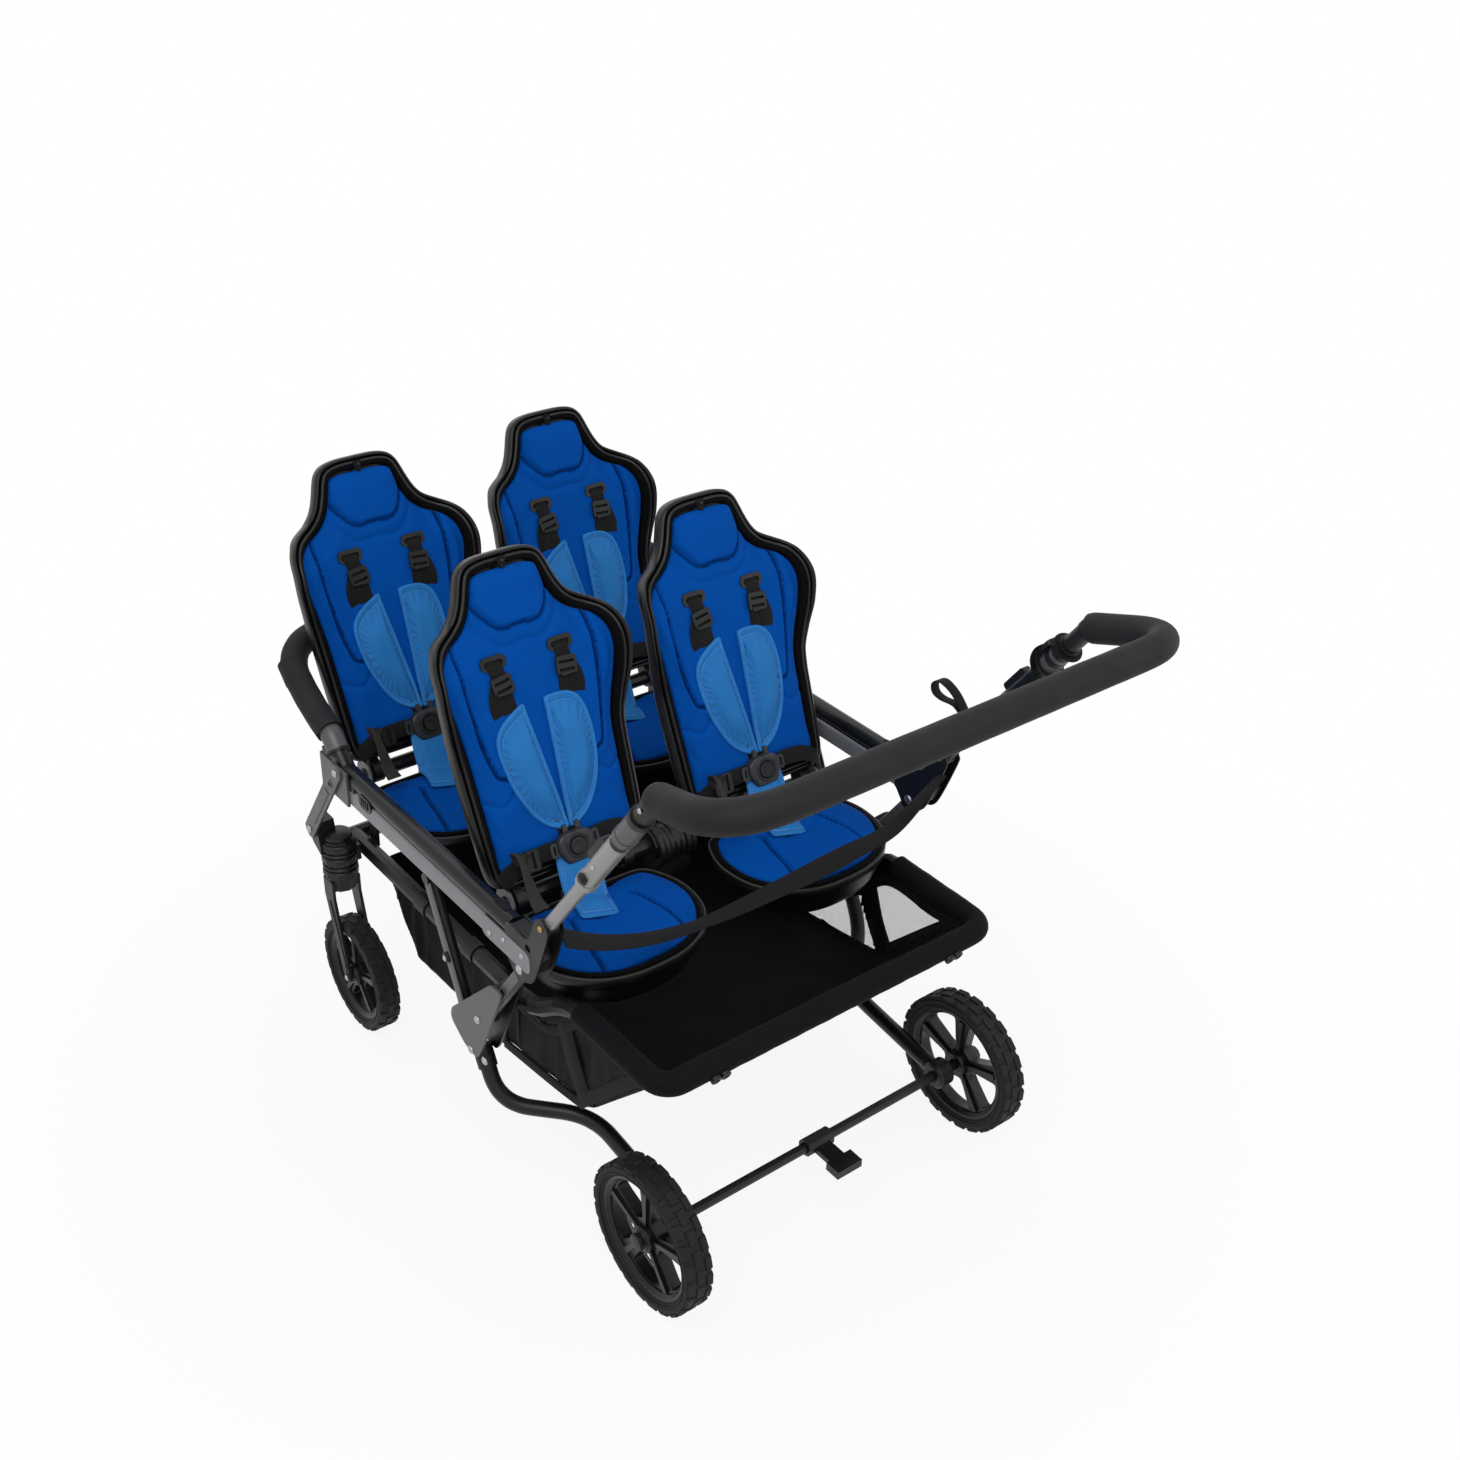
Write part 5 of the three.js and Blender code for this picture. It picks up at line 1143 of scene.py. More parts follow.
CLOTH = {
    "use_pressure": True,
    "quality": 4,
    "mass": 0.3,
    "tension_stiffness": 12,
    "compression_stiffness": 12,
    "bending_stiffness": 0.4,
    "shrink_min": -0.012,
}
CLOTH_FRAMES = 20


# Padding. One back pad and one pan pad are filled by cloth simulation, and each is then set into all four seats.


def fill_cover(points, faces, name):
    """Fills a closed cover by pressure and returns its points, all in millimetres."""
    scene, settings = bpy.context.scene, bpy.context.scene.stroller_seat
    data = bpy.data.meshes.new(name)
    data.from_pydata((points * MM).tolist(), [], faces)
    cover = bpy.data.objects.new(name, data)
    scene.collection.objects.link(cover)
    turn_outward(data)
    cloth = cover.modifiers.new("Cloth", "CLOTH")
    for key, value in {**CLOTH, "uniform_pressure_force": settings.pressure}.items():
        setattr(cloth.settings, key, value)
    cloth.settings.effector_weights.gravity = 0
    cloth.collision_settings.use_collision = False
    cloth.point_cache.frame_start, cloth.point_cache.frame_end = 1, CLOTH_FRAMES
    for step in range(1, CLOTH_FRAMES + 1):
        scene.frame_set(step)
    graph = bpy.context.evaluated_depsgraph_get()
    filled = cover.evaluated_get(graph).to_mesh()
    result = np.array([v.co for v in filled.vertices]) / MM
    cover.evaluated_get(graph).to_mesh_clear()
    scene.frame_set(1)
    cover.modifiers.remove(cloth)
    bpy.data.objects.remove(cover)
    move = result - points
    far = np.linalg.norm(move, axis=1, keepdims=True)
    return points + move * np.minimum(1, settings.pad_travel / MM / np.maximum(far, 1e-6))


def subdivided(points, faces):
    """The same surface with each face split and smoothed once."""
    data = bpy.data.meshes.new("split")
    data.from_pydata((np.asarray(points) * MM).tolist(), [], faces)
    holder = bpy.data.objects.new("split", data)
    bpy.context.scene.collection.objects.link(holder)
    modifier = holder.modifiers.new("Smooth", "SUBSURF")
    modifier.levels = modifier.render_levels = 1
    bpy.context.view_layer.update()
    graph = bpy.context.evaluated_depsgraph_get()
    fine = bpy.data.meshes.new_from_object(holder.evaluated_get(graph))
    bpy.data.objects.remove(holder)
    return np.array([v.co for v in fine.vertices]) / MM, [tuple(p.vertices) for p in fine.polygons]


def spread(count, power):
    """Shares from -1 to 1, closer together near the ends."""
    t = np.linspace(-1, 1, count)
    return np.sign(t) * (1 - (1 - np.abs(t)) ** (1 / power))


# Sewn lines of the back pad, as x and height along the back. Each is sewn on both sides.
CHANNEL = [(104, 398), (108.5, 372), (109, 335), (106, 285), (100, 235), (92, 195), (86, 181), (72, 176)]
HEAD_CREASE = [(61, 452), (61.5, 424), (35, 386), (0, 385)]
HEAD_RELIEF = [(80, 408), (70, 396), (38, 361), (0, 361)]
LOWER_SEAM = [(112, 150), (86, 140), (60, 168)]


def both_ways(line):
    """A line and its mirror image as one run, or as two where it doesn't reach the middle."""
    line = [tuple(p) for p in line]
    other = [(-x, y) for x, y in line]
    if line[-1][0] == 0:
        return [line + other[::-1][1:]]
    return [line, other]


def sewn(flat, lines, width):
    """Closeness to sewn lines, 1 on them and 0 away from them."""
    gaps = [bell(line_distance(flat, smooth_path(line, 5.0)), width) for line in lines]
    return np.maximum.reduce([np.zeros(len(flat)), *gaps])


def pad_grid(outline, inset, rows, row_power, columns, least):
    """Grids of x, place along and gap to the edge over a pad that lies inside an outline."""
    loop = inset_loop(outline, inset)
    low, high = loop[:, 1].min() + 0.3, loop[:, 1].max() - 0.3
    lines = (low + high) / 2 + (high - low) / 2 * spread(rows, row_power)
    shares = spread(columns, 0.8)
    half = np.maximum(half_width(loop, lines), least)
    x = half[:, None] * shares[None, :]
    along = np.repeat(lines[:, None], len(shares), axis=1)
    flat = np.stack([x.ravel(), along.ravel()], axis=1)
    return x, along, line_distance(flat, np.concatenate([loop, loop[:1]])).reshape(x.shape)


def back_pad_cover():
    """The closed cover of a back pad before its seams: points as x, depth and height, with its faces."""
    x, along, gap = pad_grid(BACK_LOOP, PAD_INSET, 96, 0.82, 57, 8.0)
    roll = rolled(gap, 9.0)
    crown = bpy.context.scene.stroller_seat.pad_crown / MM
    bend = wing(x, along)
    front = bend + 10.5 + 4.5 * roll + (crown - 1.5) * ease(gap / 40.0) * (1 - 0.45 * ease(bend / 20))
    back = bend + 4.0 + 2.0 * (1 - roll)
    return two_faced(np.stack([x, front, along], axis=2), np.stack([x, back, along], axis=2))


def dressed_back_pad():
    """The filled back pad with its seams: points, faces, and each point's closeness to a seam, which places the painted
    seam shade.
    """
    points, faces = back_pad_cover()
    floor = wing(points[:, 0], points[:, 2]) + 3.6
    points = fill_cover(points, faces, "back cover")
    points[:, 1] = np.maximum(points[:, 1], floor)
    points, faces = subdivided(points, faces)
    flat = points[:, [0, 2]]
    x, along = flat.T
    front = ease((points[:, 1] - wing(x, along) - 9.0) / 3.0)
    depth = bpy.context.scene.stroller_seat.channel_depth / MM
    channel, puff = (sewn(flat, both_ways(CHANNEL), width) for width in (3.0, 10.0))
    crease = sewn(flat, both_ways(HEAD_CREASE), 2.9)
    head = ease((np.interp(along, [386, 424, 460], [35, 61, 61]) - np.abs(x)) / 7) * ease((along - 385) / 7)
    slots = [[(way * SLOT_X - 11, SLOT_ALONG), (way * SLOT_X + 11, SLOT_ALONG)] for way in (1, -1)]
    middle_dip = bell(x, 14) * ease((330 - along) / 60) * ease((along - 60) / 50)
    move = -depth * channel + 3.2 * (puff - channel) - 6.0 * crease + 3.8 * head
    move -= 3.2 * sewn(flat, both_ways(HEAD_RELIEF), 4.5)
    move += -3.0 * sewn(flat, both_ways(LOWER_SEAM), 4.0) - 3.2 * sewn(flat, slots, 9.0) - 2.2 * middle_dip
    move -= 2.5 * sewn(flat, [[(0, 462), (0, 480)]], 8.0)
    points[:, 1] += move * front
    return points, faces, np.maximum(channel, crease) * (front > 0.5)


# Sewn line of the pan pad, as x and distance forward, sewn on both sides.
PAN_SEAM = [(54, 62), (62, 92), (69, 130), (74, 190)]


def pan_pad_cover():
    """The closed cover of a pan pad before its seams: points as x, distance and height."""
    x, run, gap = pad_grid(PAN_LOOP, PAN_PAD_INSET, 52, 0.8, 61, 10.0)
    top = PAN_RIM_Z + 0.5 + 5.0 * rolled(gap, 8.0) + 7.0 * ease(gap / 45.0)
    return two_faced(np.stack([x, run, top], axis=2), np.stack([x, run, np.full(x.shape, PAN_RIM_Z - 4.2)], axis=2))


def dressed_pan_pad():
    """The filled pan pad with its seams: points, faces, and each point's closeness to a seam, which places the painted
    seam shade.
    """
    points, faces = pan_pad_cover()
    points = fill_cover(points, faces, "pan cover")
    points[:, 2] = np.maximum(points[:, 2], PAN_RIM_Z - 4.6)
    points, faces = subdivided(points, faces)
    flat = points[:, :2]
    upper = ease((points[:, 2] - PAN_RIM_Z + 1.0) / 3.0)
    depth = bpy.context.scene.stroller_seat.channel_depth / MM
    seam, puff = (sewn(flat, both_ways(PAN_SEAM), width) for width in (3.2, 11.0))
    ends = np.maximum(*[bell(np.linalg.norm(flat - (way * 54, 62), axis=1), 7.5) for way in (-1, 1)])
    slot = sewn(flat, [[(-20, 84), (20, 84)]], 9.0)
    back_dip = ease((30 - flat[:, 1]) / 26)
    move = -1.05 * depth * seam + 2.2 * (puff - seam) - 5.0 * ends - 4.0 * slot - 3.0 * back_dip
    points[:, 2] += move * upper
    return points, faces, seam * (upper > 0.5)


def build_pad(name, place, dressed, body, node):
    """One filled pad. Where its cover is drawn into a seam, the cloth is painted at half brightness, as painted shade.
    """
    points, faces, seam_shade = dressed
    shape = Shape(name, place)
    shape.add((points, faces), "pad_blue")
    # Faces close to a seam take the painted seam shade.
    shape.finishes.append("pad_seam")
    shape.marks = [int(seam_shade[list(face)].mean() > 0.55) for face in faces]
    piece = shape.build(body, "blue_pad", [node], angle=180)


# Sections of the pan's shell: inset and height over the rim, then share of the way to the base and of the drop to it.
PAN_RIM = [
    (12, -5.2), (8.2, -4.8), (7.2, -1.5), (6.2, 0), (3, 0.4), (1.2, -0.4), (0.2, -2.6), (0, -9), (0.8, -14.5),
    (3.4, -17),
]
PAN_SKIRT = [(0.12, 0.2), (0.28, 0.42), (0.5, 0.66), (0.75, 0.86), (0.92, 0.97), (1.06, 1.0)]


def level_loop(loop, height):
    """A flat loop at one height, as x, distance and height."""
    return np.column_stack([loop, np.full(len(loop), height)])


def build_pan_shell(side, row):
    """Moulded pan: rim, skirt that draws in to its base, and the piping and binding that edge its pad."""
    shape = Shape(f"shell_pan_{row}_{side}", on_pan(side, row))
    rings = [level_loop(inset_loop(PAN_LOOP, inset), PAN_RIM_Z + height) for inset, height in PAN_RIM]
    start, skirt_z = inset_loop(PAN_LOOP, PAN_RIM[-1][0]), PAN_RIM_Z + PAN_RIM[-1][1]
    base = (PAN_LOOP - (0, PAN_DEPTH / 2)) * 0.8 + (0, PAN_DEPTH / 2)
    rings += [level_loop(start * (1 - t) + base * t, skirt_z - drop * (skirt_z - PAN_BASE_Z)) for t, drop in PAN_SKIRT]
    shape.add(lofted(rings), "shell")
    binding = level_loop(inset_loop(PAN_LOOP, 10.4), PAN_RIM_Z + 0.6)
    shape.add(sweep(binding, circle(1, 10) * (4.2, 4.6), Z_AXIS, closed=True), "binding")
    piping = level_loop(inset_loop(PAN_LOOP, 1.4), PAN_RIM_Z + 0.5)
    shape.add(tube(piping, 1.5, 8, closed=True), "piping_grey")
    # Ribs under the base.
    for x in (-70, -35, 35, 70):
        bar = [(x, 45, PAN_BASE_Z + 2), (x, 165, PAN_BASE_Z + 2)]
        shape.add(sweep(bar, rounded_box(5, 8, 1.5), Z_AXIS), "shell")
    shape.build("chassis", "seat_shell", [f"pan_shell_{row}_{side}"])


# Harness. Outlines of the two chest pads, as x and height along the back.
CHEST_PADS = {
    "a": [
        (-27, 272.9), (-40, 267.2), (-54, 259.5), (-66, 250.9), (-74, 241.3), (-78, 229.9), (-78.5, 213.6),
        (-75.5, 188.7), (-69.5, 161.9), (-60, 137), (-48.5, 114.1), (-35, 97.8), (-21, 88.2), (-8, 83), (-2, 82),
        (-2.5, 90.1), (-6.5, 126.5), (-12.5, 169.6), (-19, 215.5), (-25, 255.7), (-26.5, 269.1),
    ],
    "b": [
        (11.5, 272.4), (26, 273.4), (42, 272), (55, 266.7), (64, 256.7), (70, 240.4), (73, 217.4), (73, 192.5),
        (69.5, 163.8), (61.5, 137), (50, 115), (36, 97.8), (21, 87.3), (9, 82.5), (4, 82), (4.5, 90.1), (5.5, 126.5),
        (7.5, 169.6), (9.5, 215.5), (11, 255.7), (11.2, 269.1),
    ],
}
HARNESS_DEPTH = 25.6
PILLOW_SHARES = [1.0, 0.985, 0.955, 0.92, 0.89, 0.865, 0.84, 0.8, 0.74, 0.66, 0.56, 0.45, 0.33, 0.2, 0.08]


def pillow(outline, depth, edge, crown, band, pleats):
    """A closed pad over an outline of x and height: a flat stitched band round a crowned, pleated middle."""
    loop = smooth_path(outline, 3.0, closed=True)
    centre = loop.mean(axis=0)
    reach = np.linalg.norm(loop - centre, axis=1).mean()
    spokes = np.linspace(0, 2 * math.pi, len(loop), endpoint=False)
    rings = []
    for share in (0.96, 0.5, 0.08):
        flat = centre + (loop - centre) * share
        rings.insert(0, np.column_stack([flat[:, 0], np.full(len(loop), depth), flat[:, 1]]))
    for share in PILLOW_SHARES:
        gap = (1 - share) * reach
        flat = centre + (loop - centre) * share
        lift = edge * rolled(gap, 2.5) + crown * ease((gap - band) / (reach * 0.5)) - 2.4 * bell(gap - band, 1.9)
        folds = pleats * np.sin(spokes * 30 + 2 * np.sin(spokes * 5)) * bell(gap - band - 6, 5.5)
        rings.append(np.column_stack([flat[:, 0], depth + (lift + folds), flat[:, 1]]))
    return lofted(rings[::-1])


def on_back(side, row):
    """Sets a surface, given as x, depth and height along the back, into one seat's back."""
    return lambda surface: (seat_points(surface[0], side, row), surface[1])


def pad_line(outline, share, depth):
    """A line round a chest pad, at a share of the way from its middle to its edge."""
    loop = smooth_path(outline, 3.0, closed=True)
    centre = loop.mean(axis=0)
    flat = centre + (loop - centre) * share
    return np.column_stack([flat[:, 0], np.full(len(flat), depth), flat[:, 1]])


def build_chest_pads(side, row):
    """The two chest pads, each with its bound edge and a stitched seam."""
    body, place = f"back_{row}_{side}", on_back(side, row)
    depth = HARNESS_DEPTH + 1.0
    for label, outline in CHEST_PADS.items():
        shape = Shape(f"chest_pad_{label}_{row}_{side}")
        shape.add(place(pillow(outline, depth, 5.0, 10.5, 7.0, 1.5)), "pad_light")
        edge = seat_points(pad_line(outline, 0.985, depth + 2.8), side, row)
        shape.add(tube(edge, 3.3, 8, closed=True), "pad_edge")
        piece = shape.build(body, "blue_harness", angle=60)
        line = pad_line(outline, 0.88, depth + 5.0)
        seam = seat_points(np.concatenate([line, line[:1]]), side, row)
        place_mesh(f"chest_seam_{label}_{row}_{side}", stitch_mesh([seam]), body)


# Routes of the webbing on a seat, as x, depth and height along the back.
SHOULDERS = {
    -1: [(-55, 24.5, 343), (-55, 28.4, 340), (-54, 30.2, 330), (-51, 30, 311), (-48, 28.6, 280), (-44, 25.2, 250)],
    1: [(55, 24.5, 343), (55, 28.4, 340), (55, 30.2, 330), (55, 30, 311), (51, 28.6, 280), (47, 25.2, 250)],
}
BELT_TAIL = [
    (-83, 31.5, 56), (-92, 38, 70), (-96, 46, 74), (-99, 57, 60), (-101, 66, 38), (-101, 72, 14), (-100, 84, -2),
]
BELT_TAIL_LEAN = [
    (0.2, -1, 0.2), (0.6, -0.2, 1), (0.6, 0.6, 0.7), (0.5, 0.9, 0.3), (0.3, 1, 0.2), (0.2, 0.95, 0.3), (0.1, 0.6, 0.8),
]
# Free end of a shoulder strap, as x out from its ladder lock, depth and height, and the lap belt's right half.
SHOULDER_TAIL = [(1.0, 29.5, 312), (10, 31.0, 300), (14, 29.4, 278), (8, 25.0, 252)]
LAP_BELT = [(24, 33, 57), (50, 32, 58), (80, 27, 54), (104, 22.5, 44), (121, 16, 32)]
LAP_BELT_LEAN = [(0, 1, 0.05), (0, 1, 0), (0.1, 1, 0), (0.35, 1, 0), (0.7, 0.8, 0)]
SHOULDER_LOCK_ALONG = 309
BELT_ALONG = 54.5


def build_straps(side, row):
    """Shoulder webbing with its ladder locks, lap belt with its free tail, and the webbing to the buckle."""
    body, place = f"back_{row}_{side}", on_back(side, row)
    shape = Shape(f"straps_{row}_{side}", place)
    for way, points in SHOULDERS.items():
        shape.add_cloth(ribbon(points[:5], 24, 2.2, Y_AXIS), "web_black")
        shape.add_cloth(ribbon(points[3:], 26, 2.6, Y_AXIS), "web_black")
        x = points[3][0]
        turn = math.atan2(points[2][0] - points[4][0], 42)
        across, along = math.cos(turn), math.sin(turn)

        def leaned(box):
            return [(x + u * across + v * along, SHOULDER_LOCK_ALONG - u * along + v * across) for u, v in box]

        bars = [leaned(rounded_box(25, 4.2, 1.4, 3) + (0, low)) for low in (-7.0, 4.5)]
        shape.add(face_plate(leaned(rounded_box(33, 27, 4, 4)), 3.6, 33.0, bars), "ladder")
        shape.add(sweep([(x - 12.5, 35.2, 296.5), (x + 12.5, 35.2, 296.5)], rounded_box(5, 3.4, 1.5), Y_AXIS), "ladder")
        tail = [(x + way * out, depth, height) for out, depth, height in SHOULDER_TAIL]
        shape.add_cloth(ribbon(tail, 24, 2.0, Y_AXIS), "web_black")
    # Lap belt, from the buckle round to the shell's lower sides.
    for way in (-1, 1):
        belt, lean = (np.array(line) * (way, 1, 1) for line in (LAP_BELT, LAP_BELT_LEAN))
        shape.add_cloth(ribbon(belt, 25, 2.4, lean), "web_black")
    gaps = [rounded_box(5, 25, 1.5, 3) + (x, BELT_ALONG) for x in (-84, -69)]
    shape.add(face_plate(rounded_box(33, 31, 4, 4) + (-76, BELT_ALONG), 3.4, 31.5, gaps), "ladder")
    # The free tail hangs in front of the pan.
    tail = Shape(f"belt_tail_{row}_{side}", place)
    tail.add_cloth(ribbon(BELT_TAIL, 25, 2.0, BELT_TAIL_LEAN), "web_grey")
    piece = tail.build(body, "webbing")
    anchor, below = to_frame(seat_points([(-90, 31, 52), (-90, 84, 0)], side, row))
    tuple(unit(below - anchor))
    tuple(anchor)
    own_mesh(piece)
    for way in (-1, 1):
        stub = [(way * 8, 28.6, 62), (way * 9, 28.4, 84), (way * 12, 28.4, 108)]
        shape.add_cloth(ribbon(stub, 20, 2.2, Y_AXIS), "web_black")
    shape.build(body, "webbing", [f"harness_{row}_{side}"])


def build_crotch_pad(side, row):
    """Crotch pad: leaves the buckle, bends forward and lies on the pan as far as its slot."""
    shape = Shape(f"crotch_pad_{row}_{side}")
    route = seat_points([(3, 27.5, 62), (2, 29.5, 42), (-2, 36, 20)], side, row).tolist()
    route += pan_points([(-6, 34, 449), (-11, 60, 448.5), (-17, 88, 447)], side, row).tolist()
    spine = smooth_path(route, 3.0)
    sides, ups = path_frames(spine, (0, -0.6, 0.8))
    if ups[-1][2] < 0:
        ups, sides = -ups, -sides
    shares = np.linspace(-1, 1, 25)
    run = np.linspace(0, 1, len(spine))
    half = 31 + 4.5 * np.sin(math.pi * np.clip(run * 1.25, 0, 1)) - run
    half = half * np.sqrt(np.clip(run / 0.03, 0.5, 1)) * np.sqrt(np.clip((1 - run) / 0.02, 0.72, 1))
    # Gap to the nearest edge of the pad, which is about 105 mm long.
    gap = np.minimum((1 - np.abs(shares))[None, :] * half[:, None], ((1 - run) * 105)[:, None])
    gap = np.minimum(gap, (run * 105)[:, None] + 2)
    roll = rolled(gap, 3.0)
    lift = 3.2 * roll + 3.6 * ease((gap - 7) / 14) - 1.2 * bell(gap - 7, 1.4) - 0.9 * bell(gap - 3.4, 1.0)
    base = spine[:, None, :] + sides[:, None, :] * (half[:, None] * shares[None, :])[:, :, None]
    front = base + ups[:, None, :] * lift[:, :, None]
    back = base - ups[:, None, :] * (1.6 * roll)[:, :, None]
    shape.add(subdivided(*two_faced(front, back)), "pad_light")
    piece = shape.build(None, "blue_harness", angle=60)
    keep = range(2, len(spine) - 3)
    lines = []
    for inset in (7.0, 3.6):
        line = []
        for way, order in ((-1, keep), (1, reversed(keep))):
            for i in order:
                share = way * (1 - inset / half[i])
                height = float(np.interp(share, shares, lift[i])) + 0.9
                line.append(spine[i] + sides[i] * half[i] * share + ups[i] * height)
        lines.append(np.array(line))
    seam = place_mesh(f"crotch_seam_{row}_{side}", stitch_mesh(lines), None)
    start = tuple(at(*pan_points([(0, 70, 447)], side, row)[0]))
    end = tuple(at(*seat_points([(0, 30, 30)], side, row)[0]))
    for soft in (piece, seam):
        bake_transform(soft)


BUCKLE_LINE = [
    (-15, 30), (15, 30), (21, 34), (25, 42), (29, 52), (29, 64), (25, 71), (17, 76), (8, 78), (0, 76.5),
    (-8, 78), (-17, 76), (-25, 71), (-29, 64), (-29, 52), (-25, 42), (-21, 34),
]
# Share of the buckle's outline and depth of each ring of its body, into the well for its button.
BUCKLE_RINGS = (
    (0.93, 0), (0.99, 1.5), (1.0, 5), (1.0, 9), (0.97, 12), (0.9, 13.8), (0.75, 14.6), (0.64, 14.8), (0.62, 10.4),
    (0.3, 10.2),
)
BUTTON_PROFILE = [(0, 13.0), (12.4, 13.0), (12.9, 13.6), (12.9, 15.6), (12.2, 16.6), (9, 16.9), (5, 16.3), (0, 16.0)]
BUTTON_ALONG = 54.4


def build_buckle(side, row):
    """Five-point buckle: a shouldered body with two side tongues, and a ring round its button."""
    body, place = f"back_{row}_{side}", on_back(side, row)
    shape = Shape(f"harness_buckle_{row}_{side}", place)
    base = HARNESS_DEPTH + 2.9
    loop = smooth_path(BUCKLE_LINE, 2.6, closed=True)
    rings = []
    for share, depth in BUCKLE_RINGS:
        flat = (0.0, 55.0) + (loop - (0.0, 55.0)) * share
        rings.append(np.column_stack([flat[:, 0], np.full(len(flat), base + depth), flat[:, 1]]))
    shape.add(lofted(rings), "buckle")
    centre = (0, base, BUTTON_ALONG)
    shape.add(collar(13.6, 18.6, 9.6, 15.6, 0.8, centre, Y_AXIS, 36), "ladder")
    for way in (-1, 1):
        tongue = [(way * 27, 46), (way * 38, 45), (way * 41, 49), (way * 41, 64), (way * 38, 68), (way * 27, 67)]
        gap = [(way * 33, 50), (way * 36.5, 50), (way * 36.5, 63), (way * 33, 63)]
        shape.add(face_plate(tongue, 4.5, base + 5.5, [gap]), "buckle")
        rib = [(way * 20, base + 14.0, 40), (way * 22.5, base + 14.0, 56), (way * 19, base + 14.0, 69)]
        shape.add(tube(smooth_path(rib, 3), 1.1, 8), "buckle")
        prong = [(way * 6, 76), (way * 15, 75), (way * 14, 88), (way * 8, 88)]
        shape.add(face_plate(prong, 4, base + 6), "buckle")
    shape.build(body, "black_plastic", [f"buckle_{row}_{side}"], angle=30)
    button = Shape(f"button_{row}_{side}", place)
    button.add(turned(BUTTON_PROFILE, centre, Y_AXIS, 36), "button")
    button.build(f"button_{row}_{side}", "button_grey", [f"buckle_button_{row}_{side}"])


# Wheels, turned round the X axis: tyre, rim with its spokes and hub, and tread, all on the wheel's own body. The
# bevel of a rim is in metres, and the turn of the first spoke in radians.
RIM_EDGE = 0.0008
FRONT_TREAD_COUNT = 20
SPOKE_TURN = 0.3


def wheel_profile(edge, half, crown=(), well=()):
    """A closed profile from the (radius, share of the half width) points of one side, with those between sides."""
    low, high = ([(radius, half * way * share) for radius, share in edge] for way in (-1, 1))
    return [*low, *crown, *reversed(high), *well]


def build_wheel(side, size, place):
    """One wheel on its own body: foamed tyre, rim with five spokes and its hub, and tread blocks."""
    radius, half, hub = size["radius"], size["width"] / 2, size["hub"]
    centre, axis = (SIDES[side] * size["x"], size["y"], radius), (SIDES[side], 0, 0)
    body, node = f"wheel_{place}_{side}", f"{place}_wheel_{side}"
    inner = radius - 23
    shape = Shape(f"{place}_tyre_{side}")
    edge = [(inner, 0.62), (inner + 5, 0.86), (radius - 12, 0.99), (radius - 7, 0.97), (radius - 4.4, 0.8)]
    edge.append((radius - 3.4, 0.4))
    shape.add(turned(wheel_profile(edge, half, crown=[(radius - 3.2, 0)]), centre, axis, 72, closed=True), "tyre")
    for offset in (-1, 1):
        seam = circle(1.4, 8) + (inner + 7, offset * half * 0.93)
        shape.add(turned(seam, centre, axis, 72, closed=True), "tyre")
    shape.build(body, "tyre", [node], angle=30)
    rim = Shape(f"{place}_rim_{side}")
    edge = [(inner - 8, 0.5), (inner - 3, 0.72), (inner + 1.5, 0.74)]
    rim.add(turned(wheel_profile(edge, half, well=[(inner - 9, 0)]), centre, axis, 64, closed=True), "rim")
    rim.add(collar(7.5, hub, -half * 0.86, half * 0.86, 2.0, centre, axis, 32), "rim")
    rim.add(collar(hub * 0.55, hub * 0.8, half * 0.8, half * 0.93, 1.0, centre, axis, 32), "rim")
    cap = [(0, half * 0.7), (hub * 0.5, half * 0.7), (hub * 0.48, half * 0.9), (hub * 0.34, half), (0, half * 1.02)]
    rim.add(turned(cap, centre, axis, 28), "hardware")
    # A dished disc with five windows, and a raised web down the middle of each spoke.
    reach = inner - 4
    low, high = hub + 9, reach - 7
    corners = [(low, -0.34), (high, -0.43), (high + 1.5, -0.2), (high + 2, 0), (high + 1.5, 0.2), (high, 0.43)]
    corners += [(low, 0.34), (low - 1, 0)]
    windows = []
    for k in range(5):
        middle = 2 * math.pi * (k + 0.5) / 5 + SPOKE_TURN
        window = [(r * math.cos(middle + a), r * math.sin(middle + a)) for r, a in corners]
        windows.append(rounded_line(window, 6, 3))
    rim.add(slab(circle(reach, 60), half * 0.8, centre, Y_AXIS, Z_AXIS, windows), "rim")
    web = [(hub * 0.9, -3.4), (reach - 6, -4.6), (reach - 6, 4.6), (hub * 0.9, 3.4)]
    for k in range(5):
        angle = 2 * math.pi * k / 5 + SPOKE_TURN
        out, across = (0, math.cos(angle), math.sin(angle)), (0, -math.sin(angle), math.cos(angle))
        rim.add(slab(web, half * 1.2, centre, out, across), "rim")
    rim.build(body, "tyre", [node], angle=30, bevel=RIM_EDGE)
    seed = bpy.data.meshes.new("tread seed")
    seed.from_pydata([(0, 0, 0)], [], [])
    count = bpy.context.scene.stroller_frame.tread_count if place == "rear" else FRONT_TREAD_COUNT
    sizes = {"Radius": (radius - 3.6) * MM, "Width": size["width"] * MM, "Depth": 2.2 * MM, "Blocks": count}
    blocks = grown(seed, "tread", {**sizes, "Finish": finish("tyre")})
    blocks.transform(Matrix.Translation(at(*centre)))
    place_mesh(f"{place}_tread_{side}", blocks, body)


# Frame.


def dress(names, finish_name):
    """Gives CAD nodes whose shape is already right their finish."""
    for name in names:
        node = frame["nodes"][name]
        for slot in node.material_slots:
            slot.material = finish(finish_name)


def pair(name):
    """The names of a node's left and right copies."""
    return [f"{name}_left", f"{name}_right"]


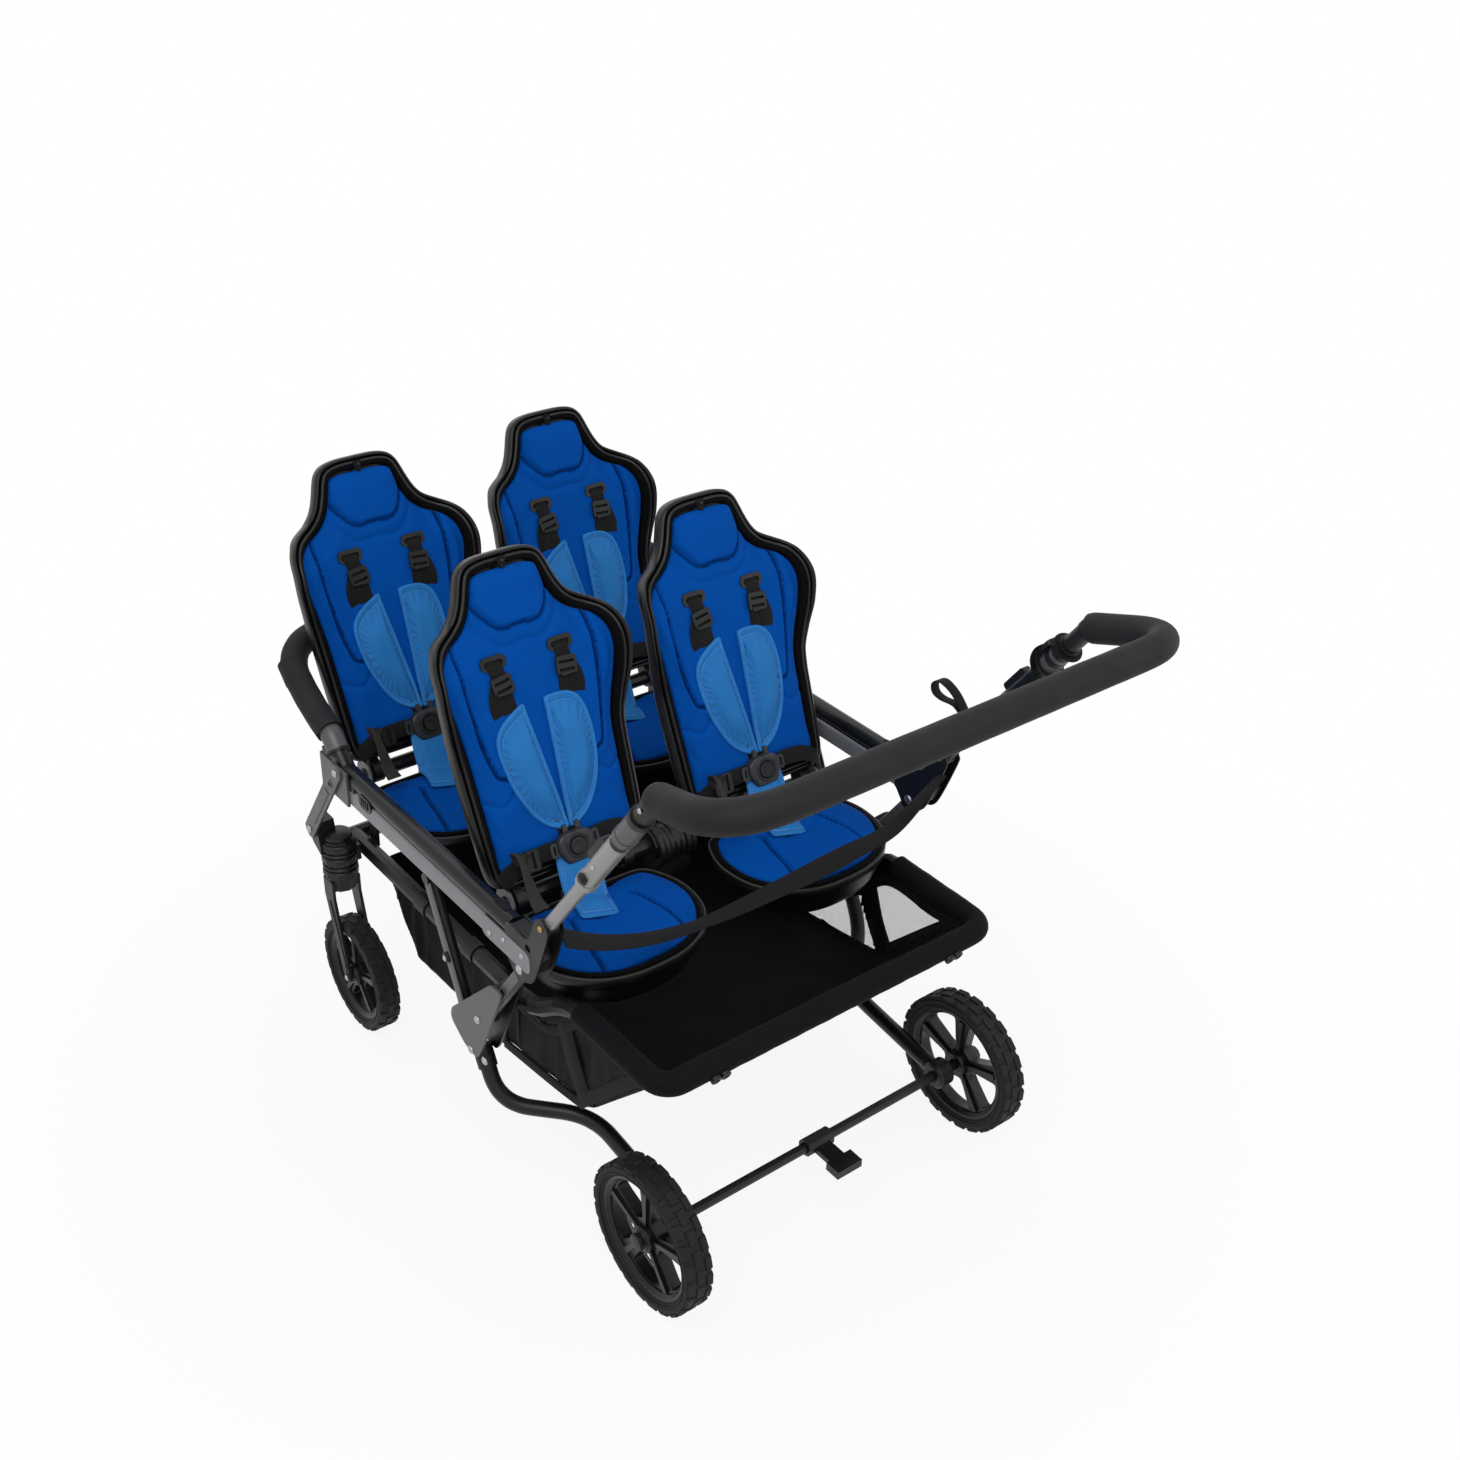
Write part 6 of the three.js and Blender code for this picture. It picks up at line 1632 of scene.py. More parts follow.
# Cheek of the hinge block and the block between its two cheeks, as distance along the stroller and height.
HINGE_CHEEK = [
    (216.3, 528), (216.3, 486), (212, 482), (196.3, 462.8), (188, 460), (178, 460), (168, 464), (146.3, 482),
    (113.5, 566), (113.2, 580), (118, 589), (127.3, 592.5), (136, 589), (142, 581), (162.3, 540), (205, 540),
    (213, 536),
]
HINGE_FILL = [
    (160, 538), (205, 538), (213, 530), (213, 486), (196, 468), (182, 468), (150, 486), (140, 512), (150, 532),
]


def build_rail(side):
    """Upper rail: round tube with a flat grey band below it, end plate and the hinge block's two cheeks."""
    way, body = SIDES[side], "upper_frame"
    x = way * RAIL_X
    shape = Shape(f"rail_{side}")
    for rear, height, outline, finish_name in (
        (62.0, 525.5, circle(13.9, 32), "rail_dark"),
        (62.0, 508, rounded_box(22, 20, 2), "rail_dark"),
        (61.0, 498.5, rounded_box(28, 32, 5.5, 5), "band_grey"),
    ):
        line = np.linspace((x, RAIL_REAR + rear, height), (x, RAIL_FRONT, height), 5)
        shape.add(sweep(line, outline, Z_AXIS), finish_name)
    # Rounded end plate on the outer face, and a slot in the top, drawn as a near-black sheet of painted shadow.
    shape.add(side_plate(rounded_box(122, 35, 13, 6) + (RAIL_REAR + 66, 498.5), 2.4, x + way * 13.6), "band_grey")
    slot = rounded_box(30, 9, 4, 5) + (RAIL_REAR + 95, 0)
    shape.add(slab(slot, 3.4, (x, 0, 539.0), Y_AXIS, (-1, 0, 0)), "dark")
    cheek, hole = smooth_path(HINGE_CHEEK, 4.0, closed=True), rounded_box(12, 10, 1.5, 3) + (160, 526)
    for edge in (-1, 1):
        shape.add(side_plate(cheek, 2.6, x + edge * 12.8, [hole] if edge == way else ()), "hardware")
    shape.add(side_plate(HINGE_FILL, 22, x), "hardware")
    # Oval lock button near the front with its ribs, and the front collar.
    shape.add(side_plate(rounded_box(38, 23, 11, 6) + (606, 513), 4.4, x + way * 13.4), "button")
    for step in (-9, -3, 3, 9):
        shape.add(side_plate(rounded_box(3, 13, 1.3, 3) + (606 + step, 513), 2.0, x + way * 16.0), "hardware")
    shape.add(sweep([(x, 640, 506), (x, 692.2, 506)], rounded_box(27.6, 47, 6, 5), Z_AXIS), "hardware")
    shape.build(body, "grey_frame", [f"upper_rail_{side}"], bevel=bpy.context.scene.stroller_frame.edge)
    places = ((15.2, 70, 503), (15.2, 106, 492), (14.4, 26, 503))
    spots = [((x + way * out, RAIL_REAR + run, height), (way, 0, 0)) for out, run, height in places]
    rivets(f"rail_rivets_{side}", body, spots)
    rivets(f"hinge_pins_{side}", body, both_faces(way, x, 14.4, LINK_HEAD), radius=0.0075, dome=0.4)
    rivets(f"arm_pivot_{side}", body, both_faces(way, x, 14.4, ARM_PIVOT), "brass", radius=0.0048)


def build_front_bracket(side):
    """Crossed ribs and the raised border on the outer face of a front bracket."""
    way = SIDES[side]
    face, middle = way * (RAIL_X + 14.2), (715.5, 515)
    shape = Shape(f"bracket_ribs_{side}")
    for low, high in ((489, 541), (541, 489)):
        rib = [(face, 699, low), (face, 731, high)]
        shape.add(sweep(rib, rounded_box(6.5, 3.2, 1.0, 3), (way, 0, 0)), "plate_grey")
    border, hole = rounded_box(43, 62, 7, 5) + middle, rounded_box(35, 54, 4, 5) + middle
    shape.add(side_plate(border, 3.0, face, [hole]), "plate_grey")
    shape.build("upper_frame", "grey_frame", bevel=bpy.context.scene.stroller_frame.edge)


FRONT_BAR = [
    (355, 766, 580.3), (355, 806, 592), (343, 905.3, 645), (-343, 905.3, 645), (-355, 806, 592), (-355, 766, 580.3),
]
# Lower end of the front bar, as distance along the stroller and height.
FRONT_BAR_END = ((690, 527), (709, 546), (728, 566), (748, 575), (768, 581))
GRIP_BAR = [(355, -103.1, 895.1), (373, -247.7, 942), (-373, -247.7, 942), (-355, -103.1, 895.1)]


def foam_bar(path, end_size, ripple, pace):
    """A foam tube that draws in at its two ends, with a faint ripple along it."""
    run = np.arange(len(path))
    sizes = np.where(np.minimum(run, run[::-1]) == 0, end_size, 1.0) * (1 + ripple * np.sin(run * pace))
    return tube(path, 21, 30, sizes=sizes)


def build_front_bar():
    """Foam-covered bar behind the front row, with its two bent tube ends."""
    shape = Shape("front_foam")
    shape.add(foam_bar(spaced(bent(FRONT_BAR, 76, 18), 7.0), 0.9, 0.006, 1.1), "foam")
    for way in (-1, 1):
        route = smooth_path([(way * RAIL_X, y, z) for y, z in FRONT_BAR_END], 4)
        shape.add(tube(route[:10], 14.6, 28), "rail_dark")
        shape.add(tube(route[8:], 17.2, 30), "plate_grey")
        shape.add(tube(route[7:9], 18.2, 30), "hardware")
    shape.build("upper_frame", "foam", ["front_bar"], angle=40)


def arm_point(share):
    """A point along the handle arm's own line, seen from the side: y and height."""
    return ARM_PIVOT[0] + share * math.cos(ARM_LEAN), ARM_PIVOT[1] + share * math.sin(ARM_LEAN)


# Tubes of a grip sleeve, as shares of its line, radius, sides and finish. None stands for the sleeve's own finish: grey
# anodising on the left, and black on the right as painted shade.
SLEEVE_TUBES = (
    (0, 0.5, 14, 32, None), (-0.004, 0.045, 15.0, 32, None), (0.49, 0.56, 12.6, 30, "hardware"),
    (0.55, 0.8, 15.2, 32, "plate_grey"), (0.56, 0.6, 16.0, 32, "plate_grey"), (0.77, 0.81, 16.2, 32, "hardware"),
    (0.8, 1, 13.2, 30, "hardware"),
)


def build_handle():
    """Grip: inner sleeves, grey connectors, dark rings and the long foam bar."""
    shape = Shape("grip_foam")
    path = spaced(bent(GRIP_BAR, 96, 20), 7.0)
    shape.add(foam_bar(path, 0.92, 0.004, 0.6), "foam")
    out = unit((0, math.sin(ARM_LEAN), -math.cos(ARM_LEAN)))
    for way in (-1, 1):
        low, high = (np.array([way * RAIL_X, *arm_point(share)]) for share in (150, 392))
        line = high - low
        for start, end, radius, sides, finish_name in SLEEVE_TUBES:
            # The right sleeve is painted black, as painted shade on the side turned from the light.
            finish_name = finish_name or ("arm_grey" if way < 0 else "tube_black")
            shape.add(tube([low + line * start, low + line * end], radius, sides), finish_name)
        shape.add(slab(rounded_box(52, 13, 5, 4), 13, low + line * 0.3 + out * 15, unit(line), out), "hardware")
        start, following = path[:2] if way > 0 else path[:-3:-1]
        shape.add(tube([high - line * 0.03, start], 14.6, 28), "hardware")
        cuff = [start + (high - start) * 0.05, start + (following - start) * 0.4]
        shape.add(tube(cuff, 19.8, 30), "hardware")
    shape.build("grip", "foam", ["handle_grip"], angle=40)


# Strap loop on the right handle arm: its route, and the directions that it faces along it, seen from the side.
ARM_LOOP = [
    (355, 84, 640), (355, 96, 664), (356, 122, 688), (357, 150, 697), (357, 166, 688), (356, 163, 674),
    (355, 146, 670), (355, 118, 672), (355, 98, 660),
]
ARM_LOOP_LEAN = (
    (0.8, -0.5), (0.8, -0.6), (0.5, -0.85), (0.1, -1), (-1, -0.3), (-0.6, 0.9), (0, 1), (0.1, 1), (-0.5, 0.9),
)


def build_grip_trim():
    """Lock button and rivets on each sleeve, and the clip and strap loop of the right arm."""
    trim = Shape("grip_trim")
    for way in (-1, 1):
        spot = (way * RAIL_X, *arm_point(172))
        trim.add(drum(8.4, 12.5, 17.8, 1.6, spot, (way, 0, 0), 28), "hardware")
        trim.add(drum(5.6, 16, 20.0, 1.6, spot, (way, 0, 0), 24), "button")
    for low, high in ((304, 314), (322, 332)):
        trim.add(tube([(RAIL_X, *arm_point(low)), (RAIL_X, *arm_point(high))], 15.8, 28), "hardware")
    for share in (292, 338):
        y, z = arm_point(share)
        turns = [(math.cos(a) * 15.9, math.sin(a) * 15.9) for a in np.linspace(0.1, 6.0, 16)]
        hoop = [(RAIL_X + across, y + up * 0.81, z + up * 0.59) for across, up in turns]
        trim.add_cloth(ribbon(hoop, 14, 1.8, (0.01, -0.59, 0.81)), "web_black")
    y, z = arm_point(312)
    spot, hole = (RAIL_X - 4, y + 16, z + 12), rounded_box(10, 12, 2, 3)
    trim.add(slab(rounded_box(30, 20, 5, 4), 6.5, spot, (0, -0.59, 0.81), X_AXIS, [hole]), "ladder")
    tail = [(350, y + 16, z + 14), (346, y + 28, z + 4), (347, y + 34, z - 14), (350, y + 30, z - 34)]
    trim.add_cloth(ribbon(tail, 14, 1.8, (0.1, 1, 0.4)), "web_black")
    trim.build("grip", "black_plastic")
    loop = Shape("arm_loop")
    loop.add_cloth(ribbon(ARM_LOOP, 16, 2.0, [(0, y, z) for y, z in ARM_LOOP_LEAN]), "web_black")
    loop.build("handle", "webbing")
    places = ((369, 205), (370.4, 372))
    spots = [((way * x, *arm_point(share)), (way, 0, 0)) for way in (-1, 1) for x, share in places]
    rivets("grip_rivets", "grip", spots, radius=0.0036)


def build_arm(side):
    """Handle arm, with the dark bush and the pin of its pivot."""
    way = SIDES[side]
    shape = Shape(f"arm_{side}")
    line = [(way * RAIL_X, *arm_point(share)) for share in (0, 22, 285)]
    # The right arm is painted black, as painted shade on the side turned from the light; the left shows its grey
    # anodising.
    shape.add(sweep(line, circle(9.5, 28), (way, 0, 0)), "arm_grey" if side == "left" else "tube_black")
    shape.add(drum(12, -9.6, 9.6, 1.6, line[0], X_AXIS, 36), "hardware")
    shape.add(drum(7.4, -10.9, 10.9, 0.8, line[0], X_AXIS, 28), "zinc")
    shape.build("handle", "grey_frame", [f"handle_arm_{side}"], angle=40)


# Outline of a knee plate round the foot of the rear link, as shares of its size along the link and across it.
KNEE_SIZE = 200
KNEE_TURN = math.radians(125)
KNEE_LINE = [(0.58, 0.03), (0.5, -0.09), (-0.33, -0.23), (-0.42, -0.18), (-0.42, 0.05), (-0.34, 0.19), (-0.25, 0.19)]


def knee_outline():
    """Outline of a knee plate, as distance along the stroller and height."""
    cos, sin = math.cos(KNEE_TURN), math.sin(KNEE_TURN)
    line = [(along * KNEE_SIZE, across * KNEE_SIZE) for along, across in KNEE_LINE]
    return [(LINK_FOOT[0] + a * cos - b * sin, LINK_FOOT[1] + a * sin + b * cos) for a, b in line]


def corner_bend(start, corner, end, steps):
    """Points of the soft bend that cuts one corner."""
    shares = [i / steps for i in range(steps + 1)]
    return [start * (1 - t) ** 2 + corner * 2 * t * (1 - t) + end * t * t for t in shares]


def rounded_line(outline, reach, steps=4):
    """A closed outline with its corners rounded."""
    outline = [np.asarray(p, dtype=float) for p in outline]
    result = []
    for before, corner, after in zip(outline[-1:] + outline[:-1], outline, outline[1:] + outline[:1]):
        cut = min(reach, np.linalg.norm(before - corner) * 0.45, np.linalg.norm(after - corner) * 0.45)
        result += corner_bend(corner + unit(before - corner) * cut, corner, corner + unit(after - corner) * cut, steps)
    return result


def build_rear_leg(side):
    """Rear leg: two knee plates, the standoff between leg and lower frame, the bent tube and its axle housing."""
    way, body = SIDES[side], "chassis"
    axis, axle, x = (way, 0, 0), (0, AXLE_Y, REAR_WHEEL["radius"]), way * RAIL_X
    plates = Shape(f"knee_plates_{side}")
    outline = rounded_line(knee_outline(), 16, 5)
    for plane, finish_name in ((338.7, "tube_black"), (371.3, "plate_grey")):
        plates.add(side_plate(outline, 4, way * plane), finish_name)
    plates.build(body, "grey_frame", [f"rear_leg_{side}"], bevel=bpy.context.scene.stroller_frame.edge)
    leg = Shape(f"leg_{side}")
    route = [(x, 322, 240), (x, 278, 158), (way * 250, 190, 142), (way * 250, *axle[1:])]
    leg.add(tube(spaced(bent(route, 46, 10), 6), 12, 28), "tube_black")
    leg.add(tube([(x, 322, 240), (x, 306, 210)], 14.5, 28), "hardware")
    leg.add(drum(9, 310.3, 337, 1.0, (0, 298, 315), axis, 24), "hardware")
    leg.add(drum(22, 237, 263, 2.4, axle, axis, 40), "hardware")
    leg.add(collar(9, 18, 235.6, 264.4, 1.0, axle, axis, 36), "hardware")
    leg.build(body, "black_tube", [f"rear_leg_{side}"], angle=40)
    spots = [((way * 373.4, y, z), axis) for y, z in ((298, 312), (322, 240), (283, 246))]
    rivets(f"knee_rivets_{side}", body, spots, radius=0.0068, dome=0.45)


def link_point(foot, head, reach):
    """A point on a link's middle line, at a reach from its foot, or back from its head where that is negative."""
    return (foot if reach > 0 else head) + unit(np.subtract(head, foot)) * reach


def build_link_details(side):
    """Grey faces and knobs on the brace, the rear link and the front link, and holes drawn as near-black painted
    shadow.
    """
    way, edge = SIDES[side], bpy.context.scene.stroller_frame.edge
    axis, x = (way, 0, 0), way * RAIL_X

    def strip(face, ends, near, far, width, thickness, corner, lean=axis, steps=3):
        line = [(face, *link_point(*ends, reach)) for reach in (near, far)]
        return sweep(line, rounded_box(width, thickness, corner, steps), lean)

    brace, rear, front = (BRACE_FOOT, BRACE_TOP), (LINK_FOOT, LINK_HEAD), (FRONT_LINK_FOOT, FRONT_LINK_HEAD)
    shape = Shape(f"brace_face_{side}")
    shape.add(strip(way * 363.6, brace, 8, -6, 19, 2.6, 1.2), "plate_grey")
    knob = (x, *link_point(*brace, 92))
    shape.add(drum(8.6, 8.5, 14.6, 1.8, knob, axis, 28), "hardware")
    shape.add(drum(4.6, 14, 16.6, 1.2, knob, axis, 20), "zinc")
    shape.build("braces", "grey_frame", bevel=edge)
    shape = Shape(f"link_face_{side}")
    for face in (x + 8.8, x - 8.8):
        shape.add(strip(face, rear, 22, -26, 15, 3.6, 1.2, X_AXIS), "plate_grey")
    # The rear link's hole is a thin near-black strip of painted shadow.
    shape.add(strip(x + way * 10.7, rear, 81, 111, 7.5, 0.8, 0.3, steps=2), "dark")
    shape.build("rear_links", "grey_frame", bevel=edge * 0.5)
    shape = Shape(f"front_link_detail_{side}")
    shape.add(strip(way * 378.0, front, 30, -60, 13, 1.6, 0.7), "plate_grey")
    spot = (0, *link_point(*front, -36))
    shape.add(collar(4.2, 7.0, 377.0, 379.0, 0.5, spot, axis, 28), "plate_grey")
    # The front link's hole is a near-black disc of painted shadow.
    shape.add(drum(4.6, 376.8, 377.9, 0.2, spot, axis, 24), "dark")
    shape.build("front_links", "grey_frame", bevel=edge * 0.5)
    for name, body, out, spot in (
        ("pins", "front_links", 378.0, FRONT_LINK_HEAD),
        ("foot", "chassis", 378.4, FRONT_LINK_FOOT),
    ):
        rivets(f"front_link_{name}_{side}", body, [((way * out, *spot), axis)], radius=0.0066, dome=0.45)


def build_lower_detail():
    """Dark clips and the fabric sleeve round the rear bar, and the hub's rings between the seats."""
    shape = Shape("lower_trim")
    for way in (-1, 1):
        for x in (206, 222):
            spot = (way * x, REAR_BAR_Y - 17.5, REAR_BAR_Z - 8)
            shape.add(collar(3.4, 8.0, -3, 3, 1.0, spot, (0, 1, 0.4), 24), "hardware")
            shape.add(drum(3.6, -1.5, 1.2, 0.4, spot, (0, 1, 0.4), 16), "ladder")
        for rear in (560, 420):
            ends = [(way * LOWER_X, rear, LOWER_Z), (way * LOWER_X, rear + 30, LOWER_Z)]
            shape.add(tube(ends, 16.0, 32), "hardware")
    shape.build("chassis", "black_plastic", angle=40)
    sleeve = Shape("rear_sleeve")
    corners = ((-1, 148), (-1, REAR_BAR_Y), (1, REAR_BAR_Y), (1, 148))
    route = spaced(bent([(way * LOWER_X, y, REAR_BAR_Z) for way, y in corners], 36, 12), 6)
    run = np.arange(len(route))
    sizes = 1 + 0.012 * np.sin(run * 0.61) + 0.008 * np.sin(run * 1.37)
    sleeve.add(tube(route, 17.0, 26, sizes=sizes), "tub")
    sleeve.build("chassis", "tub_fabric", angle=60)
    hub = Shape("carrier_hubs")
    for y in HINGE_Y.values():
        for x in (-29, -19.5, -10, 0, 10, 19.5, 29):
            size = 30.5 if x % 10 == 0 else 32.5
            hub.add(collar(20, size, x - 4.2, x + 4.2, 1.4, (0, y, HINGE_Z - 6), X_AXIS, 44), "hardware")
        hub.add(side_plate(rounded_box(48, 44, 9, 5) + (y, 412), 54, 0), "hardware")
    hub.build("chassis", "black_plastic", angle=30)


# Plate of the recline hardware, as distance from the hinge and height.
RECLINER_PLATE = [(-20, 434), (22, 434), (26, 458), (12, 474), (-12, 474), (-24, 456)]


def build_recliners():
    """Grey recline hardware on the outer side of each seat hinge."""
    for row, y in HINGE_Y.items():
        shape = Shape(f"recliner_{row}")
        plate = rounded_line([(y + offset, height) for offset, height in RECLINER_PLATE], 8, 4)
        for way in (-1, 1):
            shape.add(side_plate(plate, 3.2, way * 286), "plate_grey")
            shape.add(drum(11, 285, 291.5, 1.4, (0, y, HINGE_Z), (way, 0, 0), 32), "hardware")
            shape.add(drum(5.4, 290, 293.5, 1.2, (0, y, HINGE_Z), (way, 0, 0), 24), "zinc")
        shape.build("chassis", "grey_frame", bevel=bpy.context.scene.stroller_frame.edge)


# Fabric tub: an open trough of thin cloth hung from the lower frame, with pressed creases and mesh windows. Its half
# width, its floor and its rim as distance along the stroller and height, and the thickness of its cloth.
TUB_X = 289.0
TUB_FLOOR = [(-20, 373.5), (150, 198), (445.2, 157.2), (642, 150), (742, 300.5)]
TUB_RIM = [(-20, 386), (158, 386), (246, 313), (742, 313)]
TUB_CLOTH = 1.4


def tub_heights(y):
    """Floor and rim height of the tub at a distance along it."""
    return tuple(float(np.interp(y, *zip(*line))) for line in (TUB_FLOOR, TUB_RIM))


def in_window(y, z):
    """True inside the mesh windows of the tub's sides: behind the sloping tape, under the rim, clear of the strap."""
    floor, rim = tub_heights(y)
    slope = (y + 20) * 175.5 / 170 - (373.5 - z)
    return 26 < slope and y < 372 and floor + 16 < z < rim - 30 and abs(y - 196 + (306 - z) * 0.5) > 21


def tub_section(floor, rim):
    """The tub's section as x and height, from the left rim down, across the floor and up to the right rim."""
    corner = min(26.0, max(rim - floor, 0.4) * 0.48)
    half = [(-TUB_X, rim), (-TUB_X, floor + corner)]
    for angle in np.linspace(0.15, math.pi / 2, 7):
        half.append((-TUB_X + corner * (1 - math.cos(angle)), floor + corner * (1 - math.sin(angle))))
    return np.array(half + [(-x, z) for x, z in half[::-1]])


def tub_faces():
    """Outer and inner face of the tub, with vertical creases in its walls and waves in its floor."""
    outer, inner = [], []
    for y in np.concatenate([np.linspace(-19.6, 150, 40), np.linspace(154, 642, 90), np.linspace(646, 741.6, 24)]):
        floor, rim = tub_heights(y)
        section = tub_section(floor, rim)
        run = run_along(section)
        x, z = picked(section, run, np.linspace(0, 1, 121) * run[-1]).T
        wall = np.clip((np.abs(x) - TUB_X + 30) / 30, 0, 1)
        depth = ease((rim - z) / 40) * ease((z - floor + 8) / 40) * wall
        crease = 2.6 * np.sin(y / 21.0 + 1.3 * np.sin(y / 47.0)) + 1.5 * np.sin(y / 8.7 + 2.0)
        fold = (crease + 1.2 * np.sin(z / 17.0 + y / 60.0)) * depth
        x = x - np.sign(x) * (np.abs(fold) * 0.9 + 1.4 * depth)
        wave = (1 - wall) * (1.6 * np.sin(y / 33.0 + x / 51.0) + np.sin(x / 19.0)) * ease((TUB_X - np.abs(x)) / 60)
        z = z + np.abs(wave) * ease(max(rim - floor, 0.4) / 40)
        line = np.column_stack([x, np.full(len(x), y), z])
        inward = np.column_stack([-np.sign(x) * wall, np.zeros(len(x)), 1 - wall])
        outer.append(line)
        inner.append(line + inward / np.maximum(np.linalg.norm(inward, axis=1, keepdims=True), 1e-6) * TUB_CLOTH)
    return np.array(outer), np.array(inner)


def build_tub():
    """Side walls and floor as one continuous skin, two-sided, with its mesh windows."""
    skin, inner = tub_faces()
    shape = Shape("fabric_tub_cloth")
    points, faces = two_faced(skin, inner)
    shape.add((points, faces), "tub")
    shape.finishes.append("mesh")
    for index, face in enumerate(faces):
        x, y, z = points[list(face)].mean(axis=0)
        if abs(x) > TUB_X - 12 and in_window(y, z):
            shape.marks[index] = 1
    piece = shape.build("chassis", "tub_fabric", ["fabric_tub"], angle=70)
    build_tub_hems()
    build_tub_windows()


def build_tub_hems():
    """Hem bands along the tub's rims, thin grey tapes below them and the seams down its walls."""
    hem = Shape("tub_hems")
    for way in (-1, 1):
        line = [(way * (TUB_X + 0.6), y, tub_heights(y)[1] - 7) for y in (170, 200, 248, 260, 400, 560, 738)]
        hem.add_cloth(ribbon(line, 15, 1.8, (way, 0, 0.05)), "web_black")
        runs = (262, 330, 400, 480, 560, 640, 700)
        tape = [(way * (TUB_X + 1.4), y, tub_heights(y)[1] - 24 - 3 * math.sin(y / 60)) for y in runs]
        hem.add_cloth(ribbon(tape, 5, 1.2, (way, 0, 0.05)), "web_grey")
        for y in (330, 520, 690):
            floor, rim = tub_heights(y)
            seam = [(way * (TUB_X - 1.5), y, z) for z in np.linspace(rim - 14, floor + 30, 8)]
            hem.add_cloth(ribbon(seam, 7, 1.4, (way, 0, 0.02)), "web_black")
    hem.build("chassis", "tub_fabric")


# Tapes that edge a mesh window: width, and the line as distance along the stroller and height.
WINDOW_TAPES = (
    (20, [(-6, 384), (60, 318), (170, 203)]),
    (40, [(203, 330), (180, 270), (146, 214)]),
    (16, [(-2, 368), (60, 358), (158, 357), (246, 287), (372, 283)]),
    (16, [(372, 290), (372, 230), (372, 172)]),
    (16, [(160, 206), (240, 192), (372, 174)]),
)


def build_tub_windows():
    """Tapes that edge the mesh windows of both sides, on the outer and the inner face of the cloth."""
    shape = Shape("tub_window_tapes")
    for way in (-1, 1):
        for width, line in WINDOW_TAPES:
            for offset in (0.9, -1.6):
                tape = [(way * (TUB_X - 1.6) + way * offset, y, z) for y, z in line]
                shape.add_cloth(ribbon(tape, width, 1.2, (way, 0, 0.02)), "web_black")
    shape.build("chassis", "tub_fabric")


# Strap between the hinge blocks: half its length, its rest place along the stroller and the height of its ends.
STRAP_REACH = 340
STRAP_Y = 119.3
STRAP_Z = 556


def build_strap():
    """Wide webbing strap that sags between the two hinge blocks."""
    x = np.linspace(-STRAP_REACH, STRAP_REACH, 61)
    z = STRAP_Z - 80 * (1 - np.abs(x / STRAP_REACH) ** 3) - 12 * bell(x - 245, 55)
    line = np.column_stack([x, STRAP_Y + 2.0 * np.sin(x / 70), z])
    # It faces forward and up, but for one twist near its left third and its right end.
    tilt = np.radians(-20 + 40 * bell(x + 128, 34) + 50 * ease((x - 110) / 110))
    lean = np.column_stack([np.zeros(len(x)), np.sin(tilt), np.cos(tilt)])
    shape = Shape("strap_webbing")
    shape.add_cloth(ribbon(line, 34, 2.0, lean), "web_black")
    piece = shape.build("upper_frame", "webbing", ["strap"], angle=60)
    float(run_along(line)[-1]) * MM
    tuple(at(0, STRAP_Y, STRAP_Z + 2))
    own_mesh(piece)


# Cap on a caster's suspension housing, as radius and height.
CASTER_CAP = [(0, 350), (20, 350), (23, 352), (22, 357), (14, 361), (0, 362)]


def build_casters():
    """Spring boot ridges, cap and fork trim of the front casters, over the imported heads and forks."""
    for side, way in SIDES.items():
        x, y = way * CASTER[0], CASTER[1]
        head = Shape(f"caster_trim_{side}")
        for z in np.linspace(283, 343, 8):
            head.add(collar(22, 28.3, -2.6, 2.6, 1.4, (x, y, z), Z_AXIS, 40), "hardware")
        head.add(turned(CASTER_CAP, (x, y, 0), Z_AXIS, 36), "hardware")
        head.build("chassis", "black_plastic", angle=30)
        fork = Shape(f"fork_trim_{side}")
        hub = (x, FRONT_WHEEL["y"], FRONT_WHEEL["radius"])
        fork.add(drum(9, 19.5, 27.6, 1.6, hub, (way, 0, 0), 28), "hardware")
        fork.add(drum(5, 27, 29.4, 1.0, hub, (way, 0, 0), 20), "zinc")
        fork.add(drum(9, 19.5, 27.6, 1.6, hub, (-way, 0, 0), 28), "hardware")
        for edge in (-1, 1):
            rib = smooth_path([(x + edge * 25.6, y, z) for y, z in ((775, 232), (756, 176), (738, 112))], 6)
            fork.add(sweep(rib, rounded_box(7, 2.2, 0.9, 3), (edge, 0, 0)), "hardware")
        fork.build(f"fork_{side}", "black_plastic", angle=30)


# Cap on the end of the rear axle, as radius and distance from the middle of the stroller.
AXLE_CAP = [(0, 322.6), (13, 322.6), (13, 326.4), (11.6, 328.2), (5, 329.0), (0, 329.0)]


def build_axle_caps():
    """The caps on the two ends of the rear axle."""
    shape = Shape("axle_caps")
    for way in (-1, 1):
        shape.add(turned(AXLE_CAP, (0, AXLE_Y, REAR_WHEEL["radius"]), (way, 0, 0), 36), "hardware")
    shape.build("chassis", "black_plastic", angle=30)


# Stage. Half the side of the floor is in metres. A light has its name, its place in metres, its power in watts and
# its side in metres, and all lights are turned to one spot inside the stroller.
FLOOR_HALF = 6.0
LIGHTS = (
    ("Key", (-1.5, -1.2, 2.9), 40, 1.9),
    ("Fill", (1.9, -1.9, 1.9), 16, 2.6),
    ("Back", (0.3, 2.2, 2.4), 14, 2.4),
)
LIT_SPOT = (0, 0, 0.4)


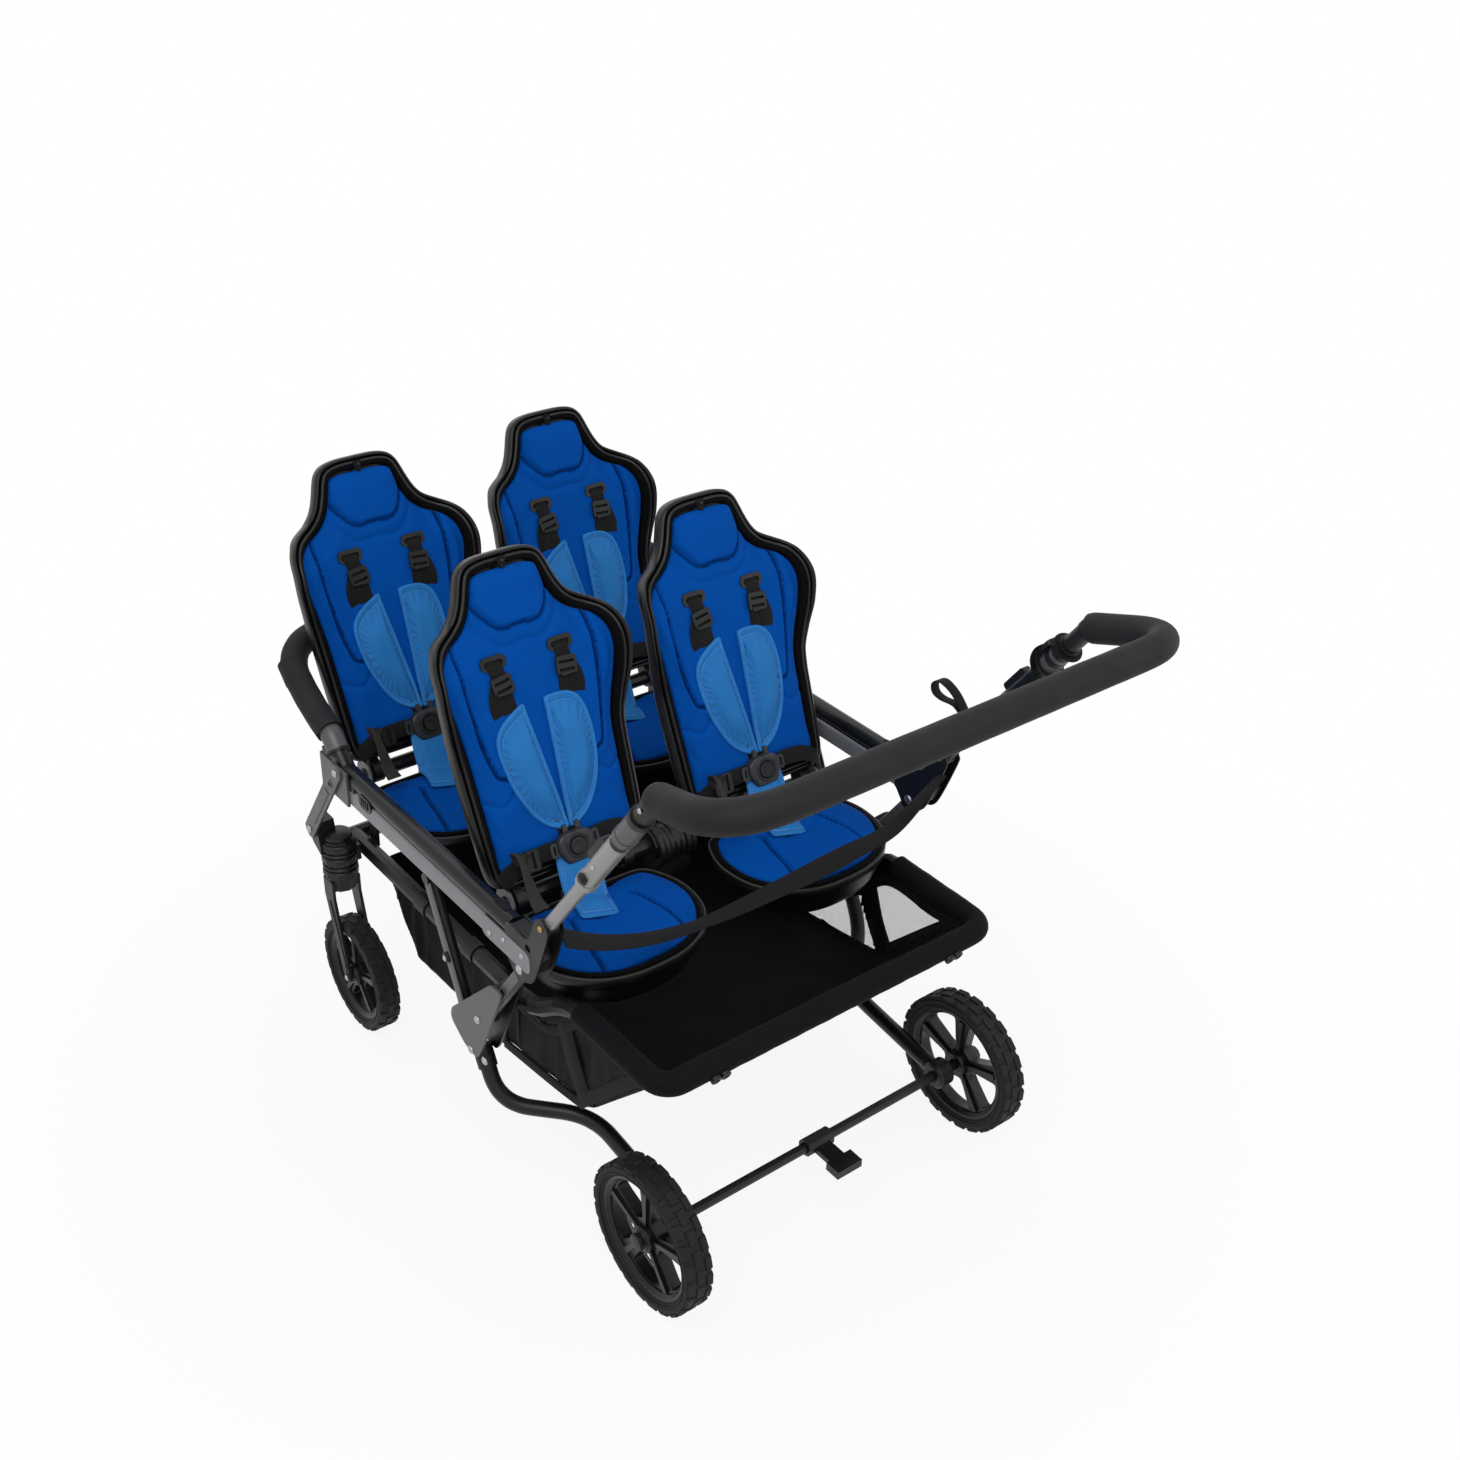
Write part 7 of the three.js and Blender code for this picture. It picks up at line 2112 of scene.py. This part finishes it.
def build_stage():
    """Floor, white world, soft light and the photo's camera."""
    scene = bpy.context.scene
    scene.view_settings.view_transform = "Standard"
    data = bpy.data.meshes.new("floor")
    corners = [(x * FLOOR_HALF, y * FLOOR_HALF, 0) for x, y in ((-1, -1), (1, -1), (1, 1), (-1, 1))]
    data.from_pydata(corners, [], [(0, 1, 2, 3)])
    data.materials.append(finish("floor"))
    floor = bpy.data.objects.new("floor", data)
    scene.collection.objects.link(floor)
    # The stroller is lit by a dimmer sky than the one that a camera or a reflection sees.
    scene.world = bpy.data.worlds.new("Studio")
    scene.world.use_nodes = True
    tree = scene.world.node_tree
    tree.nodes.clear()
    sky, white = (
        add(tree, "ShaderNodeBackground", None, {"Color": WHITE, "Strength": strength}).outputs["Background"]
        for strength in (0.44, 1.0)
    )
    mixed = add(tree, "ShaderNodeMixShader", None, {0: seen_directly(tree), 1: sky, 2: white})
    add(tree, "ShaderNodeOutputWorld", None, {"Surface": mixed.outputs["Shader"]})
    for name, spot, power, size in LIGHTS:
        lamp = bpy.data.lights.new(name, "AREA")
        lamp.energy, lamp.size = power, size
        holder = bpy.data.objects.new(name, lamp)
        holder.location = spot
        holder.rotation_euler = (Vector(LIT_SPOT) - Vector(spot)).to_track_quat("-Z", "Y").to_euler()
        scene.collection.objects.link(holder)
    # Lens and place were fitted to the photo.
    camera = bpy.data.cameras.new("Camera")
    camera.lens, camera.sensor_width = 43.215, 36.0
    camera.clip_start, camera.clip_end = 0.05, 50
    holder = bpy.data.objects.new("Camera", camera)
    holder.rotation_euler = Euler((1.02901813, -0.02929198, -0.66628113), "XYZ")
    holder.location = (-1.3182, -1.7566, 1.9626)
    scene.collection.objects.link(holder)
    scene.camera = holder


# Operators.


class StageOperator(bpy.types.Operator):
    """Adds the floor, the soft light and the camera."""

    bl_idname = "stroller.stage"
    bl_label = "Stage"

    def execute(self, context):
        build_stage()
        return {"FINISHED"}


class SeatShellsOperator(bpy.types.Operator):
    """Builds the moulded shells of backs and pans."""

    bl_idname = "stroller.seat_shells"
    bl_label = "Seat shells"

    def execute(self, context):
        for row in ROWS:
            for side in SIDES:
                build_back_shell(side, row)
                build_pan_shell(side, row)
        return {"FINISHED"}


class PaddingOperator(bpy.types.Operator):
    """Fills one back pad and one pan pad by cloth simulation and sets them into the four seats."""

    bl_idname = "stroller.padding"
    bl_label = "Padding"

    def execute(self, context):
        back, pan = dressed_back_pad(), dressed_pan_pad()
        for row in ROWS:
            for side in SIDES:
                seat = f"{row}_{side}"
                build_pad(f"pad_back_{seat}", on_back(side, row), back, f"back_{seat}", f"back_pad_{seat}")
                build_pad(f"pad_pan_{seat}", on_pan(side, row), pan, "chassis", f"pan_pad_{seat}")
        return {"FINISHED"}


class HarnessOperator(bpy.types.Operator):
    """Builds each seat's chest pads, crotch pad, webbing, buckle and button."""

    bl_idname = "stroller.harness"
    bl_label = "Harnesses"

    def execute(self, context):
        for row in ROWS:
            for side in SIDES:
                build_chest_pads(side, row)
                build_straps(side, row)
                build_crotch_pad(side, row)
                build_buckle(side, row)
        return {"FINISHED"}


class WheelsOperator(bpy.types.Operator):
    """Builds the wheels with their tread, and the casters' trim."""

    bl_idname = "stroller.wheels"
    bl_label = "Wheels"

    def execute(self, context):
        for side in SIDES:
            build_wheel(side, REAR_WHEEL, "rear")
            build_wheel(side, FRONT_WHEEL, "front")
        build_casters()
        build_axle_caps()
        return {"FINISHED"}


class FrameOperator(bpy.types.Operator):
    """Builds rails, legs, links, arms, bars and their fittings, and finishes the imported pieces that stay."""

    bl_idname = "stroller.frame"
    bl_label = "Frame"

    def execute(self, context):
        tubes = ["lower_frame", "seat_carrier_rear", "seat_carrier_front", "rear_axle"]
        dress(tubes + pair("rear_link") + pair("brace"), "tube_black")
        dress(pair("caster_head") + pair("caster_fork") + ["brake_pedal"], "hardware")
        dress(pair("front_bracket") + pair("front_link"), "plate_grey")
        for side in SIDES:
            build_rail(side)
            build_front_bracket(side)
            build_arm(side)
            build_rear_leg(side)
            build_link_details(side)
        build_front_bar()
        build_handle()
        build_grip_trim()
        build_lower_detail()
        build_recliners()
        return {"FINISHED"}


class ClothOperator(bpy.types.Operator):
    """Builds the open fabric tub with its hems and mesh windows, and the strap between the hinge blocks."""

    bl_idname = "stroller.cloth"
    bl_label = "Tub and strap"

    def execute(self, context):
        build_tub()
        build_strap()
        return {"FINISHED"}


class StrollerPanel(bpy.types.Panel):
    """Lists the stroller's pieces and settings in the sidebar."""

    bl_idname = "VIEW3D_PT_stroller"
    bl_label = "Four seat stroller"
    bl_space_type = "VIEW_3D"
    bl_region_type = "UI"
    bl_category = "Stroller"

    def draw(self, context):
        for operator in OPERATORS:
            self.layout.operator(operator.bl_idname)
        for group in ("stroller_seat", "stroller_frame", "stroller_finish"):
            settings = getattr(context.scene, group)
            box = self.layout.box()
            for key in type(settings).__annotations__:
                box.prop(settings, key)


SETTINGS = {
    "stroller_seat": StrollerSeatSettings,
    "stroller_frame": StrollerFrameSettings,
    "stroller_finish": StrollerFinishSettings,
}
OPERATORS = (
    StageOperator,
    SeatShellsOperator,
    PaddingOperator,
    HarnessOperator,
    WheelsOperator,
    FrameOperator,
    ClothOperator,
)


def register():
    """Registers the settings, the operators and the panel."""
    for kind in (*SETTINGS.values(), *OPERATORS, StrollerPanel):
        bpy.utils.register_class(kind)
    for name, kind in SETTINGS.items():
        setattr(bpy.types.Scene, name, bpy.props.PointerProperty(type=kind))


def unregister():
    """Takes the settings, the operators and the panel away again."""
    for name in SETTINGS:
        delattr(bpy.types.Scene, name)
    for kind in reversed((*SETTINGS.values(), *OPERATORS, StrollerPanel)):
        bpy.utils.unregister_class(kind)


def main():
    """Builds the whole scene."""
    register()
    bpy.ops.stroller.stage()
    bpy.ops.stroller.seat_shells()
    bpy.ops.stroller.padding()
    bpy.ops.stroller.harness()
    bpy.ops.stroller.wheels()
    bpy.ops.stroller.frame()
    bpy.ops.stroller.cloth()


if __name__ == "__main__":
    main()
